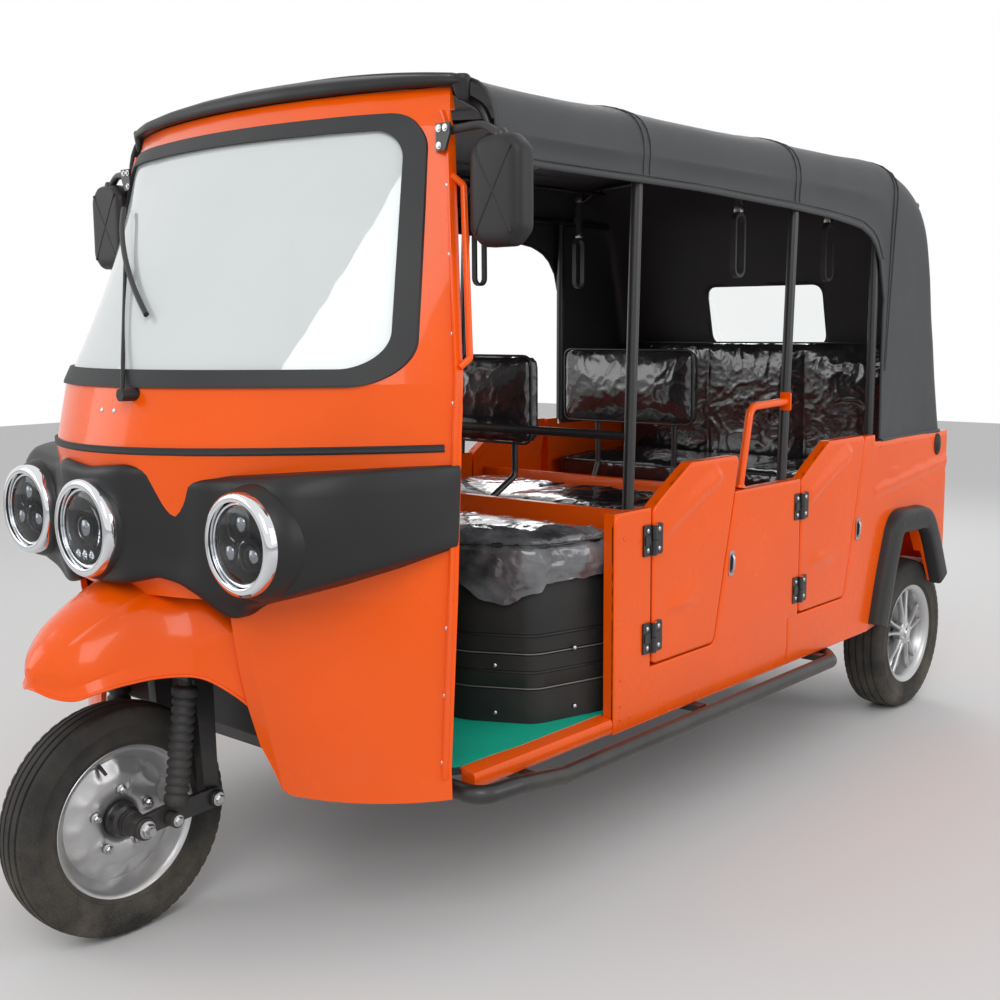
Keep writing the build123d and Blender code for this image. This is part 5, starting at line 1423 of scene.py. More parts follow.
class RICKSHAW_OT_nose_trim(PieceOperator, bpy.types.Operator):
    """Rubber strip round the waist of the nose, screws, and the flanges of the doorway pillars"""
    bl_idname = "rickshaw.nose_trim"
    bl_label = "Nose trim"

    def execute(self, context):
        skin = surface_of("front_cowl")
        strip, path = Shape(), []
        for k in range(81):
            x = between(-0.612, 0.612, k / 80)
            height = 1.067 + 0.004 * abs(x)
            place, normal = hit(skin, (x, -3, height), (0, 1, 0))
            path.append((place, normal))
        rings = []
        for place, normal in path:
            up = Vector((0, 0, 1))
            section = [(-0.0080, -0.001), (-0.0078, 0.003), (-0.0055, 0.0056), (-0.002, 0.0048), (0.002, 0.0048),
                       (0.0055, 0.0056), (0.0078, 0.003), (0.0080, -0.001)]
            rings.append([place + up * u + normal * d for u, d in section])
        strip.loft(rings)
        strip.make("nose_trim_strip", "rubber", smooth=60)

        screws = Shape()
        for x, height in ((0.020, 1.147), (0.060, 1.147)):
            place, normal = hit(skin, (x, -3, height), (0, 1, 0))
            screws.screw(place, normal, 0.0055, 0.0022)
        for height in (0.42, 0.56, 0.70, 1.16, 1.30, 1.46, 1.60):
            place, normal = hit(skin, (1.2, pillar_station(height) - 0.016 - AXLE_SETBACK, height), (-1, 0, 0))
            for sx in (1, -1):
                screws.screw(Vector((place.x * sx, place.y, place.z)), (normal.x * sx, normal.y, normal.z),
                             0.0045, 0.002)
        screws.make("nose_screws", "bright_steel", smooth=40)

        flange = Shape()
        rings = []
        for k in range(41):
            height = between(0.385, 1.752, k / 40)
            station = pillar_station(height) - AXLE_SETBACK
            place, normal = hit(skin, (1.2, station - 0.010, height), (-1, 0, 0))
            x, y = place.x, station
            rings.append([Vector((x + 0.0035, y - 0.020, height)), Vector((x + 0.0035, y + 0.002, height)),
                          Vector((x + 0.0005, y + 0.006, height)), Vector((x - 0.018, y + 0.006, height)),
                          Vector((x - 0.018, y + 0.002, height)), Vector((x - 0.002, y - 0.002, height)),
                          Vector((x - 0.002, y - 0.020, height))])
        flange.loft(rings)
        flange.mirrored().make("pillar_flanges", "orange_paint", smooth=40)
        return {"FINISHED"}


def pillar_station(height):
    """Station of the rear edge of a windscreen pillar, in metres."""
    return interpolate([(0.200, 0.386), (0.405, 0.390), (0.760, 0.417), (1.090, 0.440), (1.200, 0.452), (1.700, 0.500),
                        (1.755, 0.503)], height)


# ---------------------------------------------------------------- doors and sides
DOORS = {"front": 1.100, "rear": 1.850}      # with the station of each hinge line
SIDES = (("left", 1), ("right", -1))
DOOR_OUTLINE = [(0.004, 0.483), (0.290, 0.483), (0.410, 0.970), (0.175, 0.970), (0.060, 0.905), (0.004, 0.870)]
HINGE_HEIGHTS = (0.553, 0.796)
BARREL = [(0.0, 0.0), (0.0, 0.0074), (0.0005, 0.0079), (0.0355, 0.0079), (0.0362, 0.0074), (0.0362, 0.0)]
LEAF_HALF = 0.0385           # half the height of a hinge leaf
HINGE_PIN = 0.658            # distance of the pins from the middle
DOOR_FOOT = 0.483            # height of the doors' lower edge
LATCH_PULL = ((0.655, -0.001, -0.022), (0.661, 0, -0.016), (0.6625, 0.001, 0), (0.661, 0.003, 0.016),
              (0.655, 0.004, 0.022))
RIVETS = ((0.985, 0.812), (1.045, 0.800), (0.972, 0.470), (0.972, 0.405), (0.972, 0.372), (1.010, 0.372),
          (1.468, 0.700), (1.560, 0.860), (2.300, 0.960), (2.372, 0.928), (2.560, 0.928), (2.760, 0.928),
          (1.700, 0.372), (1.300, 0.372))
MARKER = (2.812, 0.903)      # (station, height) of the side marker's middle


def swell(value, middle, half):
    """Soft hump of height 1 and the given half width."""
    t = abs(value - middle) / half
    return 0.0 if t >= 1 else (0.5 + 0.5 * math.cos(math.pi * t))


def line_distance(p, line):
    """Signed distance from a point to a broken line (positive above it), and the share of the way along it."""
    best = (1e9, 0.0, 1.0)
    total = sum((Vector(b) - Vector(a)).length for a, b in zip(line, line[1:]))
    run = 0.0
    for a, b in zip(line, line[1:]):
        a, b = Vector(a), Vector(b)
        d = b - a
        t = min(max((Vector(p) - a).dot(d) / d.length_squared, 0), 1)
        off = Vector(p) - a - d * t
        if off.length < best[0]:
            side = 1.0 if d.x * off.y - d.y * off.x >= 0 else -1.0
            best = (off.length, (run + d.length * t) / total, side)
        run += d.length
    return best[0] * best[2], best[1]


def door_relief(along, height, press):
    """Height of the pressing over the flat of a door, measured from the hinge edge."""
    crease = [(0.045, 0.790), (0.140, 0.838), (0.245, 0.886), (0.300, 0.905), (0.322, 0.930)]
    off, share = line_distance((along, height), crease)
    raised = smooth_step(-0.0075, 0.0035, off) * smooth_step(0.0, 0.10, share) * (1 - smooth_step(0.96, 1.0, share))
    plateau = raised * (1 - smooth_step(0.0, 0.060, off)) * press
    bulge = swell(along, 0.135, 0.105) * (swell(height, 0.612, 0.014) if height < 0.612
                                          else swell(height, 0.612, 0.055))
    return plateau + bulge * press * 1.6


class RICKSHAW_OT_door_skins(PieceOperator, bpy.types.Operator):
    """Pressed skins of the four half doors, with their folded edges"""
    bl_idname = "rickshaw.door_skins"
    bl_label = "Door skins"

    def execute(self, context):
        press = context.scene.rickshaw_sizes.press
        for row, hinge in DOORS.items():
            outline = [tuple(p) for p in rounded([(hinge + a, z) for a, z in DOOR_OUTLINE],
                                                 [0.018] * 2 + [0.03] * 2 + [0.05, 0.02], 5)]

            def place(station, height, edge):
                x = BODY_FACE + 0.0022 + door_relief(station - hinge, height, press) - rolled(edge, 0.0055) * 0.9
                return at(x, station, height)

            sheet, border = pressed_sheet(outline, place, 0.0075, 0.0055)
            rows = [[place(u, v, 0.0) for u, v in border],
                    [at(BODY_FACE - 0.010, u, v) for u, v in border]]
            rim = Shape().loft(rows, caps=False)
            sheet.add(rim.verts, rim.faces)
            inner = Shape()
            frame_line = [(hinge + 0.03, 0.51), (hinge + 0.275, 0.51), (hinge + 0.365, 0.94), (hinge + 0.185, 0.94),
                          (hinge + 0.03, 0.855)]
            inner.plate([tuple(p) for p in rounded(frame_line, 0.02)],
                        on_side, 0.6175, 0.6205)
            for height in (0.60, 0.74):
                inner.tube([at(0.6165, hinge + 0.05, height),
                            at(0.6165, hinge + 0.26 + (height - 0.6) * 0.25, height)], 0.006, sides=8)
            for side, turn in SIDES:
                body = f"{row}_{side}_door_body"
                for shape, name, smooth in ((sheet, "skin", 50), (inner, "lining", 35)):
                    half = shape.moved(lambda v: Vector((v.x * turn, v.y, v.z)))
                    half.make(f"{row}_{side}_door_{name}", "orange_paint", body, smooth=smooth)
        return {"FINISHED"}


def hinge_cover(shape, bolts, hinge, height, turn, moving):
    """Rounded leaf of a door hinge over its plain CAD leaf, with two bolts."""
    side = 1 if moving else -1
    u0, u1 = sorted((hinge + side * 0.0085, hinge + side * 0.0405))
    outline = rounded([(u0, height - LEAF_HALF), (u1, height - LEAF_HALF), (u1, height + LEAF_HALF),
                       (u0, height + LEAF_HALF)], 0.008)
    shape.plate(outline, lambda u, v, w: at(w * turn, u, v), 0.6508, 0.6565)
    shape.plate([tuple(p) for p in rounded([(u0 + 0.004, height - 0.012), (u1 - 0.006, height - 0.012),
                                            (u1 - 0.006, height + 0.012), (u0 + 0.004, height + 0.012)], 0.005)],
                lambda u, v, w: at(w * turn, u, v), 0.6560, 0.6590)
    for dz in (-0.024, 0.024):
        bolts.screw(at(0.6565 * turn, hinge + side * 0.024, height + dz), (turn, 0, 0), 0.0062, 0.0034)


class RICKSHAW_OT_hinges(PieceOperator, bpy.types.Operator):
    """Black hinge leaves with bright bolts, fixed and moving halves"""
    bl_idname = "rickshaw.hinges"
    bl_label = "Door hinges"

    def execute(self, context):
        fixed, fixed_bolts = Shape(), Shape()
        for row, hinge in DOORS.items():
            for side, turn in SIDES:
                leaf, bolts = Shape(), Shape()
                for height in HINGE_HEIGHTS:
                    hinge_cover(leaf, bolts, hinge, height, turn, True)
                    hinge_cover(fixed, fixed_bolts, hinge, height, turn, False)
                    leaf.lathe(BARREL, at(HINGE_PIN * turn, hinge, height + 0.0010), (0, 0, 1), steps=24)
                    fixed.lathe(BARREL, at(HINGE_PIN * turn, hinge, height - LEAF_HALF), (0, 0, 1), steps=24)
                body = f"{row}_{side}_door_body"
                leaf.make(f"{row}_{side}_hinge_leaves", "black_paint", body, smooth=40, bevel=0.0006)
                bolts.make(f"{row}_{side}_hinge_bolts", "bright_steel", body, smooth=40)
        fixed.make("fixed_hinge_leaves", "black_paint", smooth=40, bevel=0.0006)
        fixed_bolts.make("fixed_hinge_bolts", "bright_steel", smooth=40)
        return {"FINISHED"}


def along_door(height):
    """Distance of a door's rear edge behind its hinge line, at a height."""
    return 0.290 + (height - DOOR_FOOT) * 0.120 / 0.487


class RICKSHAW_OT_side_skins(PieceOperator, bpy.types.Operator):
    """Pressed skins of the side panels and rear quarters"""
    bl_idname = "rickshaw.side_skins"
    bl_label = "Side skins"

    def execute(self, context):
        gap = 0.003
        front, rear = DOORS["front"], DOORS["rear"]
        low = 0.478
        panel = [(0.945, 0.340), (1.788, 0.340), (1.788, 0.473), (rear - gap, 0.473), (rear - gap, 0.875),
                 (front + along_door(0.875) + 0.005, 0.875), (front + along_door(low) + 0.003, low),
                 (front - gap, low - 0.001), (front - gap, 0.875), (0.945, 0.875)]
        corners = [0.004, 0.003, 0.003, 0.003, 0.006, 0.004, 0.014, 0.004, 0.010, 0.030]

        def panel_place(station, height, edge):
            lift = 0.0
            off, _ = line_distance((station, height), [(front + 0.29, 0.478), (1.787, 0.478)])
            if station > front + 0.28:
                lift += 0.0016 * smooth_step(-0.004, 0.004, off)
            x = BODY_FACE + 0.0020 + lift - rolled(edge, 0.005) * 0.9
            if station < 1.09:
                x -= 0.0006
            return at(x, station, height)

        quarter = [(1.792, 0.340), (2.308, 0.340), (2.330, 0.352), (2.444, 0.696), (2.708, 0.687), (2.862, 0.436),
                   (2.901, 0.424), (2.901, 0.944), (2.332, 0.944), (2.330, 0.967), (2.270, 0.967),
                   (rear + along_door(0.967) + 0.005, 0.967), (rear + along_door(low) + 0.003, low),
                   (1.792, low - 0.001)]
        quarter_corners = [0.003, 0.01, 0.006, 0.03, 0.03, 0.01, 0.004, 0.004, 0.006, 0.004, 0.012, 0.004, 0.014,
                           0.003]

        def quarter_place(station, height, edge):
            off, _ = line_distance((station, height), [(2.325, 0.757), (2.895, 0.815)])
            channel = swell(off, 0.0, 0.012) * smooth_step(2.322, 2.350, station)
            lift = 0.003 * smooth_step(0.0, 0.02, off) * (1 - smooth_step(0.035, 0.045, off)) * smooth_step(2.322,
                    2.350, station)
            off2, _ = line_distance((station, height), [(2.395, 0.835), (2.60, 0.852)])
            lift += 0.0025 * swell(off2, 0.0, 0.010) * swell(station, 2.50, 0.13)
            x = BODY_FACE + 0.0020 + lift - 0.0018 * channel - rolled(edge, 0.005) * 0.9
            return at(x, station, height)

        for name, line, radii, place in (("side_panel", panel, corners, panel_place),
                                         ("rear_quarter", quarter, quarter_corners, quarter_place)):
            outline = [tuple(p) for p in rounded(line, radii, 4)]
            sheet, border = pressed_sheet(outline, place, 0.0125, 0.005)
            rows = [[place(u, v, 0.0) for u, v in border],
                    [at(BODY_FACE - 0.006, u, v) for u, v in border]]
            rim = Shape().loft(rows, caps=False)
            sheet.add(rim.verts, rim.faces)
            sheet.mirrored().make(name + "_skins", "orange_paint", smooth=50)
        return {"FINISHED"}


class RICKSHAW_OT_side_fittings(PieceOperator, bpy.types.Operator):
    """Door latches, rivets, side markers and grab-rail flanges"""
    bl_idname = "rickshaw.side_fittings"
    bl_label = "Side fittings"

    def execute(self, context):
        latches, slots, rivets, markers, marker_rims, flanges = Shape(), Shape(), Shape(), Shape(), Shape(), Shape()
        out = (1, 0, 0)
        for hinge in DOORS.values():
            u, v = hinge + 0.368, 0.683
            outer = rounded([(u - 0.012, v - 0.034), (u + 0.012, v - 0.034), (u + 0.015, v + 0.034),
                             (u - 0.009, v + 0.034)], 0.007)
            latches.plate(outer, on_side, 0.6525, 0.6560)
            pull = [Vector((x, u - AXLE_SETBACK + du, v + dv)) for x, du, dv in LATCH_PULL]
            latches.tube(spline(pull, 5), 0.0038, sides=10)
            # Painted shade: a thin dark plate on the latch plate stands for the shaded hollow of the recess under the
            # pull.
            inner = rounded([(u - 0.0065, v - 0.025), (u + 0.0065, v - 0.025), (u + 0.009, v + 0.025),
                             (u - 0.004, v + 0.025)], 0.005)
            slots.plate(inner, on_side, 0.6555, 0.6566)
        for station, height in RIVETS:
            rivets.screw(at(0.6520, station, height), out, 0.0042, 0.0018)
        ring = [(math.cos(a) * 0.021, math.sin(a) * 0.034) for a in (2 * math.pi * k / 32 for k in range(32))]
        for shape, steps in ((marker_rims, ((0.651, 1.10), (0.6565, 1.06), (0.6585, 0.92), (0.6565, 0.80))),
                             (markers, ((0.6560, 0.80), (0.6605, 0.66), (0.6625, 0.40), (0.6630, 0.12)))):
            shape.loft([[Vector((x, MARKER[0] - AXLE_SETBACK + a * s, MARKER[1] + b * s)) for a, b in ring]
                        for x, s in steps])
        top = at(0.630, 1.790, 1.098)
        flanges.plate(rounded([(-0.017, -0.026), (0.017, -0.026), (0.017, 0.026), (-0.017, 0.026)], 0.006),
                      lambda a, b, w: top + Vector((a, w, b)), -0.004, 0.002)
        flanges.lathe([(0.0, 0.011), (0.0, 0.018), (0.006, 0.017), (0.012, 0.0118)], at(0.630, 1.545, 0.876),
                      Vector((0, 0.05, 0.217)), steps=24)
        latches.mirrored().make("door_latches", "bright_steel", smooth=40, bevel=0.0006)
        slots.mirrored().make("latch_recesses", "inner_black", slot="black_plastic", smooth=40)
        rivets.mirrored().make("side_rivets", "orange_paint", smooth=50)
        marker_rims.mirrored().make("side_marker_rims", "rubber", smooth=45)
        markers.mirrored().make("side_markers", "black_plastic", smooth=60)
        flanges.mirrored().make("grab_rail_flanges", "orange_paint", smooth=40, bevel=0.001)
        return {"FINISHED"}


class RICKSHAW_OT_arch_flares(PieceOperator, bpy.types.Operator):
    """Moulded flares round the rear wheel openings"""
    bl_idname = "rickshaw.arch_flares"
    bl_label = "Wheel arch flares"

    def execute(self, context):
        middle = [(2.357, 0.354), (2.398, 0.494), (2.440, 0.610), (2.4620, 0.655), (2.500, 0.674), (2.590, 0.672),
                  (2.672, 0.668), (2.712, 0.648), (2.752, 0.592), (2.792, 0.520), (2.834, 0.440)]
        line = spline([Vector((0, a, b)) for a, b in middle], 5)
        half = 0.037
        shape, rings = Shape(), []
        for i, p in enumerate(line):
            run = (line[min(i + 1, len(line) - 1)] - line[max(i - 1, 0)]).normalized()
            out = Vector((0, -run.z, run.y))
            section = [(-half, 0.6505), (-half, 0.684), (-half + 0.004, 0.6885), (-half * 0.4, 0.6900),
                       (half * 0.55, 0.6895), (half - 0.007, 0.6870), (half - 0.002, 0.6800), (half + 0.001, 0.6660),
                       (half + 0.003, 0.6520), (half - 0.003, 0.6505), (half - 0.006, 0.6620),
                       (-half + 0.005, 0.6620), (-half + 0.004, 0.6505)]
            rings.append([at(x, p.y, p.z) + out * u for u, x in section])
        shape.loft(rings)
        shape.mirrored().make("arch_flare_mouldings", "black_plastic", smooth=45, replaces=["wheel_arch_flares"])
        screws = Shape()
        for i in range(4, len(line) - 2, 7):
            p = line[i]
            screws.screw(at(0.6895, p.y, p.z), (1, 0, 0), 0.0045, 0.0018)
        screws.mirrored().make("arch_flare_screws", "black_paint", smooth=40)
        return {"FINISHED"}


# ---------------------------------------------------------------- roof covering
BOWS = (0.562, 1.060, 1.790, 2.425)
CANOPY_FRONT, FAN_STATION = 0.536, 2.378
FAN_FOOT = (2.374, 0.947)      # (station, height) where the ribs of the tail's fan meet
COVER_HALF = 0.648              # half the covering's width
SHOULDER = [(COVER_HALF, 1.715), (0.6455, 1.742), (0.6365, 1.768), (0.6215, 1.790), (0.600, 1.806), (0.566, 1.820),
            (0.530, 1.829)]
CROWN_X, CROWN_EDGE, CROWN_TOP = 0.530, 1.829, 1.868
OPENING = [(0.530, 1.652), (1.299, 1.648), (1.754, 1.634), (1.990, 1.623), (2.140, 1.610), (2.217, 1.600),
           (2.285, 1.572), (2.330, 1.532), (2.360, 1.470), (2.378, 1.386)]
TAIL = [(2.378, 1.868), (2.425, 1.862), (2.480, 1.848), (2.545, 1.823), (2.600, 1.790), (2.650, 1.745), (2.690, 1.690),
        (2.717, 1.625), (2.738, 1.530), (2.775, 1.372), (2.830, 1.150), (2.884, 0.947)]
CROWN_DROP = 0.039              # fall of the crown from the middle to its edge
SIDE_POINTS, CROWN_POINTS, FOOT_POINTS = 12, 22, 16


def roof_sag(station, height_share):
    """Drop between the bows, and the soft ridges that the bows raise in the covering."""
    ahead = max((b for b in BOWS if b <= station), default=BOWS[0])
    behind = min((b for b in BOWS if b > station), default=BOWS[-1])
    if behind == ahead:
        return 0.0
    t = (station - ahead) / (behind - ahead)
    return 4 * t * (1 - t) * height_share


def tail_reach(angle):
    """Distance from the foot of the fan to the tail's profile, at an angle above the level."""
    ray = Vector((math.cos(angle), math.sin(angle)))
    foot = Vector(FAN_FOOT)
    best = None
    for a, b in zip(TAIL, TAIL[1:]):
        a, b = Vector(a), Vector(b)
        d = b - a
        cross = ray.x * d.y - ray.y * d.x
        if abs(cross) < 1e-9:
            continue
        t = ((a - foot).x * d.y - (a - foot).y * d.x) / cross
        s = ((a - foot).x * ray.y - (a - foot).y * ray.x) / cross
        if -0.02 <= s <= 1.02 and t > 0:
            best = t if best is None else max(best, t)
    return best


def wrinkle(p, strength):
    """Small soft folds of loose coated cloth."""
    q = Vector((p.x * 3.0, p.y * 5.0, p.z * 3.0))
    return strength * (noise.noise(q * 1.3) * 0.7 + noise.noise(q * 3.1) * 0.3)


def half_section():
    """Shoulder and crown of a rib, as (x, height below the top), from the side inwards."""
    points = [(x, CROWN_TOP - z) for x, z in SHOULDER]
    for k in range(1, CROWN_POINTS + 1):
        x = CROWN_X * (1 - k / CROWN_POINTS)
        drop = (CROWN_TOP - CROWN_EDGE) * (x / CROWN_X) ** 2
        points.append((x, drop))
    return points


def vertical_rib(station, sag):
    """Rib of the covering across the roof, from its hem up to the middle (left half)."""
    hem = interpolate(OPENING, station)
    top = interpolate(TAIL, station) - CROWN_TOP
    rib = []
    low = SHOULDER[0][1] + top
    for k in range(SIDE_POINTS):
        t = k / SIDE_POINTS
        z = between(hem, low, t)
        x = COVER_HALF - 0.006 * math.sin(math.pi * min(t + 0.15, 1)) * (0.4 + roof_sag(station, 0.8))
        rib.append(at(x, station, z))
    for x, drop in half_section():
        share = 1 - abs(x) / 0.66
        lower = sag * roof_sag(station, 1.0) * (0.35 + 0.65 * smooth_step(0.0, 0.6, share))
        rib.append(at(x * (1 - 0.004 * roof_sag(station, 1.0)), station, CROWN_TOP + top - drop - lower))
    return rib


def fan_rib(angle):
    """Rib of the covering round the tail, from the foot of the fan up and over to the middle (left half)."""
    reach = tail_reach(angle)
    ray = Vector((math.cos(angle), math.sin(angle)))
    foot = Vector(FAN_FOOT)
    turn = smooth_step(math.radians(88), math.radians(55), angle)
    crown = between(1.0, 0.10, turn)
    tuck = between(1.0, 0.52, turn)
    section = []
    for x, drop in half_section():
        if drop > CROWN_TOP - CROWN_EDGE + 1e-6 or x > CROWN_X - 1e-6:
            x = COVER_HALF - (COVER_HALF - x) * tuck
            drop = (drop - CROWN_DROP) * tuck + CROWN_DROP * crown
        else:
            x = x / CROWN_X * (COVER_HALF - (COVER_HALF - CROWN_X) * tuck)
            drop = drop * crown
        section.append((x, drop))
    start = reach - section[0][1]
    edge = 1.386 - FAN_FOOT[1]
    rib = []
    for k in range(FOOT_POINTS + SIDE_POINTS):
        if k < FOOT_POINTS:
            length = between(0.004, edge * start / (SHOULDER[0][1] - FAN_FOOT[1]), k / FOOT_POINTS)
        else:
            length = between(edge * start / (SHOULDER[0][1] - FAN_FOOT[1]), start, (k - FOOT_POINTS) / SIDE_POINTS)
        slack = 0.005 * math.sin(math.pi * length / start) * (0.4 + 0.6 * turn)
        rib.append((COVER_HALF - slack, length))
    for x, drop in section:
        rib.append((x, reach - drop))
    return [at(x, foot.x + ray.x * length, foot.y + ray.y * length) for x, length in rib]


def both_halves(rib):
    """The whole rib from its left half."""
    return rib + [Vector((-p.x, p.y, p.z)) for p in reversed(rib[:-1])]


def canopy_grids(sag):
    """The two grids of the covering: roof with side skirts, and fan over the tail."""
    stations = []
    for a, b in zip((CANOPY_FRONT, *BOWS[:3]), (*BOWS[:3], FAN_STATION)):
        pieces = max(1, round((b - a) / 0.035))
        stations += [between(a, b, k / pieces) for k in range(pieces)]
    stations.append(FAN_STATION)
    roof = [both_halves(vertical_rib(s, sag)) for s in stations]
    steps = 46
    first = math.atan2(1.868 - FAN_FOOT[1], FAN_STATION - FAN_FOOT[0])
    fan = [both_halves(fan_rib(between(first, 0.0, k / steps))) for k in range(steps + 1)]
    skip = FOOT_POINTS
    for i, p in enumerate(roof[-1]):
        fan[0][i + skip] = p.copy()
    return roof, fan


WINDOW = (0.240, 1.235, 1.455)


class RICKSHAW_OT_canopy(PieceOperator, bpy.types.Operator):
    """Coated-cloth roof covering: one sheet over the bows and down the tail, with hem, seams and window frame"""
    bl_idname = "rickshaw.canopy"
    bl_label = "Roof covering"

    def execute(self, context):
        sizes = context.scene.rickshaw_sizes
        roof, fan = canopy_grids(sizes.sag)
        sheet = Shape().loft(roof, closed=False, caps=False)
        sheet.loft(fan, closed=False, caps=False)
        mesh = bpy.data.meshes.new("roof_covering")
        mesh.from_pydata([tuple(v) for v in sheet.verts], [], sheet.faces)
        work = bmesh.new()
        work.from_mesh(mesh)
        bmesh.ops.remove_doubles(work, verts=work.verts, dist=0.0004)
        bmesh.ops.dissolve_degenerate(work, edges=work.edges, dist=0.0003)
        bmesh.ops.recalc_face_normals(work, faces=work.faces)
        cut = [f for f in work.faces if in_window(f.calc_center_median())]
        rim = {v for f in cut for v in f.verts}
        bmesh.ops.delete(work, geom=cut, context="FACES")
        outline = window_outline(0.0)
        for v in rim:
            if v.is_valid:
                near = min(outline, key=lambda q: (q[0] - v.co.x) ** 2 + (q[1] - v.co.z) ** 2)
                v.co = tail_point(*near)
        if sum(f.normal.z for f in work.faces) < 0:
            bmesh.ops.reverse_faces(work, faces=work.faces)
        for v in work.verts:
            fold = wrinkle(v.co, 0.0028) + bow_ridge(v.co)
            v.co -= v.normal * max(0.0, 0.0012 - fold)
        work.to_mesh(mesh)
        work.free()
        cover = settle(bpy.data.objects.new("roof_covering", mesh), "canvas", "body", smooth=180, replaces=["canopy"])
        cover.modifiers.new("smooth surface", "SUBSURF").render_levels = 1
        cover.modifiers["smooth surface"].levels = 1
        thick = cover.modifiers.new("cloth", "SOLIDIFY")
        thick.thickness, thick.offset = 0.0018, -1

        hems = Shape()
        left = [rib[0] for rib in roof]
        down = [fan[0][k] for k in range(FOOT_POINTS, -1, -1)]
        for side in (1, -1):
            edge = [Vector((p.x * side, p.y, p.z)) for p in left + down[1:]]
            edge = [p - Vector((0.0025 * side, 0, 0)) for p in edge]
            hems.tube(edge, sizes.hem, sides=10, flat=0.62, up=(1, 0, 0))
        lowest = [p + Vector((0, 0, 0.001)) for p in fan[-1]]
        hems.tube(lowest, sizes.hem, sides=10, flat=0.62)
        hems.tube([p.copy() for p in roof[0]], sizes.hem * 0.8, sides=10, flat=0.62)
        hem = hems.make("roof_hem", "canvas", smooth=60)

        seams = Shape()
        for station in (1.060, 1.086, 1.790, 1.816):
            rib = both_halves(vertical_rib(station, sizes.sag))
            seams.tube(rib[2:-2], 0.0016, sides=6)
        for degrees in (86.5, 84.6):
            rib = both_halves(fan_rib(math.radians(degrees)))
            seams.tube(rib[FOOT_POINTS // 2:-FOOT_POINTS // 2], 0.0024, sides=8)
        for side in (1, -1):
            low = [vertical_rib(between(0.545, 2.36, s / 51), sizes.sag)[2] for s in range(52)]
            seams.tube([Vector(((p.x + 0.0006) * side, p.y, p.z)) for p in low], 0.0013, sides=6)
        stitched = seams.make("roof_seams", "canvas", smooth=60)

        back, band = Vector((0, 1, 0.25)).normalized(), Shape()
        edges = [[tail_point(x, z) + back * stand for x, z in window_outline(grow)]
                 for grow, stand in ((0.022, 0.0006), (0.020, 0.0026), (0.003, 0.0030), (-0.004, 0.0018),
                                     (-0.004, -0.0030), (0.020, -0.0030))]
        band.loft([list(ring) for ring in zip(*edges)], loop=True)
        window = band.make("rear_window_border", "canvas", smooth=50)
        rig.sheet(cover, flat=COVER_FLAT, held="stretched", rests_on=["canopy_bows", "canopy_frame", "rear_quarters"],
                 area=COVER_AREA, with_pieces=[hem, stitched, window])
        return {"FINISHED"}


COVER_FLAT = (2.32, 2.97)
COVER_AREA = 4.86


def tail_point(x, height):
    """Point of the covering's back at a height."""
    station = interpolate([(z, s) for s, z in reversed(TAIL)], height)
    return at(x, station, height)


def window_outline(grow):
    """Outline of the window, (x, height), moved outwards by grow."""
    half, low, high = WINDOW
    corners = [(-half - grow, low - grow), (half + grow, low - grow), (half + grow, high + grow),
               (-half - grow, high + grow)]
    line = rounded(corners, 0.045 + grow, 8)
    fine = []
    for a, b in zip(line, line[1:] + line[:1]):
        pieces = 1 if math.dist(a, b) < 0.05 else 20 if abs(a[0] - b[0]) > 0.1 else 8
        fine += [(between(a[0], b[0], k / pieces), between(a[1], b[1], k / pieces)) for k in range(pieces)]
    return fine


def in_window(p):
    """Whether a point of the back lies in the window."""
    half, low, high = WINDOW
    if p.y < 1.25 or abs(p.x) > half or not low < p.z < high:
        return False
    dx, dz = max(abs(p.x) - (half - 0.045), 0), max(abs(p.z - (low + high) / 2) - ((high - low) / 2 - 0.045), 0)
    return math.hypot(dx, dz) < 0.045


def bow_ridge(p):
    """How far a bow under the covering holds it up, against the sag beside it."""
    if p.z < 1.70:
        return 0.0
    return sum(0.0020 * swell(p.y + AXLE_SETBACK, b, 0.035) for b in BOWS[1:])


# ---------------------------------------------------------------- visor
VISOR_HALF, VISOR_BACK = 0.588, 0.5335    # half width, and the station of its back edge
# Station of the front edge, by the share of the way out to the side.
VISOR_LEAD = [(0.0, 0.384), (0.25, 0.390), (0.5, 0.410), (0.75, 0.443), (0.92, 0.482), (1.0, 0.508)]


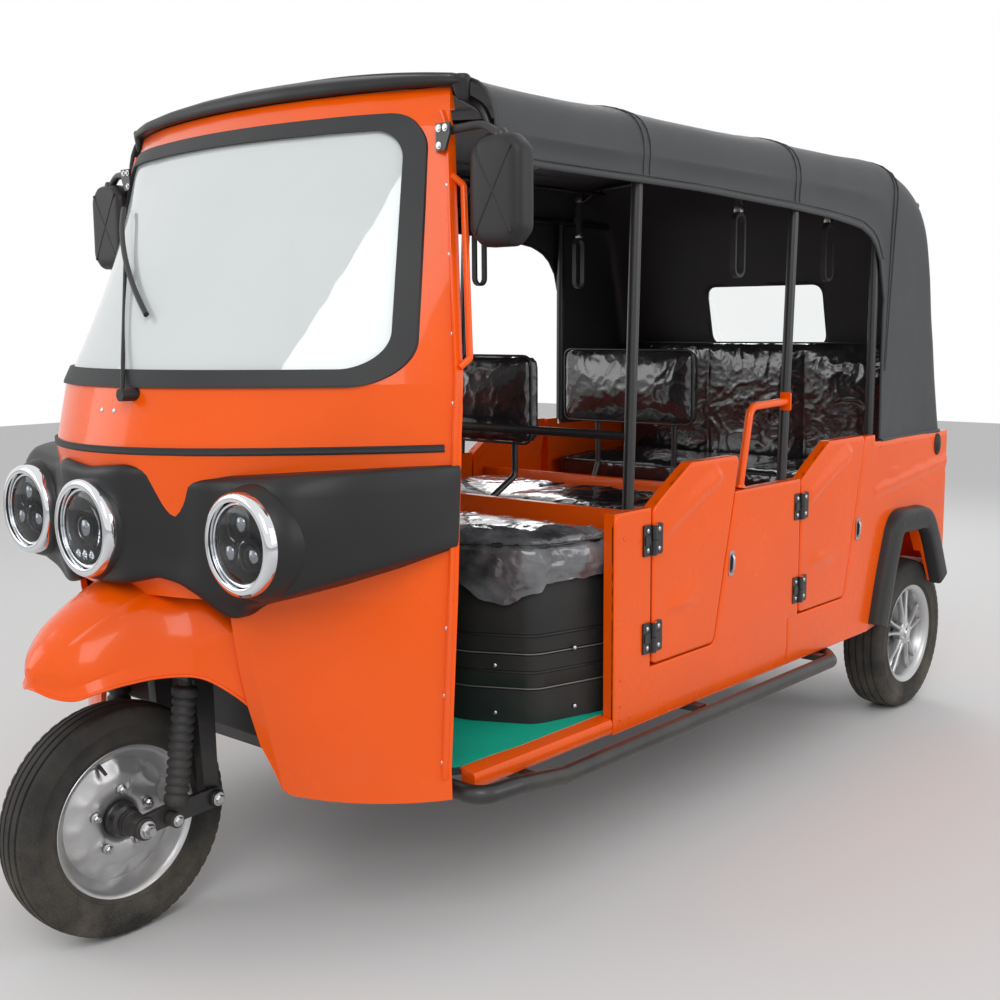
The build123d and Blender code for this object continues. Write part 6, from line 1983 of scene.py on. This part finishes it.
class RICKSHAW_OT_visor(PieceOperator, bpy.types.Operator):
    """Moulded visor over the windscreen header, its ends lapping down over the corners"""
    bl_idname = "rickshaw.visor"
    bl_label = "Roof visor"

    def execute(self, context):
        shape, rings = Shape(), []
        steps = 48
        for k in range(steps + 1):
            u = between(-1, 1, k / steps)
            x = VISOR_HALF * math.copysign(abs(u) ** 0.96, u)
            share = abs(x) / VISOR_HALF
            lead = interpolate(VISOR_LEAD, share) - AXLE_SETBACK
            back = VISOR_BACK - AXLE_SETBACK
            roof = (CROWN_TOP - CROWN_DROP * min(abs(x) / CROWN_X, 1) ** 2
                    - 0.012 * smooth_step(0.93, 1.0, share) - 0.0015)
            lip = 1.832 - 0.013 * share ** 2 - 0.006 * smooth_step(0.9, 1.0, share)
            under = 1.8015
            span = back - lead
            rings.append([
                Vector((x, lead + 0.012, under)), Vector((x, lead + 0.001, under + 0.002)),
                Vector((x, lead - 0.001, between(under, lip, 0.5))), Vector((x, lead + 0.002, lip - 0.003)),
                Vector((x, lead + 0.008, lip + 0.002)), Vector((x, lead + span * 0.35, between(lip, roof, 0.52))),
                Vector((x, lead + span * 0.7, between(lip, roof, 0.86))), Vector((x, back - 0.006, roof)),
                Vector((x, back, roof - 0.003)), Vector((x, back, under)),
            ])
        shape.loft(rings)
        for side in (1, -1):
            lobe = []
            for t in (0, 0.25, 0.5, 0.75, 1.0):
                height = between(1.826, 1.768, t)
                y0 = between(0.500, 0.512, t) - AXLE_SETBACK
                y1 = VISOR_BACK - AXLE_SETBACK - 0.004 * t * t
                x1 = between(0.590, 0.585, t)
                x0 = between(0.540, 0.566, t)
                lobe.append([Vector((x0 * side, y0 - 0.006, height)),
                             Vector((between(x0, x1, 0.6) * side, y0 - 0.004, height)), Vector((x1 * side, y0 + 0.006,
                                     height)), Vector(((x1 + 0.003) * side, (y0 + y1) / 2, height)),
                             Vector((x1 * side, y1, height)), Vector((x0 * side, y1, height))])
            shape.loft(lobe)
        shape.make("visor_moulding", "black_plastic", smooth=50, replaces=["roof_visor"], subdivide=1)
        return {"FINISHED"}


# ---------------------------------------------------------------- seats
PLAN = [(-0.390, 0.700), (0.390, 0.700), (0.545, 0.780), (0.600, 0.975), (0.600, 1.030), (-0.600, 1.030),
        (-0.600, 0.975), (-0.545, 0.780)]


def inset_outline(outline, amount):
    """Closed outline (counter-clockwise) moved inwards by an amount."""
    count, moved = len(outline), []
    for i in range(count):
        a, b, c = (Vector(outline[(i + k - 1) % count]) for k in range(3))
        u, v = (b - a).normalized(), (c - b).normalized()
        nu, nv = Vector((-u.y, u.x)), Vector((-v.y, v.x))
        bisector = (nu + nv) / max(0.2, 1 + nu.dot(nv))
        moved.append(b + bisector * amount)
    return moved


def slack_form(outline, low, high, edge, place, corner=0.03):
    """Closed cushion form before filling: outline (u, v), thickness from low to high, rounded edges."""
    levels = [(low, edge * 0.6), (low + edge * 0.25, edge * 0.15), (low + edge * 0.6, 0.0), (high - edge, 0.0),
              (high - edge * 0.4, edge * 0.22), (high, edge * 0.9)]
    form = Shape()
    form.loft([[place(p.x, p.y, w) for p in rounded(inset_outline(outline, amount), corner, 5)]
               for w, amount in levels])
    return form


def evaluated_copy(obj):
    """Mesh of an object with its modifiers applied."""
    return bpy.data.meshes.new_from_object(obj.evaluated_get(bpy.context.evaluated_depsgraph_get()))


def with_modifier(obj, kind, **values):
    """Applies one modifier to an object."""
    step = obj.modifiers.new("step", kind)
    for key, value in values.items():
        setattr(step, key, value)
    mesh = evaluated_copy(obj)
    obj.modifiers.clear()
    old, obj.data = obj.data, mesh
    bpy.data.meshes.remove(old)


def fill_cover(obj, pinned, reach):
    """Fills a cover by a cloth simulation with pressure inside. pinned(point) tells which points seams hold."""
    rest = [v.co.copy() for v in obj.data.vertices]
    group = obj.vertex_groups.new(name="seams")
    group.add([i for i, p in enumerate(rest) if pinned(p)], 1.0, "REPLACE")
    cloth = obj.modifiers.new("filling", "CLOTH")
    values = cloth.settings
    values.quality, values.mass, values.tension_stiffness, values.compression_stiffness = 4, 0.3, 12, 12
    values.shear_stiffness, values.bending_stiffness = 6, 0.6
    values.use_pressure, values.uniform_pressure_force = True, 4.0
    values.vertex_group_mass, values.pin_stiffness = "seams", 1.0
    values.effector_weights.gravity = 0
    cloth.collision_settings.use_collision = False
    scene = bpy.context.scene
    for frame in range(1, 21):
        scene.frame_set(frame)
    mesh = evaluated_copy(obj)
    obj.modifiers.clear()
    held = []
    for v, start in zip(mesh.vertices, rest):
        move = v.co - start
        held.extend(start + move * min(1.0, reach / max(move.length, 1e-9)))
    mesh.vertices.foreach_set("co", held)
    mesh.update()
    obj.data = mesh
    scene.frame_set(1)


def crinkle(p, size):
    """Height of the creases of loose film at a point, from 0 to 1."""
    q = Vector(p) / size
    bent = q + Vector((noise.noise(q * 0.7 + Vector((7, 1, 3))), noise.noise(q * 0.7 + Vector((2, 9, 4))), 0)) * 0.9
    a = 1 - abs(noise.noise(bent)) * 2.2
    b = 1 - abs(noise.noise(bent * 2.3 + Vector((3, 5, 8)))) * 2.2
    return max(0.0, a) ** 2 * 0.65 + max(0.0, b) ** 2 * 0.35


class Cushion:
    """One stuffed seat piece in its own coordinates: outline (u, v), thickness w, outwards from what carries it."""

    def __init__(self, name, outline, low, high, place, back, seams=(), edge=0.022, corner=0.03, crease=0.002,
                 material="wrapped_vinyl"):
        self.name, self.outline, self.low, self.high = name, outline, low, high
        self.place, self.back, self.seams, self.edge, self.corner = place, back, seams, edge, corner
        self.crease, self.material = crease, material

    def build(self, sizes, replaces):
        """Simulated cover, then its seams, and creases where film lies over it."""
        inner = inset_outline(self.outline, 0.004)
        form = slack_form(inner, self.low, self.high - 0.004, self.edge, self.place, self.corner)
        mesh = bpy.data.meshes.new(self.name)
        mesh.from_pydata([tuple(v) for v in form.verts], [], form.faces)
        obj = bpy.data.objects.new(self.name, mesh)
        bpy.context.scene.collection.objects.link(obj)
        voxel = sizes.voxel
        with_modifier(obj, "REMESH", mode="VOXEL", voxel_size=voxel)
        level = self.high - 0.004 - self.edge * 0.8

        def pinned(p):
            u, v, w = self.back(p)
            near = any(abs(u - s) < voxel * 0.55 for s in self.seams) and w > self.low + voxel
            return near or w < self.low + voxel * 1.2 or abs(w - level) < voxel * 0.5 and self.beside(u, v)

        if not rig.quick():
            fill_cover(obj, pinned, sizes.cushion_swell)
        with_modifier(obj, "SUBSURF", levels=1, render_levels=1)
        shaped = []
        for v in obj.data.vertices:
            co = v.co.copy()
            u, _, w = self.back(co)
            if w > self.low + 0.010:
                groove = max((swell(u, s, 0.012) for s in self.seams), default=0.0)
                co -= v.normal * (0.003 * groove + self.crease * (1 - crinkle(co, 0.065)) * (1 - groove))
            shaped.extend(co)
        obj.data.vertices.foreach_set("co", shaped)
        obj.data.update()
        piece = settle(obj, self.material, "body", smooth=180, replaces=replaces)
        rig.padded(piece, fill=0.75)
        piping = Shape()
        line = [self.place(p.x, p.y, level) for p in rounded(inset_outline(self.outline, 0.0035), self.corner, 6)]
        piping.tube(fine_line(line, 0.03), 0.0035, sides=8, closed=True)
        piping.make(self.name + "_piping", "vinyl", smooth=60)
        return piece

    def beside(self, u, v):
        """Whether a point lies near the outline, where the piping runs."""
        return edge_distance(self.outline, (u, v)) < self.edge + 0.012


def fine_line(points, step):
    """Closed line with long runs cut into steps."""
    result = []
    for a, b in zip(points, points[1:] + points[:1]):
        pieces = max(1, round((b - a).length / step))
        result += [a.lerp(b, k / pieces) for k in range(pieces)]
    return result


def seat_back(p):
    """Seat coordinates of a point."""
    return p.x, p.y + AXLE_SETBACK, p.z


def rest_place(station, lean=0.0):
    """Placement of a backrest whose back face stands at a station and leans by a slope."""
    def place(u, v, w):
        return at(u, station - w + lean * (v - 0.76), v)

    def back(p):
        return p.x, p.z, station + lean * (p.z - 0.76) - (p.y + AXLE_SETBACK)
    return place, back


def rectangle(u0, u1, v0, v1):
    """Outline of a rectangle, counter-clockwise."""
    return [(u0, v0), (u1, v0), (u1, v1), (u0, v1)]


SEAMS = (-0.2, 0.2)                  # sewn lines that divide a row into three places
DRIVER_SEAT = (0.742, 0.829)         # foot and top of the driver's cushion
BENCHES = (
    # name, outline, foot, top, node
    ("middle_cushion", rectangle(-0.598, 0.598, 1.462, 1.898), 0.735, 0.801, "middle_seat_cushion"),
    ("rear_cushion", rectangle(-0.598, 0.598, 2.287, 2.700), 0.760, 0.840, "rear_seat_cushion"),
)
BACKRESTS = (("driver_backrest", 1.165), ("middle_backrest", 1.945))    # with the station of the back face


class RICKSHAW_OT_seats(PieceOperator, bpy.types.Operator):
    """Seat cushions and backrests: vinyl covers filled by simulation, piped and sewn, under creased clear film"""
    bl_idname = "rickshaw.seats"
    bl_label = "Seats"

    def execute(self, context):
        sizes = context.scene.rickshaw_sizes
        driver = Cushion("driver_cushion", inset_outline(PLAN, 0.0), *DRIVER_SEAT, at, seat_back, corner=0.035,
                         crease=0.004).build(sizes, ["driver_seat_cushion"])
        for name, outline, low, high, node in BENCHES:
            Cushion(name, outline, low, high, at, seat_back, seams=SEAMS, crease=0.003).build(sizes, [node])
        for name, station in BACKRESTS:
            Cushion(name, rectangle(-0.254, 0.254, 1.001, 1.239), 0.0, 0.061, *rest_place(station), edge=0.020,
                    crease=0.0025).build(sizes, ["row_backrests"])
        Cushion("rear_backrest_pad", rectangle(-0.598, 0.598, 0.762, 1.249), 0.002, 0.074, *rest_place(2.790, -0.0286),
                seams=SEAMS, edge=0.020, crease=0.003).build(sizes, ["rear_backrest"])
        self.film(driver)
        return {"FINISHED"}

    def film(self, cushion):
        """Loose clear film over the driver's cushion, its edge hanging over the seat box."""
        tree = BVHTree.FromObject(cushion, bpy.context.evaluated_depsgraph_get())
        start = [Vector(p) for p in rounded(inset_outline(PLAN, -0.004), 0.05, 8)]
        closed = fine_line([Vector((p.x, p.y, 0)) for p in start], 0.011)
        edge = [p for p in closed if p.y < 1.010]
        jumps = max(range(len(edge)), key=lambda i: (edge[i] - edge[i - 1]).length)
        edge = edge[jumps:] + edge[:jumps]
        centre = Vector((0, 0.86, 0))
        rings = []
        total = len(edge)
        for i, p in enumerate(edge):
            along = i / (total - 1)
            ring = []
            root = Vector((p.x * 0.90, 1.018, 0))
            for k in range(27):
                t = k / 26
                q = root.lerp(p, t)
                place = tree.ray_cast(at(q.x, q.y, 0.95), Vector((0, 0, -1)))[0]
                height = place.z if place is not None else 0.80
                lift = 0.0015 + 0.007 * crinkle((q.x, q.y, 0.0), 0.07) + 0.004 * crinkle((q.x, q.y, 3.0), 0.03)
                ring.append(at(q.x, q.y, min(height + lift, 0.842)))
            out = (p - centre)
            out.z = 0
            out.normalize()
            top = ring[-1].z
            hem = (0.735 - 0.022 * (0.5 + 0.5 * noise.noise(Vector((along * 9, 2.0, 0))))
                   - 0.050 * swell(p.x, 0.47, 0.13) * (p.y < 0.80))
            hem -= 0.012 * noise.noise(Vector((along * 31, 5.0, 1.0)))
            for k in range(1, 15):
                t = k / 14
                height = between(top, hem, t)
                bulge = 0.004 + 0.010 * math.sin(math.pi * min(1, t * 1.1)) + 0.008 * crinkle((p.x, p.y, height), 0.05)
                bulge += (0.006 * crinkle((p.x, p.y, height + 4.0), 0.022)
                          + 0.006 * t * noise.noise(Vector((along * 40, 0, height * 6))))
                ring.append(at(p.x + out.x * bulge, p.y + out.y * bulge, height))
            rings.append(ring)
        film = Shape().loft(rings, closed=False, caps=False)
        cover = film.make("driver_seat_film", "loose_film", smooth=180)
        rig.sheet(cover, flat=FILM_FLAT, held="draped", rests_on=[cushion, "driver_seat_box"], area=FILM_AREA)


FILM_FLAT = (1.45, 0.52)
FILM_AREA = 0.56


# ---------------------------------------------------------------- mudguard and driver's place
MUDGUARD = [
    # station, foot (x, height), crease (x, height), crown height
    (-0.182, (0.020, 0.585), (0.016, 0.602), 0.634), (-0.165, (0.056, 0.573), (0.050, 0.590), 0.664),
    (-0.142, (0.100, 0.571), (0.090, 0.592), 0.686), (-0.110, (0.128, 0.584), (0.116, 0.606), 0.715),
    (-0.055, (0.148, 0.594), (0.136, 0.622), 0.750), (0.020, (0.170, 0.597), (0.158, 0.648), 0.786),
    (0.083, (0.212, 0.590), (0.202, 0.668), 0.796), (0.120, (0.270, 0.558), (0.262, 0.684), 0.796),
    (0.170, (0.296, 0.505), (0.290, 0.694), 0.788),
]


def mudguard_ring(row, inset):
    """Section across the mudguard from its left foot over the crown to its right foot."""
    station, foot, crease, crown = row
    fx, fz, cx, cz, top = foot[0] - inset, foot[1], crease[0] - inset, crease[1] - inset * 0.5, crown - inset
    rise = max(1e-4, top - cz)
    radius = (cx * cx + rise * rise) / (2 * rise)
    spread = math.asin(min(1.0, cx / radius)) if rise < radius else math.pi - math.asin(min(1.0, cx / radius))
    ring = [(fx, fz), (between(fx, cx, 0.35), between(fz, cz, 0.35)), (between(fx, cx, 0.75), between(fz, cz, 0.75))]
    count = 26
    for k in range(count):
        share = k / count
        groove = (0.0032 * swell(share, 0.52, 0.055) * smooth_step(-0.165, -0.120, station)
                  * smooth_step(0.125, 0.085, station))
        turn, reach = spread * (1 - share), radius - groove
        ring.append((reach * math.sin(turn), top - radius + reach * math.cos(turn)))
    ring.append((0.0, top))
    ring += [(-x, z) for x, z in reversed(ring[:-1])]
    return [at(x, station, z) for x, z in ring]


class RICKSHAW_OT_mudguard(PieceOperator, bpy.types.Operator):
    """Front mudguard: a pressed beak with rolled lower edge, its crease and the seam to the nose"""
    bl_idname = "rickshaw.mudguard"
    bl_label = "Front mudguard"

    def execute(self, context):
        columns = []
        for values in zip(*((row[1][0], row[1][1], row[2][0], row[2][1], row[3]) for row in MUDGUARD)):
            columns.append(spline([Vector((row[0], value, 0)) for row, value in zip(MUDGUARD, values)], 6))
        rows = []
        for k in range(len(columns[0])):
            values = [c[k].y for c in columns]
            rows.append((columns[0][k].x, (values[0], values[1]), (values[2], values[3]), values[4]))
        outer = [mudguard_ring(row, 0.0) for row in rows]
        inner = [mudguard_ring(row, 0.007) for row in rows]
        sheet = Shape()
        sheet.loft([a + list(reversed(b)) for a, b in zip(outer, inner)])
        tip = at(0, MUDGUARD[0][0], 0.601)
        sheet.loft([[tip + (p - tip) * size - Vector((0, ahead, 0)) for p in outer[0]]
                    for size, ahead in ((1.0, 0.0), (0.86, 0.0025), (0.6, 0.004), (0.2, 0.005))])
        sheet.make("mudguard_pressing", "orange_paint", smooth=17, replaces=["front_mudguard"])
        edge = Shape()
        line = [ring[0] for ring in reversed(outer)] + [ring[-1] for ring in outer]
        edge.tube(line, 0.0035, sides=8)
        edge.make("mudguard_edge", "orange_paint", smooth=60)
        return {"FINISHED"}


BOX_CORNERS = [0.03] * 4 + [0.008] * 2 + [0.03] * 2
BOX_TIERS = [
    # height, inset of the wall
    (0.3855, 0.0), (0.3895, -0.0), (0.464, 0.001), (0.4655, 0.004), (0.4685, 0.0055), (0.4715, 0.0035),
    (0.5035, 0.0025), (0.505, 0.0065), (0.5085, 0.0075), (0.5115, 0.004), (0.5475, 0.004), (0.549, 0.0075),
    (0.552, 0.0085), (0.5555, 0.0055), (0.5905, 0.005), (0.592, 0.009), (0.596, 0.010), (0.599, 0.0065),
    (0.731, 0.0065), (0.739, 0.009), (0.7415, 0.015),
]


class RICKSHAW_OT_seat_box(PieceOperator, bpy.types.Operator):
    """Driver's seat box: moulded tiers divided by grooves, screws, and light strips along the lower edges of the tiers
    that paint the highlights of the ledges
    """
    bl_idname = "rickshaw.seat_box"
    bl_label = "Seat box"

    def execute(self, context):
        box, beads, screws = Shape(), Shape(), Shape()
        rings = []
        for height, inset in BOX_TIERS:
            outline = rounded(inset_outline(PLAN, inset), BOX_CORNERS, 5)
            rings.append([at(p.x, p.y, height) for p in outline])
        box.loft(rings)
        box.make("seat_box_moulding", "ribbed_plastic", smooth=32, replaces=["driver_seat_box"])
        # Painted highlights: thin light strips along two ledge edges stand in for the light that the ledges catch.
        for height in (0.4685, 0.552):
            line = [at(p.x, p.y, height) for p in rounded(inset_outline(PLAN, 0.003), BOX_CORNERS, 5)
                    if p.y < 1.0]
            start = max(range(len(line)), key=lambda i: (line[i] - line[i - 1]).length)
            beads.tube(line[start:] + line[:start], 0.0017, sides=6)
        beads.make("seat_box_beads", "box_bead", smooth=60)
        for x, station, heights, out in ((0.458, 0.735, (0.523, 0.408), (0.46, -0.89, 0)),
                                         (0.578, 0.888, (0.555, 0.412), (0.96, -0.27, 0)),
                                         (0.15, 0.700, (0.523, 0.408), (0, -1, 0))):
            for height in heights:
                screws.screw(at(x, station, height), out, 0.006, 0.004)
        screws.mirrored()
        screws.make("seat_box_screws", "bright_steel", smooth=40)
        return {"FINISHED"}


class RICKSHAW_OT_sill(PieceOperator, bpy.types.Operator):
    """Painted sill under the driver's doorways, and the nosing of the floor mat"""
    bl_idname = "rickshaw.sill"
    bl_label = "Doorway sill"

    def execute(self, context):
        sill = Shape()
        outline = [(0.612, 0.344), (0.646, 0.344), (0.649, 0.348), (0.649, 0.372), (0.645, 0.378), (0.612, 0.384),
                   (0.606, 0.384), (0.606, 0.380), (0.609, 0.376)]
        rings = []
        for station in (0.452, 0.458, 0.60, 0.75, 0.90, 0.943):
            rings.append([at(x, station, z) for x, z in outline])
        sill.loft(rings)
        sill.mirrored()
        sill.make("doorway_sills", "orange_paint", smooth=40)
        return {"FINISHED"}


# ---------------------------------------------------------------- mirrors, straps and tail
def octagon(x0, x1, z0, z1, cut):
    """Outline of a rectangle with cut corners, counter-clockwise."""
    return [(x0 + cut, z0), (x1 - cut, z0), (x1, z0 + cut), (x1, z1 - cut), (x1 - cut, z1), (x0 + cut, z1),
            (x0, z1 - cut), (x0, z0 + cut)]


def domed_block(shape, outline, levels, place, corner, steps=4):
    """Closed block through levels of (depth, inset) on an outline."""
    shape.loft([[place(p.x, p.y, depth) for p in rounded(inset_outline(outline, inset), corner, steps)]
                for depth, inset in levels])


class RICKSHAW_OT_mirrors(PieceOperator, bpy.types.Operator):
    """Door mirrors: moulded shells with crossed creases, arms with brackets and bolts, and mirror glass"""
    bl_idname = "rickshaw.mirrors"
    bl_label = "Mirrors"

    def execute(self, context):
        shells, glasses, arms, bolts = Shape(), Shape(), Shape(), Shape()
        face = octagon(0.620, 0.758, 1.472, 1.692, 0.030)

        def place(x, z, depth):
            return at(x, depth, z)
        domed_block(shells, face,
                    [(0.5255, 0.008), (0.5235, 0.003), (0.515, 0.0), (0.492, 0.0), (0.483, 0.004), (0.478, 0.010),
                                   (0.4755, 0.018), (0.4745, 0.030)], place, 0.012)
        for a, b in (((0.641, 1.498), (0.737, 1.666)), ((0.737, 1.498), (0.641, 1.666))):
            line = [at(between(a[0], b[0], k / 10), 0.4748, between(a[1], b[1], k / 10)) for k in range(11)]
            shells.tube(line, 0.0035, sides=8, flat=0.5, up=(0, 1, 0))
        domed_block(glasses, face, [(0.5252, 0.0105), (0.5262, 0.0115), (0.5264, 0.016)], place, 0.010)
        line = spline([mm(545, 475, 1704), mm(600, 484, 1710), mm(650, 494, 1711), mm(690, 500, 1688)], 8)
        arms.tube(line, 0.0095, sides=14)
        arms.lathe([(0, 0), (0, 0.016), (0.006, 0.0165), (0.018, 0.013), (0.022, 0.010), (0.022, 0)],
                   mm(694, 500, 1680), (-0.15, -0.1, 1), steps=20)
        bracket = [(0.548, 1.668), (0.572, 1.668), (0.586, 1.700), (0.586, 1.722), (0.548, 1.722)]
        arms.plate(bracket, lambda u, v, w: at(u, w, v), 0.464, 0.470)
        for x, z in ((0.556, 1.678), (0.574, 1.712), (0.556, 1.712)):
            bolts.bolt(at(x, 0.464, z), (0, -1, 0), 0.005, 0.004)
        for shape in (shells, glasses, arms, bolts):
            shape.mirrored()
        shells.make("mirror_shells", "black_plastic", smooth=40, replaces=["mirrors"])
        glasses.make("mirror_glasses", "reflector", smooth=30)
        arms.make("mirror_arms", "black_paint", smooth=45)
        bolts.make("mirror_bolts", "bright_steel", smooth=30)
        return {"FINISHED"}


STRAP_PLACES = [(x, station) for x in (0.490, -0.490) for station in (1.750, 2.290)]
RAIL, LOOP_RADIUS = 1.790, 0.0105    # height of the roof rail, and the radius of a strap's loop round it


class RICKSHAW_OT_straps(PieceOperator, bpy.types.Operator):
    """Ferrules and rail loops of the hand straps"""
    bl_idname = "rickshaw.straps"
    bl_label = "Hand straps"

    def execute(self, context):
        metal, loops = Shape(), Shape()
        for x, station in STRAP_PLACES:
            for height, tall in ((1.626, 0.018), (1.752, 0.014)):
                outline = rounded(rectangle(station - 0.0085, station + 0.0085, x - 0.0115, x + 0.0115), 0.003, 3)
                rings = []
                for z, inset in ((height, 0.001), (height + 0.001, 0.0), (height + tall - 0.001, 0.0),
                                 (height + tall, 0.001)):
                    middle = Vector((station, x))
                    rings.append([at(*(middle + (p - middle) * (1 - inset * 60)).yx, z) for p in outline])
                metal.loft(rings)
            ring = [at(x, station + LOOP_RADIUS * math.cos(a), RAIL + LOOP_RADIUS * math.sin(a))
                    for a in (2 * math.pi * k / 20 for k in range(20))]
            loops.tube(ring, 0.0028, sides=8, closed=True, up=(1, 0, 0))
        metal.make("strap_ferrules", "bright_steel", smooth=35)
        loops.make("strap_loops", "strap", smooth=60)
        return {"FINISHED"}


class RICKSHAW_OT_tail(PieceOperator, bpy.types.Operator):
    """Tail: lamps in three lenses, blank plate in its holder, round reflectors and a pressed border"""
    bl_idname = "rickshaw.tail"
    bl_label = "Tail"

    def execute(self, context):
        def place(x, z, depth):
            return at(x, depth, z)
        housings, red, amber, clear = Shape(), Shape(), Shape(), Shape()
        domed_block(housings, rectangle(0.470, 0.600, 0.690, 0.850),
                    [(2.9005, 0.0), (2.910, 0.0), (2.913, 0.002), (2.9135, 0.006)], place, 0.012)
        for shape, low, high in ((red, 0.794, 0.844), (amber, 0.746, 0.791), (clear, 0.724, 0.743),
                                 (red, 0.696, 0.721)):
            domed_block(shape, rectangle(0.476, 0.594, low, high),
                        [(2.912, 0.0), (2.919, 0.0005), (2.9225, 0.003), (2.924, 0.009)], place, 0.006)
        for shape in (housings, red, amber, clear):
            shape.mirrored()
        housings.make("tail_lamp_housings", "black_plastic", smooth=40, replaces=["tail_lamps"])
        red.make("tail_lamp_red", "red_lens", smooth=40)
        amber.make("tail_lamp_amber", "amber_lens", smooth=40)
        clear.make("tail_lamp_clear", "lamp_glass", smooth=40)

        plate, holder, reflectors, screws, border = Shape(), Shape(), Shape(), Shape(), Shape()
        domed_block(plate, rectangle(-0.150, 0.150, 0.560, 0.660), [(2.9042, 0.0), (2.9052, 0.0), (2.9056, 0.001)],
                    place, 0.008)
        domed_block(holder, rectangle(-0.158, 0.158, 0.552, 0.668), [(2.8995, 0.0), (2.9035, 0.0), (2.9042, 0.0015)],
                    place, 0.010)
        holder.loft([[place(p.x, p.y, d) for p in rounded(rectangle(-0.040, 0.040, 0.672, 0.694), 0.006, 3)]
                     for d in (2.899, 2.916)])
        for x in (-0.105, 0.105):
            screws.screw(place(x, 0.645, 2.9056), (0, 1, 0), 0.005, 0.0025)
        for side in (1, -1):
            reflectors.lathe([(0.0, 0.0), (0.0, 0.026), (0.004, 0.026), (0.0055, 0.024), (0.006, 0.0)],
                             place(0.395 * side, 0.600, 2.8995), (0, 1, 0), steps=36)
        line = [place(p.x, p.y, 2.9003) for p in rounded(rectangle(-0.440, 0.440, 0.505, 0.900), 0.05, 8)]
        border.tube(fine_line(line, 0.04), 0.006, sides=10, closed=True, flat=0.5, up=(0, 1, 0))
        plate.make("blank_plate", "plate", smooth=30)
        holder.make("plate_holder", "black_plastic", smooth=30)
        reflectors.make("tail_reflectors", "red_lens", smooth=40)
        screws.make("plate_screws", "bright_steel", smooth=40)
        border.make("tail_panel_border", "orange_paint", smooth=60)
        return {"FINISHED"}


class RICKSHAW_OT_underside(PieceOperator, bpy.types.Operator):
    """Underside: leaf-spring clips and U-bolts, and cooling fins of the engine"""
    bl_idname = "rickshaw.underside"
    bl_label = "Underside"

    def execute(self, context):
        steel, fins = Shape(), Shape()
        for x in (0.300, -0.300):
            for station in (2.640, 2.752):
                u = [at(x - 0.029, station, 0.284), at(x - 0.029, station, 0.320), at(x - 0.026, station, 0.334)]
                u += [at(x + 0.026, station, 0.334), at(x + 0.029, station, 0.320), at(x + 0.029, station, 0.284)]
                steel.tube(u, 0.0045, sides=10)
                for side in (-1, 1):
                    steel.bolt(at(x + 0.029 * side, station, 0.290), (0, 0, -1), 0.007, 0.006)
        for k in range(18):
            z = 0.300 + 0.016 * k
            fins.loft([[at(p.x, p.y, h) for p in rounded(rectangle(-0.206, 0.206, 0.714, 1.006), 0.02, 4)]
                       for h in (z, z + 0.004)])
        steel.make("spring_bolts", "bright_steel", smooth=35)
        fins.make("engine_fins", "cast_metal", smooth=30)
        return {"FINISHED"}


# ---------------------------------------------------------------- panel and registration
class RICKSHAW_PT_pieces(bpy.types.Panel):
    """Lists what can be made, with the settings"""
    bl_idname = "RICKSHAW_PT_pieces"
    bl_label = "Auto rickshaw"
    bl_space_type = "VIEW_3D"
    bl_region_type = "UI"
    bl_category = "Rickshaw"

    def draw(self, context):
        for operator in OPERATORS:
            self.layout.operator(operator.bl_idname)
        for group in (context.scene.rickshaw_colours, context.scene.rickshaw_sizes):
            for name in group.__annotations__:
                self.layout.prop(group, name)


OPERATORS = [value for name, value in list(globals().items()) if name.startswith("RICKSHAW_OT_")]
CLASSES = [RickshawColours, RickshawSizes, *OPERATORS, RICKSHAW_PT_pieces]


def register():
    for cls in CLASSES:
        bpy.utils.register_class(cls)
    bpy.types.Scene.rickshaw_colours = PointerProperty(type=RickshawColours)
    bpy.types.Scene.rickshaw_sizes = PointerProperty(type=RickshawSizes)


def unregister():
    del bpy.types.Scene.rickshaw_sizes
    del bpy.types.Scene.rickshaw_colours
    for cls in reversed(CLASSES):
        bpy.utils.unregister_class(cls)


def as_lists(box):
    """A box as plain lists of numbers."""
    return [[float(v) for v in corner] for corner in box]


def main():
    """Makes every piece in order and writes how large the result is."""
    register()
    GROUPS.update(build_groups())
    for operator in OPERATORS:
        call = getattr(bpy.ops.rickshaw, operator.bl_idname.split(".")[1])
        if "FINISHED" not in call():
            raise RuntimeError(f"{operator.bl_label} did not finish")
    with open("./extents.json", "w") as file:
        json.dump({"cad": as_lists(CAD_BOX), "visual": as_lists(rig.bounds())}, file)


if __name__ == "__main__":
    main()
